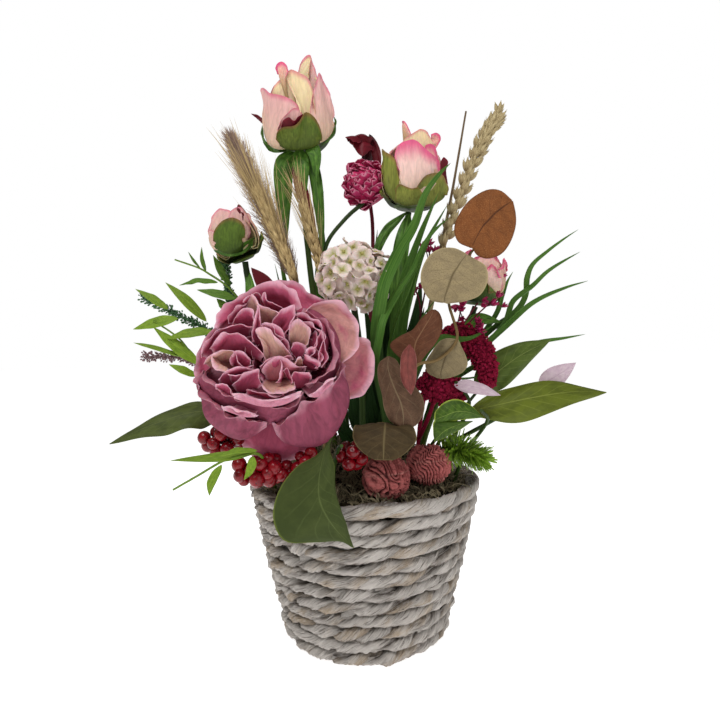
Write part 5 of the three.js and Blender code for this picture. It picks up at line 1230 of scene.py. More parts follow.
budLeaves = {
    "bud_top": [
        {"midrib": [-38,6,306, -45,5,299, -47,8,275, -46,10,248], "width": 13},
        {"midrib": [-31,4,307, -26,3,293, -23,4,264, -22,6,236], "width": 8},
        {"midrib": [-35,2,308, -34,-1,292, -34,1,266], "width": 11},
        {"midrib": [-30,0,310, -25,-3,302, -24,-1,284], "width": 9},
    ],
    "bud_right": [
        {"midrib": [35,-3,262, 29,-8,240, 24,-11,205, 20,-11,170], "width": 10},
        {"midrib": [33,-3,262, 20,-5,250, 13,-6,236, 9,-7,220], "width": 6},
    ],
    "bud_left": [{"midrib": [-67,-17,226, -64,-21,208, -61,-21,190, -58,-20,172], "width": 7}],
    "bud_back": [{"midrib": [70,6,185, 78,0,192, 92,-3,190], "width": 9}],
}
budPaths = {
    "bud_top": [-35,8,305, -33,6,262, -28,2,205, -19,0,135, -13,2,44],
    "bud_right": [34.6,-1.6,262, 30,-4,238, 24,-7,200, 18,-8,150, 14,-5,44],
    "bud_left": [-68,-18,230, -66,-16,214, -58,-14,190, -46,-9,150, -36,-2,44],
    "bud_back": [77.5,5.3,201, 73,6,190, 56,8,150, 40,10,105, 36,11,44],
}
budLeafFinish = material("bud_leaf", leafGroup, {
    "Blade": "#35561a", "Blotch": "#55802a", "Speckle": "#223a12", "Vein": "#6f8d44", "Edge": "#5c7c34",
    "Midrib Width": 0.1, "Veins": 8.0, "Vein Share": 0.35, "Edge Share": 0.4,
}, roughness=0.5, bump=0.4)


def makeBud(name):
    bud = buds[name]
    stand = towards(bud["towards"], bud["at"])
    random = np.random.default_rng(bud["seed"])
    drawn = budPetals.get(name, [])
    parts = {part: Shape() for part in ("bloom", "rosy", "sepals", "leaves", "flecks")}
    petals, green = parts["bloom"], parts["sepals"]
    # behind drawn petals stand a smaller core and the bud's back, otherwise the whole bud is wrapped
    coreSize, back, around = (0.78, 3, 90) if drawn else (1, 0, 270)
    core = [(bud["radius"] * r * coreSize + 0.4, bud["height"] * z * coreSize) for r, z in budCore]
    lathe(petals, core, 24, 0.3, Matrix.Translation((0, back, 0)))
    for k, turn in enumerate((-40, 40, 0) if drawn else (-110, 110, 0, 180)):
        eggPetal(petals, bud, around + turn, 0.14 + 0.03 * k, 50 if drawn else 62, 0.6, 1.0, 40 + k,
                 (0.95, 0.3, 0.75, 0.3)[k], ruffle=0.3)
    for k, turn in enumerate((-56, 56, 22, -22) if drawn else (-60, 60, 170, 10)):
        eggPetal(petals, bud, around + turn, 0.24 + 0.05 * k, 34 if drawn else 46, 2.0, 1.0, 60 + k,
                 (0.4, 0.85, 0.5, 0.2)[k], tilt=0.5, point=0.3, curl=1.4)
    rim = eggPoint(bud, cupPolar, 0, sepalLift)
    rim, top = rim[0], rim[2]
    lathe(green, [(0.4, -1.5), (2.4, -1), (rim * 0.8, top - 1.4), (rim + 0.4, top), (0.4, top + 0.2)], 28)
    for k, turn in enumerate((-70, 70, 0) if drawn else (-120, 120, 0)):
        eggPetal(green, bud, around + turn, 0.56 + 0.05 * (k % 2), 48, sepalLift + 0.8, 0.6, 90 + k,
                 random.random(), foot=sepalLift, tilt=0.2, point=0.5, ruffle=0.4)
    for shape in (petals, green):
        shape.move(stand)
    foot = inFront([0,3,4], bud["at"])[0]
    for k, (look, swell, edge, low) in enumerate(drawn):
        part, tone = budLooks[look]
        drawnPetal(parts[part], bud["at"], edge, low, foot, tone, swell, 0.25, 700 + 9 * k, 18, 30,
                   ruffle=0.3, folds=0.4, thick=0.5)
    stem(green, budPaths[name], 1.9)
    for k, row in enumerate(budLeaves[name]):
        leaf(parts["leaves"], ripple=1.0, fold=0.2, tone=random.random(), seed=k, **row)
    finish = rosyFinish if name == "bud_back" else budFinish
    petals.build(name + "_bloom", finish, name + "_petals", slot="bud_petal", sharp=75)
    green.build(name + "_sepals", sepalFinish, slot="sepal", sharp=75)
    parts["leaves"].build(name + "_leaves", budLeafFinish, name + "_stem", slot="sepal")
    for part, finish, slot in (("flecks", wineFinish, "burgundy_petal"), ("rosy", rosyFinish, "bud_petal")):
        if parts[part].points:
            parts[part].build(f"{name}_{part}", finish, slot=slot, sharp=75)


for budName in buds:
    makeBud(budName)
print("buds")


# Pompon: small cupped petals in a spiral

pompon = {"at": (9, 11, 285), "towards": (0.1, -0.8, 0.6), "radius": 14.5, "petals": 84,
          "stretch": (1.18, 1, 1, 1), "petal": (8.2, 7.4, 2.4, 1.8), "sunk": 4.2}
pomponFinish = material("pompon_silk", petalGroup, {
    "Heart": "#740a30", "Body": "#c02c60", "Tint": "#cc4c80", "Rim": "#e89cb4", "Heart Reach": 0.5,
    "Rim Width": 0.09, "Rim Share": 0.8, "Tip Share": 0.8, "Depth Share": 0.65, "Tint Share": 0.5,
}, bump=0.3, distance=0.0003)


def spiral(count, deep=1.0):
    # Directions spread evenly over a ball, from its crown down
    k = np.arange(count)
    z = 1 - 2 * deep * (k + 0.5) / count
    angle = np.radians(137.508) * k
    r = np.sqrt(1 - z * z)
    return np.stack([r * np.cos(angle), r * np.sin(angle), z], -1)


def scaleTemplate(long, wide, cup, hook):
    # A small cupped petal from the origin along +Z; its inner face looks along +Y
    s, t = np.linspace(0, 1, 8)[:, None], np.linspace(-1, 1, 7)[None]
    rounded = np.sqrt(np.clip(1 - np.clip((s - 0.55) / 0.46, 0, 1) ** 2, 0.05, 1))
    x = t * wide / 2 * np.minimum(1, 0.35 + 1.6 * s) * rounded
    y = cup * (t**2) * np.sin(math.pi * s * 0.7) + hook * s**2.4
    template = Shape()
    template.sheet(np.stack([x, y, long * s + 0 * t], -1), 0.35, depth=np.clip(1.1 - s + 0 * t, 0, 1))
    return template


def makePompon():
    head, random = Shape(), np.random.default_rng(6)
    core = ((0, -0.86), (0.5, -0.74), (0.78, -0.33), (0.8, 0.08), (0.62, 0.5), (0.3, 0.7), (0, 0.76))
    lathe(head, [(pompon["radius"] * r + 0.3, pompon["radius"] * z) for r, z in core], 24)
    out = spiral(pompon["petals"])
    crown = np.array([0, 0, 1.0])
    toCrown = unit(crown - out * out @ crown[:, None] + 1e-6)
    long = unit(out * 0.66 + toCrown * 0.74 + random.normal(0, 0.12, out.shape))
    side = unit(np.cross(long, out))
    face = np.cross(long, side)
    face = np.where((face * out).sum(-1, keepdims=True) > 0, -face, face)
    sizes = random.uniform(0.85, 1.1, len(out)) * (0.6 + 0.4 * smooth(0, 14, np.arange(len(out))))
    axes = np.stack([side, face, long], -1) * sizes[:, None, None]
    petal = scaleTemplate(*pompon["petal"])
    head.copies(petal, axes, out * (pompon["radius"] - pompon["sunk"]), random.random(len(out)))
    wide = Matrix.Translation(pompon["at"]) @ Matrix.Diagonal(pompon["stretch"])
    head.move(wide @ towards(pompon["towards"]))
    head.build("pompon_head", pomponFinish, "pompon_petals", slot="crimson_petal")
    green = Shape()
    stem(green, [6,10,273, -6,10,263, -20,9,244, -19,7,215, -11,8,150, -6,9,80], 1.4)
    green.build("pompon_stalk", greenStem, "pompon_stem", slot="stem")


makePompon()
print("pompon")


# Calla and the folded leaf, both deep wine red

wineStem = stemFinish("wine_stem", "#520c1c", "#6d1a2b", "#300812")
callaLeaves = [
    {"midrib": [9,27,304, 12,24,314, 9,20,321, 3,17,319.5, -2,15,315], "width": 7, "face": (0.3, -1, 0.2),
     "outline": "strap", "arch": 0.5, "ripple": 1, "tone": 0.3, "seed": 2},
    {"midrib": [9,19,321, 7,15,315, 6,13,305], "width": 15, "face": (0, -1, 0.2), "outline": "heart",
     "arch": 0.35, "ripple": 1.6, "tone": 0.8, "seed": 3},
    {"midrib": [8,18,320, 0,13,319, -5,10,317], "width": 8, "face": (0, -0.6, 1), "arch": 0.4,
     "ripple": 1.2, "tone": 0.5, "seed": 4},
    {"midrib": [11.5,22,324, 14.5,22,316, 16.5,22,307, 16,23,297, 14,26,285], "width": 6.5,
     "face": (-0.3, -1, 0), "fold": 0.4, "ripple": 0.6, "tone": 0.6, "seed": 6},
]
callaTube = {"at": (6.8, 22, 308.5), "towards": (0.06, -0.3, 1), "profile": (
    (0.7, -2), (1.2, 1), (2.2, 4), (3.8, 8), (5.4, 11), (6.2, 12.5), (5.6, 12.2), (3.4, 8), (0.4, 4))}
foldedLeaves = [
    {"midrib": [-38,0,298, -35,-1,284, -30,0,268, -25,0,250], "width": 8.5, "face": (0.5, -1, 0),
     "arch": 0.4, "fold": 0.5, "ripple": 0.8, "tone": 0.4},
    {"midrib": [-50,-16,206, -57,-19,217, -64,-20,226], "width": 10, "face": (0.2, -1, 0), "fold": 0.3,
     "tone": 0.7, "seed": 9},
]


def makeCalla():
    bloom, stalk, folded = Shape(), Shape(), Shape()
    for row in callaLeaves:
        leaf(bloom, **row)
    stand = towards(callaTube["towards"], callaTube["at"])
    lathe(bloom, callaTube["profile"], 28, matrix=stand,
          wobble=lambda a, z: 1 + 0.09 * np.sin(3 * a + 0.2 * z))
    bloom.build("calla_bloom", wineFinish, "calla", slot="burgundy_petal")
    stem(stalk, [6.8,22.6,308, 8,27,296, 12,29,268, 11,24,230, 6,17,160, 4,14,80], 1.3)
    stalk.build("calla_stalk", wineStem, slot="burgundy_petal")
    for row in foldedLeaves:
        leaf(folded, **row)
    stem(folded, [-50,-16,208, -36,-8,170, -16,-1,120], 0.9)
    stem(folded, [-29,0,262, -22,2,235, -15,0,180, -13,-1,80], 1)
    folded.build("folded_wine_leaf", wineFinish, "burgundy_leaf", slot="burgundy_petal")


makeCalla()


# Snowball: florets of four rounded petals

snowball = {"at": (-2, -34, 216), "towards": (0, -0.4, 1), "radius": 19.5, "florets": 88, "long": 5.6,
            "wide": 6.0}
floretFinish = material("floret_silk", petalGroup, {
    "Heart": "#9c9a48", "Body": "#dfcbc3", "Tint": "#e4c6c4", "Rim": "#efe2d9", "Heart Reach": 0.45,
    "Rim Width": 0.08, "Rim Share": 0.6, "Tip Share": 0.8, "Depth Share": 0.9, "Tint Share": 0.9,
}, roughness=0.65, bump=0.3, distance=0.0003, Subsurface_Weight=0.1, Subsurface_Scale=0.002)


def floretTemplate(long, wide):
    # Four rounded petals round a middle, two of them a little higher
    template = Shape()
    s, t = np.linspace(0, 1, 9)[:, None], np.linspace(-1, 1, 8)[None]
    half = wide / 2 * np.sin(math.pi * (0.09 + 0.83 * s)) ** 0.7
    for k in range(4):
        r = 0.5 + long * (s - 0.13 * s**3 * (1 - t**2) ** 2 - 0.1 * s * t**2)
        rise = 1.6 * s**1.5 - 1.6 * s**3 + 0.9 * t**2 * np.sin(math.pi * s) + (0.5 if k % 2 else 0) * s
        angle = math.pi / 2 * k
        cosA, sinA = math.cos(angle), math.sin(angle)
        points = np.stack([r * cosA - t * half * sinA, r * sinA + t * half * cosA, rise], -1)
        template.sheet(points[:, ::-1], 0.35, depth=np.clip(1 - 1.6 * s + 0 * t, 0, 1))
    return template


def makeSnowball():
    head, random = Shape(), np.random.default_rng(21)
    r = snowball["radius"]
    lathe(head, [(0.3, -r * 0.8), (r * 0.6, -r * 0.62), (r * 0.84, 0), (r * 0.62, r * 0.6),
                 (0.3, r * 0.82)], 24)
    out = spiral(snowball["florets"], 0.9)
    n = len(out)
    lean = unit(out + random.normal(0, 0.62, (n, 3)))
    sizes = random.uniform(0.62, 1.08, (n, 1)) * random.uniform(0.8, 1.2, (n, 3))
    reach = (r - 1.5 + random.uniform(-2, 2.6, n))[:, None]
    tones = random.random(n)
    floret = floretTemplate(snowball["long"], snowball["wide"])
    head.copies(floret, framesTowards(lean, random.uniform(0, 6, n), sizes), out * reach, tones)
    bead = beadTemplate(0.8, 0.9, 8, 5)
    bead.depths = [np.ones_like(d) for d in bead.depths]
    head.copies(bead, framesTowards(lean), out * (reach + 0.5), tones * 0.4)
    head.move(towards(snowball["towards"], snowball["at"]))
    head.build("snowball_head", floretFinish, "snowball_florets", slot="cream_floret")
    green = Shape()
    stem(green, [-2,-27,199, 1,-25,170, 1,-22,120, -2,-18,44], 1.9)
    green.build("snowball_stalk", greenStem, "snowball_stem", slot="stem")


makeSnowball()
print("calla and snowball")


# Wheat and barley

strawFinish = material("dry_straw", bladeGroup, {
    "Blade": "#998660", "Light": "#baab83", "Patch": "#7b6643", "Foot": "#6d5636", "Ribs": 34.0,
    "Patch Share": 0.5,
}, roughness=0.75, bump=0.4, distance=0.0003)
barleyFinish = material("barley_straw", bladeGroup, {
    "Blade": "#a2875a", "Light": "#cdb684", "Patch": "#846b48", "Foot": "#6a5436", "Ribs": 34.0,
    "Patch Share": 0.5,
}, roughness=0.75, bump=0.4, distance=0.0003)
wheat = {"spine": [57.5,4,241, 68.5,6,271, 80,8,298, 89.5,9,317, 96,10,326], "spikelets": 12,
         "long": 9.6, "wide": 3.0, "deep": 2.3,
         "fans": ((-50, 24), (-15, 34), (20, 26), (55, 20), (90, 10))}
barleyEars = [
    {"spine": [-36,-24,214, -45,-27,240, -57,-30,268], "rows": 17, "awn": 62, "long": 9, "wide": 2.7},
    {"spine": [-20,-14,218, -26,-13,242, -32,-12,264], "rows": 13, "awn": 46, "long": 8, "wide": 2.5},
]


def grainTemplate(long, wide, deep, tip=0.5):
    # A pointed husk from the origin along +Z, flattened, with a keel on its +Y side
    grain = Shape()
    s = np.linspace(0, 1, 9)[:, None]
    around = np.linspace(0, 2 * math.pi, 10, endpoint=False)[None]
    size = (np.sin(math.pi * s**0.8) ** 0.75 * 0.97 + 0.05) * (1 - tip * smooth(0.7, 1, s))
    x = wide / 2 * size * np.cos(around)
    y = deep / 2 * size * (np.sin(around) + 0.45 * np.maximum(0, np.sin(around)) ** 6)
    grain.body(np.stack([x, y, long * s + 0 * x], -1))
    return grain


def spineFrames(spine, shares, around, lean):
    # Axes for grains that leave a spine at an angle round it and lean out from it by degrees
    at, along = splineAt(spine, shares), tangentAt(spine, shares)
    aside = unit(np.cross(along, [0.0, 1.0, 0.0]))
    other = np.cross(along, aside)
    a = np.radians(around)[:, None]
    out = aside * np.cos(a) + other * np.sin(a)
    tilt = np.radians(np.broadcast_to(lean, len(at)))[:, None]
    long = unit(along * np.cos(tilt) + out * np.sin(tilt))
    side = unit(np.cross(out, long))
    return at, out, long, np.stack([side, np.cross(long, side), long], -1)


def makeGrain():
    random = np.random.default_rng(31)
    ear = Shape()
    n = wheat["spikelets"]
    for side in (0, 1):  # the spikelets stand left and right in turn, each a fan of husks
        for fan, lean in wheat["fans"]:
            shares = (np.arange(n) + 0.5 * side) / n
            around = 180.0 * side + fan * (1 - 2 * side) + random.normal(0, 5, n)
            size = 0.85 + 0.2 * np.sin(math.pi * (0.12 + 0.8 * shares)) ** 0.7
            size = size * random.uniform(0.92, 1.08, n)
            at, out, long, axes = spineFrames(wheat["spine"], shares, around, lean + random.normal(0, 3, n))
            husk = grainTemplate(wheat["long"], wheat["wide"], wheat["deep"])
            ear.copies(husk, axes * size[:, None, None], at + out * 0.9, random.random(n))
            tips = at + long * (wheat["long"] * size)[:, None] * 0.93
            s = np.linspace(0, 1, 5)[None, :, None]
            ear.hairs(tips[:, None] + long[:, None] * s * random.uniform(1, 3, (n, 1, 1)), 0.2,
                      random.random(n))
    crown = np.array([[-0.15, 0, 1.0], [0.3, 0, 1], [0.55, 0, 1], [0.2, -0.3, 1], [0.4, 0.3, 1]])
    ear.copies(grainTemplate(10, 2.8, 2.4), framesTowards(crown), np.tile([97, 9.8, 328], (5, 1)),
               random.random(5))
    stem(ear, [58,4.2,241, 48,4,200, 31,2,130, 27,3,80], 1.3)
    stem(ear, [97,10,327, 88,9,317, 67,6,270, 57,4,238], 0.9, 1.2)
    ear.build("wheat_ear", strawFinish, "wheat", slot="straw")
    bare = Shape()
    stem(bare, [77,14,334, 66,13,280, 56,11,237, 44,4,185], 0.6, 1.5)
    bare.build("dry_stalk", stemFinish("dry_stalk", "#6f5c45", "#8f7b60", "#57462f", 0.8), slot="straw")
    golden = Shape()
    for row in barleyEars:
        for side in range(6):
            n = row["rows"]
            shares = (np.arange(n) + random.uniform(0, 1, n)) / n
            around = 60.0 * side + 25 * (np.arange(n) % 2) + random.normal(0, 12, n)
            at, out, long, axes = spineFrames(row["spine"], shares, around, 12 + random.normal(0, 3, n))
            size = 0.75 + 0.3 * np.sin(math.pi * (0.15 + 0.75 * shares))
            husk = grainTemplate(row["long"], row["wide"], 1.8)
            golden.copies(husk, axes * size[:, None, None], at + out * 1.1, random.random(n))
            along = tangentAt(row["spine"], shares)
            aim = unit(along + out * random.uniform(0.03, 0.2, (n, 1)) + random.normal(0, 0.03, (n, 3)))
            s = np.linspace(0, 1, 8)[None, :, None]
            reach = row["awn"] * random.uniform(0.72, 1.05, (n, 1, 1)) * (1 - 0.35 * shares[:, None, None])
            start = at + long * (row["long"] * size)[:, None] * 0.85
            golden.hairs(start[:, None] + aim[:, None] * s * reach + out[:, None] * 2.2 * s**2, 0.17,
                         random.random(n))
    stem(golden, [-57,-30,266, -45,-27,240, -37,-24,216, -34,-20,195, -28,-14,150, -18,-10,80], 0.7, 1.2)
    stem(golden, [-32,-12,262, -26,-13,242, -20.5,-14,220, -19,-14,190, -21.5,-12,120], 0.7, 1.0)
    golden.build("barley_ears", barleyFinish, "barley", slot="straw")


makeGrain()


# Foxtail: soft bristles out of a slim core

foxtail = {"spine": [-40,-3,222, -52,-1,252, -66,0,286, -79,1,314], "bristles": 3600, "reach": 12.5}
foxtailFinish = material("foxtail_down", bladeGroup, {
    "Blade": "#846a5c", "Light": "#ab9584", "Patch": "#74575a", "Foot": "#5e463f", "Ribs": 6.0,
    "Patch Share": 0.6,
}, roughness=0.9, bump=0.1)


def makeFoxtail():
    tail, random = Shape(), np.random.default_rng(44)
    n = foxtail["bristles"]
    shares = random.uniform(0, 1, n)
    at, out, long, axes = spineFrames(foxtail["spine"], shares, random.uniform(0, 360, n),
                                      random.uniform(16, 46, n))
    s = np.linspace(0, 1, 6)[None, :, None]
    swell = (0.28 + 0.74 * np.sin(math.pi * (0.14 + 0.8 * shares)))[:, None, None]
    reach = foxtail["reach"] * random.uniform(0.6, 1.25, (n, 1, 1)) * swell
    bend = random.normal(0, 0.8, (n, 1, 3)) * s**2
    forwards = tangentAt(foxtail["spine"], shares)[:, None] * s**2 * 2.5
    paths = (at + out * 1.2)[:, None] + long[:, None] * s * reach + forwards + bend
    tail.hairs(paths, random.uniform(0.1, 0.2, n), random.random(n))
    tail.tube(foxtail["spine"], [1.6, 2.4, 2.2, 0.8], 8)
    stem(tail, [-41,-3,225, -37,-3,205, -30,2,130, -28,4,80], 1.2)
    tail.build("foxtail_plume", foxtailFinish, "foxtail", slot="foxtail")


makeFoxtail()
print("grain")


# Eucalyptus: round dry leaves with a dark midrib

def coinFinish(name, blade, blotch, speckle, vein, edge):
    return material(name, leafGroup, {
        "Blade": blade, "Blotch": blotch, "Speckle": speckle, "Vein": vein, "Edge": edge,
        "Midrib Width": 0.06, "Veins": 6.0, "Vein Lean": 0.3, "Vein Share": 0.3, "Line Share": 0.8,
        "Speckle Share": 0.55, "Edge Width": 0.03, "Edge Share": 0.8,
    }, roughness=0.7, bump=0.5)


coinFinishes = {
    "brown": coinFinish("eucalyptus_brown", "#74431f", "#643819", "#99683c", "#331708", "#563114"),
    "umber": coinFinish("eucalyptus_umber", "#69402a", "#5a3421", "#3f2313", "#8a6548", "#4f301c"),
    "olive": coinFinish("eucalyptus_olive", "#86775a", "#948462", "#5f5034", "#51442c", "#a3956e"),
    "taupe": coinFinish("eucalyptus_taupe", "#5f4634", "#4d3728", "#382819", "#7c6a50", "#74634a"),
    "mauve": coinFinish("eucalyptus_mauve", "#82443e", "#6f3a34", "#4f2825", "#57302c", "#9c726a"),
    "dark": coinFinish("eucalyptus_dark", "#453720", "#372b17", "#2a2010", "#675a3c", "#6a5d3c"),
}
coins = {  # each leaf is drawn from a place on it, by its left edge, its midrib and its right edge
    "eucalyptus_olive": ("olive", [
        {"at": (52, -50, 212),
         "left": [8.5,12.5,0, 2,16,0, -5,16,0, -12,12,0, -16.5,3.5,0, -16.5,-4.5,0, -12.5,-12,0,
                  -5.5,-14,0],
         "middle": [8.5,12,0, 5.5,8.5,1.5, 3.5,5.5,2, 1,2,2.5, -1,-2.5,2.5, -2.5,-6.5,2, -4,-10.5,1,
                    -4.5,-14,0],
         "right": [9,12,0, 14,9,0, 18.5,6,0, 20,0.5,0, 19,-5,0, 15,-10.5,0, 6.5,-13.5,0, -3,-14.5,0]},
        {"at": (50, -50, 170),
         "left": [4,8,0, -1.5,8.5,0, -5.5,7,0, -10,1.5,0, -13.5,-4.5,0, -12.5,-10,0, -7.5,-13,0],
         "middle": [4,7.5,0, 1.5,5,1, -1,1.5,2, -3,-2.5,2, -4.5,-7,2, -5.5,-11,1, -5,-13.5,0],
         "right": [4.5,8,0, 6,4.5,0, 8.5,-1,0, 9.5,-6,0, 7,-10,0, 1.5,-12.5,0, -3.5,-13.5,0]},
        {"at": (24, -62, 150), "finish": "taupe",
         "left": [-9,19.5,0, -13.5,16,0, -14.5,9,0, -12.5,-0.5,0, -11.5,-8,1, -8.5,-14.5,1, -3,-18.5,1],
         "middle": [-8.5,19.5,0, -9,14,2, -7.5,7.5,3, -5,0.5,4, -2.5,-6,4, -1.5,-13,3, -2,-18.5,1],
         "right": [-8,19.5,0, -4.5,17.5,0, -1.5,11.5,0, 4,4.5,1, 8.5,-2,1, 9.5,-9,1, 5,-17,1, -1,-18.5,1]},
    ], [
        [66,-46,228, 64,-44,226, 56,-43,212, 51,-45,200, 54,-50,178, 42,-56,167, 30,-60,164, 25,-54,146,
         22,-40,116, 20,-28,44],
    ]),
    "eucalyptus_brown_high": ("brown", [
        {"at": (74, -46, 240),
         "left": [-10,-11.5,0, -17,-8,0, -19,0,0, -15.5,8.5,0, -9,16,0, 0.5,21,0, 7.5,20,0, 13.5,14.5,0],
         "middle": [-10,-11.5,0, -7,-6,1, -3,0.5,1.5, 0,3.5,1.5, 4,7.5,1.5, 8,10.5,1, 11,12.5,1, 13.5,14,0],
         "right": [-9.5,-11.5,0, -6.5,-15.5,0, -0.5,-17.5,0, 6.5,-15.5,0, 11.5,-9.5,0, 15,0,0, 15.5,7.5,0,
                   14,14,0]},
    ], []),
    "eucalyptus_brown_low": ("umber", [
        {"at": (38, -60, 182),
         "left": [-8.5,-18.5,0, -17.5,-12.5,-3, -21.5,-6.5,-5, -16,-2,-3, -9.5,1,-1, -4.5,7,0, 1,11.5,0],
         "middle": [-8,-18.5,0, -8.5,-10,1, -7.5,-5,2, -4.5,0,3, -1.5,4.5,3, 1,8.5,2, 2,11.5,0],
         "right": [-7.5,-18.5,0, -1.5,-11,1, 3,-6,2, 6,0,2, 6.5,6,2, 5,10,1, 3,11.5,0]},
    ], []),
    "eucalyptus_mauve": ("mauve", [
        {"at": (25, -72, 162),
         "left": [0.5,13,0, -3,9,0, -4.5,1.5,0, -3,-7,0, 0.5,-12,0],
         "middle": [1,13,0, 0,9,1.5, -0.5,1.5,2.5, 0,-7,2, 0.5,-12,0],
         "right": [1,13,0, 3.5,9,0, 4,1.5,0, 3,-7,0, 1,-12,0]},
    ], []),
    "eucalyptus_dark": ("dark", [
        {"midrib": [13,-56,134, 12.5,-65,133, 11.5,-70,126, 11,-71,117], "width": 33,
         "face": (0, -0.7, 0.7),
         "outline": "round", "arch": 0.05},
    ], [[12,-57,134, 8,-46,131, 5,-34,110, 5,-31,80]]),
}
twigFinish = stemFinish("dry_twig", "#66512f", "#816b45", "#4b3a22", 0.7)


def makeEucalyptus():
    seed = 1
    for name, (finish, leaves, twigs) in coins.items():
        shape, other = Shape(), Shape()
        slot = "eucalyptus_brown" if "brown" in name else name
        for blade in leaves:
            seed += 1
            own = {key: value for key, value in blade.items() if key != "finish"}
            make = leaf if "width" in own else drawnLeaf
            make(other if "finish" in blade else shape, ripple=1.2, rows=30, columns=20, thick=0.5,
                 seed=seed, tone=(seed * 0.37) % 1, **own)
        shape.build(name + "_leaves", coinFinishes[finish], name, slot=slot)
        if other.points:
            other.build(name + "_long_leaf", coinFinishes["taupe"], slot=slot)
        if twigs:
            wood = Shape()
            for path in twigs:
                stem(wood, path, 0.65, 1.1)
            wood.build(name + "_twig", twigFinish, slot=name)


makeEucalyptus()
print("eucalyptus")


# Dried curled balls

ballFinish = material("dried_husk", fibreGroup, {
    "Pale": "#b2625f", "Warm": "#c2877d", "Dark": "#3a0f13", "Across": 60.0, "Along": 30.0,
    "Patch Rate": 20.0, "Streak Share": 0.5, "Deep Share": 0.9,
}, roughness=0.9, bump=0.8, distance=0.0006)
balls = (("dried_ball_front", (13, -49, 103), 13), ("dried_ball_back", (38, -37, 107), 12.6))


def makeBalls():
    for name, at, radius in balls:
        angle = np.linspace(0, 2 * math.pi, 220, endpoint=False)[None]
        polar = np.linspace(math.pi * 0.992, math.pi * 0.008, 90)[:, None]
        x, y, z = np.sin(polar) * np.cos(angle), np.sin(polar) * np.sin(angle), np.cos(polar) + 0 * angle
        if name == "dried_ball_front":
            a, b = waves(7, 12, 1.5, 4), waves(8, 12, 1.5, 4)
            wound = 5.5 * a(1.6 * x + y, 1.6 * z - y) + 4 * b(2.4 * y - z, 2.4 * x + z)
            fold = (0.5 + 0.5 * np.sin(wound)) ** 0.6 + 0.22 * np.abs(waves(6, 9, 6, 14)(2 * x, 2 * z + y))
        else:
            a, b = waves(9, 8, 1, 3), waves(10, 10, 4, 9)
            wound = 44 * x + 15 * z + 5 * a(1.5 * z, x) + 3 * b(x, y + z)
            fold = (0.5 + 0.5 * np.sin(wound)) ** 0.6 * np.sin(polar) ** 0.3
            fold = fold + 0.25 * np.abs(b(2 * z, 2 * x))
        reach = radius * (0.86 + 0.16 * np.clip(fold, 0, 1.3))
        points = np.stack([reach * x, reach * y * 0.93, reach * z * 0.95], -1) + np.array(at)
        ball = Shape()
        # the hollows between the folds lie deep, and the finish paints them dark: painted shade
        ball.body(points, 0.6, smooth(0.75, 0.15, fold))
        ball.build(name + "_husk", ballFinish, name, slot="husk", sharp=80)


makeBalls()


# Berries: glossy, with a tiny dark navel, on short stalks

berryGroups = [
    ("berries_left", [
        ((-74, -56, 127), (11, 7.5, 6.5), 13, 3.5), ((-52, -66, 112), (13.5, 7.5, 7), 21, 3.6),
    ], [-58,-50,118, -46,-34,112, -42,-30,80], 2),
    ("berries_right", [
        ((-29, -66, 116), (5, 4.5, 5.5), 6, 3.2), ((-5, -56, 117), (6, 6, 6.5), 9, 3.4),
    ], [-20,-52,113, -25,-44,104, -26,-38,80], 4),
]


def berryPattern(tree, given):
    # A blushed skin with a dark dot at its tip
    uv = put(tree, "UVMap", uv_map="UVMap")
    soft = noise(shifted(stretched(uv, (4, 3))), (1, 1))
    body = mixed(spanned(soft, 0.35, 0.7), given["Skin"], given["Blush"])
    dot = spanned(put(tree, "SeparateXYZ", {0: uv}, 1), 0.97, 0.99)
    return {"Color": mixed(dot, body, given["Navel"]), "Height": soft - dot}


berryGroup = group("Berry Skin", ["Skin", "Blush", "Navel"], {}, berryPattern)
berryFinish = material("berry_skin", berryGroup, {
    "Skin": "#8a0414", "Blush": "#62040f", "Navel": "#36050b",
}, roughness=0.26, bump=0.1, Specular_IOR_Level=0.4)


def makeBerries():
    for name, clusters, path, seed in berryGroups:
        fruit, random, wood = Shape(), np.random.default_rng(seed), Shape()
        path = threes(path)
        stem(wood, path, 1.1)
        for at, size, count, radius in clusters:
            at = np.array(at)
            low = at + [0, 4, -5]
            out = spiral(count) * random.uniform(0.72, 1.1, (count, 1))
            places = at + out * size
            sizes = radius * random.uniform(0.88, 1.12, (count, 1))
            aim = unit(out + random.normal(0, 0.3, (count, 3)) + [0, -0.3, 0])
            berry = beadTemplate(1, 0.96, 18, 13, 0.12)
            fruit.copies(berry, framesTowards(aim, 0, sizes), places, random.random(count))
            for place in places:
                stem(wood, [place, (place + low) / 2 + [0, 1, -1], low], 0.45, 0.6, sides=5)
            stem(wood, [low, (at + path[0]) / 2 + [0, 3, -2], path[0]], 0.9)
        fruit.build(name + "_fruit", berryFinish, name, slot="berry")
        wood.build(name + "_stalks", wineStem, slot="berry")


makeBerries()
print("balls and berries")


# Amaranth: drooping ropes of tiny velvet knobs

amaranth = [
    {"path": [50,-16,178, 60,-18,182, 69,-20,178, 75,-22,168, 77,-24,156, 76,-25,150],
     "size": [4, 7, 7.5, 7, 5, 3], "knobs": 1100},
    {"path": [36,-40,158, 42,-42,153, 51,-39,149, 58,-33,146], "size": [5, 9, 8.6, 4.5], "knobs": 800},
]
velvetFinish = material("wine_velvet", petalGroup, {
    "Heart": "#33040f", "Body": "#820c2e", "Tint": "#9c1840", "Rim": "#8f1438", "Heart Reach": 0.45,
    "Rim Width": 0.02, "Rim Share": 0.2, "Tip Share": 0.7, "Depth Share": 0.5, "Tint Share": 0.7,
}, roughness=0.9, bump=0.2)


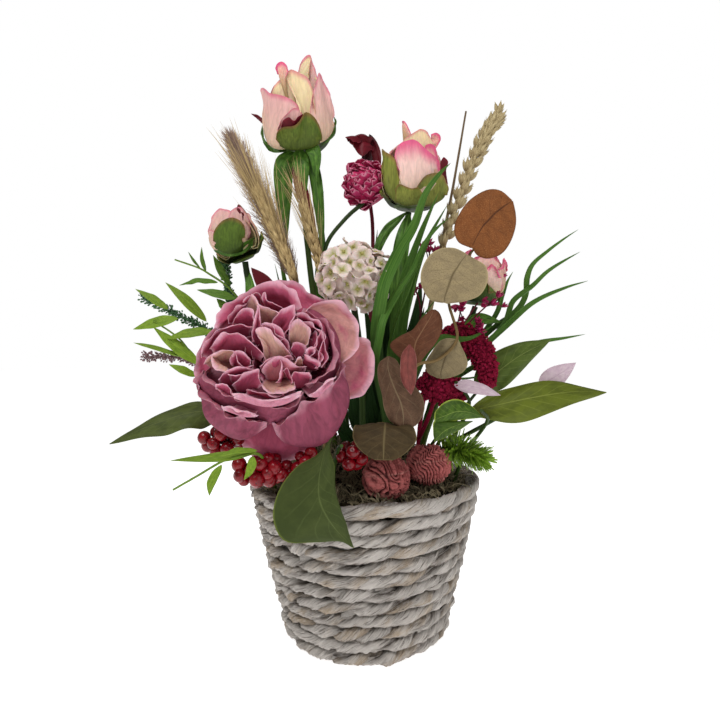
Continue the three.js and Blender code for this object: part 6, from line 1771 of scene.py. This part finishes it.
def makeAmaranth():
    head, random = Shape(), np.random.default_rng(17)
    for row in amaranth:
        head.tube(row["path"], [r * 0.8 for r in row["size"]], 14, tone=0.2)
        n = row["knobs"]
        shares, around = random.uniform(0, 1, n), random.uniform(0, 360, n)
        at, out, long, axes = spineFrames(row["path"], shares, around, random.uniform(50, 90, n))
        size = np.interp(shares, np.linspace(0, 1, len(row["size"])), row["size"])
        lump = 1 + 0.14 * waves(19, 7, 2, 6)(shares * 9, np.radians(around) * 2)
        knob = beadTemplate(0.9, 1.2, 6, 4)
        places = at + out * (size * lump * 0.93)[:, None]
        head.copies(knob, axes * random.uniform(0.6, 1.25, (n, 1, 1)), places, random.random(n))
    stem(head, [51,-16,179, 44,-12,160, 36,-12,120, 34,-12,80], 1.3)
    stem(head, [44,-40,152, 41,-26,134, 36,-12,118], 1.3)
    head.build("amaranth_heads", velvetFinish, "amaranth", slot="velvet")


makeAmaranth()


# Leaves

def greenFinish(name, blade, blotch, vein, edge, **more):
    values = {"Blade": blade, "Blotch": blotch, "Speckle": blade, "Vein": vein, "Edge": edge,
              "Midrib Width": 0.045, "Veins": 9.0, "Vein Share": 0.4, "Line Share": 0.6,
              "Speckle Share": 0.1, "Edge Width": 0.02, "Edge Share": 0.5}
    values.update(more.pop("values", {}))
    return material(name, leafGroup, values, **{"roughness": 0.55, "bump": 0.5, **more})


leaves = [
    ("leaf_front", "leaf", greenFinish("matt_leaf", "#364119", "#404b20", "#75824a", "#7d8a3a",
                                           roughness=0.7, values={"Line Share": 0.3}), [
        {"at": (-20, -80, 100),
         "left": [5.5,30.5,-8, -1.5,22.5,-5, -11.5,17,-6, -20.5,6,-3, -24,-7.5,1, -19,-19,3, -3.5,-20.5,2,
                  9,-20.5,0, 14.5,-23.5,-1],
         "middle": [5.5,30.5,-8, 1.5,22,-3, -0.5,13.5,1, -1.5,4.5,4, -0.5,-2,5, 2.5,-8.5,5, 6.5,-14.5,3,
                    10.5,-19,1, 15,-23.5,-1],
         "right": [5.5,30.5,-8, 4.5,24,-4, 6.5,17,-1, 6.5,10,1, 7,3.5,2, 9,-4.5,3, 11.5,-11.5,2, 13,-17.5,0,
                   15,-23.5,-1], "ripple": 0.4},
    ], [[-10,-72,125, -12,-62,122, -16,-48,104, -16,-44,80]]),
    ("leaf_left", "leaf_dark", greenFinish("dark_leaf", "#4f5a28", "#3e481f", "#6a7440", "#56612c"), [
        {"midrib": [-74,-42,140, -90,-48,142, -110,-54,137, -134,-58,127], "width": 17,
         "face": (0.1, -0.8, 0.6), "arch": 0.2, "ripple": 1.4},
    ], [[-78,-43.5,140.6, -66,-34,134, -50,-20,114, -44,-13,80]]),
    ("leaf_right_large", "leaf_olive", greenFinish("olive_leaf", "#5e691a", "#4e5815", "#8e9743",
                                                   "#7a8434"), [
        {"midrib": [62,-40,137, 78,-45,141, 98,-48,145, 118,-47,147, 138,-44,146], "width": 21,
         "face": (0, -0.9, 0.5), "arch": 0.16, "wave": 2.4, "waveCount": 1.5, "ripple": 1.2},
    ], [[66,-41,138, 54,-30,130, 40,-14,108, 37,-8,80]]),
    ("leaf_right_small", "leaf", greenFinish("bright_leaf", "#30480f", "#445f18", "#8ba04c", "#a2b244",
                                                 values={"Edge Width": 0.07, "Edge Share": 0.8}), [
        {"at": (52, -61, 142),
         "left": [6.8,-7.9,0, -4,-7.4,1, -13.4,-7.2,0, -14,-13,0, -13.6,-18,0],
         "middle": [6.8,-7.9,0, -1,-9.5,2, -8,-12.5,2, -11.5,-15.5,1, -13.6,-18,0],
         "right": [6.8,-7.9,0, 1,-11.5,0, -5,-14.5,0, -10,-17,0, -13.6,-18,0]},
        {"at": (52, -62, 142),
         "left": [11.5,-6,0, 4,-6.5,0, -2.5,-7,0, -8,-7.5,0, -13.5,-7.5,0],
         "middle": [12,-6,0, 5,-3,2, -2,-2.5,3, -8,-4.5,3, -13.5,-6.5,1],
         "right": [11.5,-5.5,0, 6,0.5,0, -1.5,4,0, -8,2.5,0, -13,-2.5,0]},
    ], [[64,-59,139.4, 70,-48,133, 62,-24,110, 52,-14,80]]),
    ("leaf_right_upper", "leaf_olive", greenFinish("upper_leaf", "#526424", "#415218", "#87944c",
                                                   "#6e7c36"), [
        {"midrib": [72,-14,146, 82,-17,156, 98,-20,168, 116,-22,177], "width": 21,
         "face": (-0.2, -1, -0.1), "arch": 0.16, "ripple": 1.4},
    ], [[74,-14.5,148, 64,-8,134, 48,2,108, 44,5,80]]),
    ("pale_petals", "pale_petal", greenFinish("pale_silk", "#bda5b2", "#c9b6bd", "#a888a0", "#d2c2c8",
                                              roughness=0.6, values={"Veins": 14.0, "Vein Share": 0.2}), [
        {"midrib": [52,-48,153, 59,-53,152.4, 67,-56,150, 75,-57,147], "width": 8, "face": (0, -1, 0.4),
         "ripple": 0.8},
        {"midrib": [104,-34,150, 114,-36,156, 124,-38,163], "width": 12, "face": (0, -1, 0.2),
         "ripple": 0.8},
    ], [[107,-34.4,151.8, 90,-29,137, 54,-19,115.5],
        [53,-48.4,154.4, 62,-40,142, 54,-18,114, 48,-12,80]]),
]


def makeLeaves():
    for number, (name, slot, finish, blades, stalks) in enumerate(leaves):
        shape, green = Shape(), Shape()
        for k, blade in enumerate(blades):
            make = leaf if "width" in blade else drawnLeaf
            make(shape, rows=34, columns=16, seed=50 + number * 3 + k, tone=0.5 + 0.2 * k, **blade)
        for path in stalks:
            stem(green, path, 0.9, 1.3)
        shape.build(name + "_blade", finish, name, slot=slot)
        green.build(name + "_stalk", greenStem, slot=slot)


makeLeaves()
print("leaves")


# Grass: blades in bunches

grassFinish = material("silk_grass", bladeGroup, {
    "Blade": "#325a18", "Light": "#55792b", "Patch": "#254313", "Foot": "#1b2c0d", "Ribs": 40.0,
    "Patch Share": 0.4,
}, bump=0.4, distance=0.0003)
# a darker copy of the grass silk for the blades deep in the bunch and behind: painted shade
shadedGrassFinish = material("shaded_grass", bladeGroup, {
    "Blade": "#183412", "Light": "#264718", "Patch": "#11250c", "Foot": "#0d1a08", "Ribs": 40.0,
    "Patch Share": 0.4,
}, roughness=0.65, bump=0.4, distance=0.0003)
grass = [
    ("grass_left", "grass", (-20, 18), [
        (6, [-24,17,150, -21,12,220, -25,14,300]), (8, [-29,20,140, -29,22,200, -21,18,284]),
        (6, [-40,20,150, -48,24,210, -56,30,256]),
    ]),
    ("grass_middle", "grass", (13, -22), [
        (8, [14,-34,140, 10.5,-46,172, 10,-50,183, 13.2,-52,202, 15.2,-50,210, 25,-38,230.5, 35,-31,247,
             42,-30,265, 51,-29,277, 57.4,-28,283]),
        (6.5, [20,-20,150, 24,-22,200, 38,-24,240, 51,-20,268]),
        (6.5, [22,-15,150, 30,-16,200, 42,-16,236, 57,-14,262]),
        (5, [30,-28,150, 40,-30,172, 48.5,-30,179.5, 58.5,-30,178.5, 67,-30,179.5, 80,-30,186.5]),
    ]),
    # the dark bunch and its many short extra blades fill the shaded gaps low in the bouquet with painted
    # shade
    ("grass_dark", "grass_deep", (16, 12), [
        (10, [18,6,140, 23,3,190, 30,2,236]), (12, [28,9,150, 38,8,190, 43,9,220]),
        (7, [14,22,150, 10,28,210, 16,38,262]), (13, [12,2,150, 15,0,190, 14,0,222]),
        (13, [20,0,150, 20,-2,190, 22,0,215]), (15, [0,-6,128, -6,-12,158]),
        (15, [6,-4,130, 4,-10,168]),
    ]),
    ("grass_right", "grass", (36, 22), [
        (4.4, [52,8,150, 77.5,-8,173.5, 91,-8,185, 110.5,-8,201, 131.5,-8,210, 146,-8,214]),
        (4.4, [56,14,150, 88,4,186, 100.5,6,194, 108,6,201.5, 111.5,6,209, 112.5,6,219, 116,6,227.5,
               126,6,236, 138,6,244.5, 147,6,250]),
        (4.4, [54,14,148, 89.5,2,182, 96.5,2,191.5, 101.5,2,203.5, 114,2,213, 124,2,222, 135.5,2,229,
               146,2,234.5]),
        (4, [60,20,150, 91.5,4,197, 95,4,208, 98.5,4,216.5, 102.5,4,223]),
        (4.2, [50,10,142, 84.5,-2,167, 102,-2,172, 117,-2,176.5, 133,-2,178.5, 146,-2,180.5]),
    ]),
    ("grass_back", "grass_deep", (-2, 38), [
        (8, [-6,46,150, -18,54,210, -34,60,258]), (8, [6,52,140, 16,62,190, 28,72,232]),
        (8, [-18,52,130, -38,62,170, -58,72,196]), (9, [16,56,120, 36,68,144, 60,80,150]),
    ]),
]
grassFoot = 96
extras = {"grass_dark": 6, "grass_right": 0, "grass_middle": 1}  # fine blades to a drawn one, otherwise 2


def makeGrass():
    random = np.random.default_rng(71)
    for name, slot, (x, y), blades in grass:
        shape = Shape()
        many, dark = extras.get(name, 2), name == "grass_dark"
        for k, (width, points) in enumerate(blades):
            points = threes(points)
            angle = 2 * math.pi * k / len(blades)
            start = (x + 1.2 * math.cos(angle), y + 1.2 * math.sin(angle), grassFoot)
            leaf(shape, [start, *points], width * 0.85, outline="grass", fold=0.35, ripple=0.7, rows=44,
                 columns=4, tone=random.random(), seed=300 + k, twist=random.uniform(-25, 25))
            for extra in range(many):
                shift = random.normal(0, 1, 3) * ([11, 6, 0] if dark else [5, 4, 0])
                short = random.uniform(0.3 if dark else 0.62, 0.9)
                path = [start] + [(x1, y1, grassFoot + (z1 - grassFoot) * short) + shift * (0.5 + 0.5 * i)
                                  for i, (x1, y1, z1) in enumerate(points)]
                leaf(shape, path, width * random.uniform(0.35, 0.6), outline="grass", fold=0.35, ripple=0.7,
                     rows=40, columns=4, tone=random.random(), seed=330 + 3 * k + extra,
                     twist=random.uniform(-60, 60))
        stem(shape, [(x, y, 99), (x, y, 90), (x, y, 80)], 2.2, 1.8)
        shape.build(name + "_blades", grassFinish if slot == "grass" else shadedGrassFinish, name, slot=slot)


makeGrass()


# Leafy stems: bamboo and willow

plainLeaf = {"Veins": 0.5, "Vein Share": 0.0}
bambooFinish = greenFinish("bamboo_leaf", "#7a962a", "#648220", "#a6bb58", "#90aa44", values=plainLeaf)
willowFinish = greenFinish("willow_leaf", "#587a26", "#486a1e", "#86a04e", "#6d8c38", values=plainLeaf)
bambooStem = stemFinish("bamboo_stem", "#52701f", "#7a9634", "#3c5618")
leafyStems = [
    ("bamboo_high", "bamboo", bambooFinish, 1.1,
     [-40,10,80, -50,2,110, -78,-14,156, -98,-20,170, -108,-23,184, -122,-26,195], [
         ([-92,-20,194, -103,-24,207, -114.4,-25,217.6], 6.5),
         ([-88.3,-20,188, -102,-24,187, -115.4,-25,183.5], 6.5),
         ([-96.6,-21,168, -110,-24,180, -122,-26,191], 7.5),
         ([-113.7,-24,201.8, -122,-25,208, -132,-26,214], 5),
         ([-107.9,-24,196, -122,-25,193.6, -134,-26,190], 7.5),
         ([-98.6,-20,161, -106,-24,165, -113.7,-25,168.5], 5),
         ([-104.9,-22,172.7, -122.8,-25,179, -134,-26,182], 3),
     ]),
    ("bamboo_low", "bamboo", bambooFinish, 0.9,
     [-50,-20,80, -51,-40,102, -50,-62,114, -52,-76,123, -60,-80,122.5, -67.3,-80,120.7, -80,-82,114,
      -91.7,-82,107.7], [
         ([-52,-78,124, -69.4,-80,122.6, -93.4,-80,121.5], 5),
         ([-68.4,-80,118.7, -73,-82,111, -74.3,-82,104.3], 4.5),
         ([-53.3,-79,122.4, -54,-81,117, -57.2,-82,111.6], 4.5),
         ([-51,-79,125, -60,-82,125.8, -69,-83,123.6], 3),
     ]),
    ("willow_twig", "stem", willowFinish, 0.9,
     [-44,22,80, -50,12,120, -66,-2,190, -79,-9,214, -93,-12,225, -97,-13,227.5, -112.4,-14,233.4], [
         ([-97,-13,227.5, -101,-14,233, -104,-14,238], 1.6),
         ([-94,-12,226, -95.5,-14,233, -95.6,-14,240.7], 2.6),
         ([-87,-11,219, -98,-14,220, -110,-14,217.4], 4),
         ([-79.8,-9,217, -85,-12,227, -88.6,-14,235.6], 5),
         ([-75,-14,208, -87,-16,211.5, -98.6,-16,214], 6),
         ([-80.9,-12,200.5, -84,-14,205, -86.6,-16,208.2], 5),
     ]),
]


def makeLeafyStems():
    for name, slot, finish, radius, path, blades in leafyStems:
        green, shape = Shape(), Shape()
        stem(green, path, radius, 0.5)
        for k, (midrib, width) in enumerate(blades):
            leaf(shape, midrib, width, (0.1, -1, 0.5), arch=0.1, fold=0.25, ripple=0.5, rows=26, columns=6,
                 tone=(k * 0.37) % 1, seed=400 + k)
        green.build(name + "_stalk", bambooStem, slot=slot)
        shape.build(name + "_leaves", finish, name, slot=slot)


makeLeafyStems()


# Heather: fine needles and tiny buds round a thin stem

heatherSprays = [
    ("heather_green", ("#35593a", "#55784f"), [
        [-84,9,176, -98,4,190, -114,0,199, -138,-2,212], [-78,6,196, -82,3,210, -84.5,1,223, -86,0,235],
    ], [[-86,8,178, -64,17,146, -46,26,112, -42,25,80], [-78.3,6,198, -72,10,172, -63,17,145]]),
    ("heather_brown", ("#6f5250", "#9a7f86"), [
        [-84,8,154, -98,2,166, -116,-2,173, -136,-4,174],
    ], [[-86,7.5,156, -56,26,118, -36,32,108, -34,32,80]]),
]
needlesPerSpike = 380


def makeHeather():
    random = np.random.default_rng(91)
    for name, (deep, pale), spikes, stalks in heatherSprays:
        finish = material(name + "_buds", bladeGroup, {
            "Blade": deep, "Light": pale, "Patch": deep, "Foot": deep, "Ribs": 4.0, "Patch Share": 0.3,
        }, roughness=0.7, bump=0.2)
        spray = Shape()
        for spike in spikes:
            n = needlesPerSpike
            shares = random.uniform(0, 1, n)
            around, lean = random.uniform(0, 360, n), random.uniform(30, 70, n)
            at, out, long, axes = spineFrames(spike, shares, around, lean)
            s = np.linspace(0, 1, 4)[None, :, None]
            spray.hairs(at[:, None] + long[:, None] * s * random.uniform(3, 5, (n, 1, 1)), 0.26,
                        random.random(n))
            tips = at + long * random.uniform(2.2, 4.6, (n, 1))
            bud = beadTemplate(0.62, 0.8, 6, 4)
            spray.copies(bud, axes * random.uniform(0.7, 1.2, (n, 1, 1)), tips, random.random(n))
            stem(spray, spike, 0.9, 0.5)
        for path in stalks:
            stem(spray, path, 0.9, 1.1)
        spray.build(name + "_spray", finish, name, slot=name)


makeHeather()


# Waxflower: round buds at the tips of a fine branching spray

waxStems = [
    [40,-6,196, 36,-4,150, 32,-2,112, 31,-2,80], [60,-2,178, 48,-2,160, 35.5,-3.6,146],
]
waxTips = [
    ((46.7, -8, 233), (40, -6, 196)), ((36.7, -8, 212.5), (40, -6, 190)), ((62.9, -20, 197), (60, -2, 178)),
    ((81.9, -20, 201.6), (60, -2, 178)), ((71.4, -26, 182.7), (60, -2, 178)),
    ((88.9, -5, 218.5), (60, -2, 178)),
]
waxFinish = material("wax_bud", petalGroup, {
    "Heart": "#4a0a20", "Body": "#8c1242", "Tint": "#a82e60", "Rim": "#b04a6c", "Heart Reach": 0.4,
    "Rim Width": 0.05, "Rim Share": 0.5, "Tip Share": 0.8, "Depth Share": 0.4, "Tint Share": 0.6,
}, roughness=0.45, bump=0.2)


def makeWaxflower():
    wood, buds, random = Shape(), Shape(), np.random.default_rng(55)
    turn = np.arange(5) * 2 * math.pi / 5
    waxFan = np.stack([np.cos(turn), np.sin(turn), 0 * turn], -1)
    waxPetal = grainTemplate(4.6, 2.2, 1.2, 0.2)
    for path in waxStems:
        stem(wood, path, 0.8, 1.0)
    for tip, fork in waxTips:
        tip, fork = np.array(tip, float), np.array(fork, float)
        stem(wood, [fork, (tip + fork) / 2 + [1, 0, 2], tip], 0.55, 0.45)
        for k in range(5):
            end = tip + random.normal(0, 1, 3) * [3.4, 3, 3]
            stem(wood, [tip - (tip - fork) * 0.12, (tip + end) / 2, end], 0.35, sides=5)
            aim = unit(end - fork + random.normal(0, 12, 3))
            fan = unit(aim + 0.55 * waxFan @ framesTowards(aim[None])[0].T)
            buds.copies(waxPetal, framesTowards(fan, 0, random.uniform(0.8, 1.2)), np.tile(end, (5, 1)),
                        random.random(5))
    wood.build("waxflower_twigs", wineStem, slot="wax_bud")
    buds.build("waxflower_buds", waxFinish, "waxflower", slot="wax_bud")


makeWaxflower()


# Needle tuft: flat soft needles round a short stem

needleFinish = material("soft_needle", bladeGroup, {
    "Blade": "#628a22", "Light": "#9cba40", "Patch": "#48701a", "Foot": "#2c4a12", "Ribs": 6.0,
    "Patch Share": 0.4,
}, roughness=0.5, bump=0.2)
needleTuft = {"spine": [47,-28,114, 56,-36,114.5, 65,-42,112], "needles": 460, "long": 11.5, "wide": 1.5}


def makeNeedles():
    tuft, random = Shape(), np.random.default_rng(62)
    n = needleTuft["needles"]
    shares = random.uniform(0, 1, n)
    around, lean = random.uniform(0, 360, n), 68 - 45 * shares + random.normal(0, 12, n)
    at, out, long, axes = spineFrames(needleTuft["spine"], shares, around, lean)
    s, t = np.linspace(0, 1, 7)[:, None], np.linspace(-1, 1, 3)[None]
    half = needleTuft["wide"] / 2 * np.sin(math.pi * (0.14 + 0.76 * s)) ** 0.6
    template = Shape()
    template.sheet(np.stack([t * half, 1.6 * s**2 + 0 * t, needleTuft["long"] * s + 0 * t], -1), 0.3)
    tuft.copies(template, axes * random.uniform(0.7, 1.15, (n, 1, 1)), at, random.random(n))
    stem(tuft, [65,-42,112, 56,-36,114.5, 48,-28,112, 46,-20,100, 45,-18,80], 0.9, 1.6)
    tuft.build("needle_tuft_sprig", needleFinish, "needle_tuft", slot="needle")


makeNeedles()
print("greens")


# The film liner and the foam block keep their own shape

def grainPattern(tree, given):
    # For solids without a map of their own: fine grain and soft patches in space
    place = put(tree, "TexCoord", output="Object")
    fine = noise(place, [given["Grain Rate"]] * 3, 4, 0.6)
    broad = noise(place, [given["Patch Rate"]] * 3)
    body = mixed(spanned(broad, 0.35, 0.65), given["Base"], given["Patch"])
    return {"Color": mixed(spanned(fine, 0.6, 0.35), body, given["Pore"]), "Height": fine}


grainGroup = group("Grain In Space", ["Base", "Patch", "Pore"], {"Grain Rate": 900.0, "Patch Rate": 60.0},
                   grainPattern)
keptFinishes = {
    "liner": material("clear_film", grainGroup, {"Base": "#d3d6d2", "Patch": "#c6cac4", "Pore": "#b8bdb7",
                                                 "Grain Rate": 200.0}, roughness=0.35, bump=0.1),
    "foam": material("dry_foam", grainGroup, {"Base": "#4d6b44", "Patch": "#45613d", "Pore": "#2c4027"},
                     roughness=0.95, bump=0.8),
}
for node, finish in keptFinishes.items():
    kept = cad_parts[node].data.materials
    kept.clear()
    kept.append(finish)
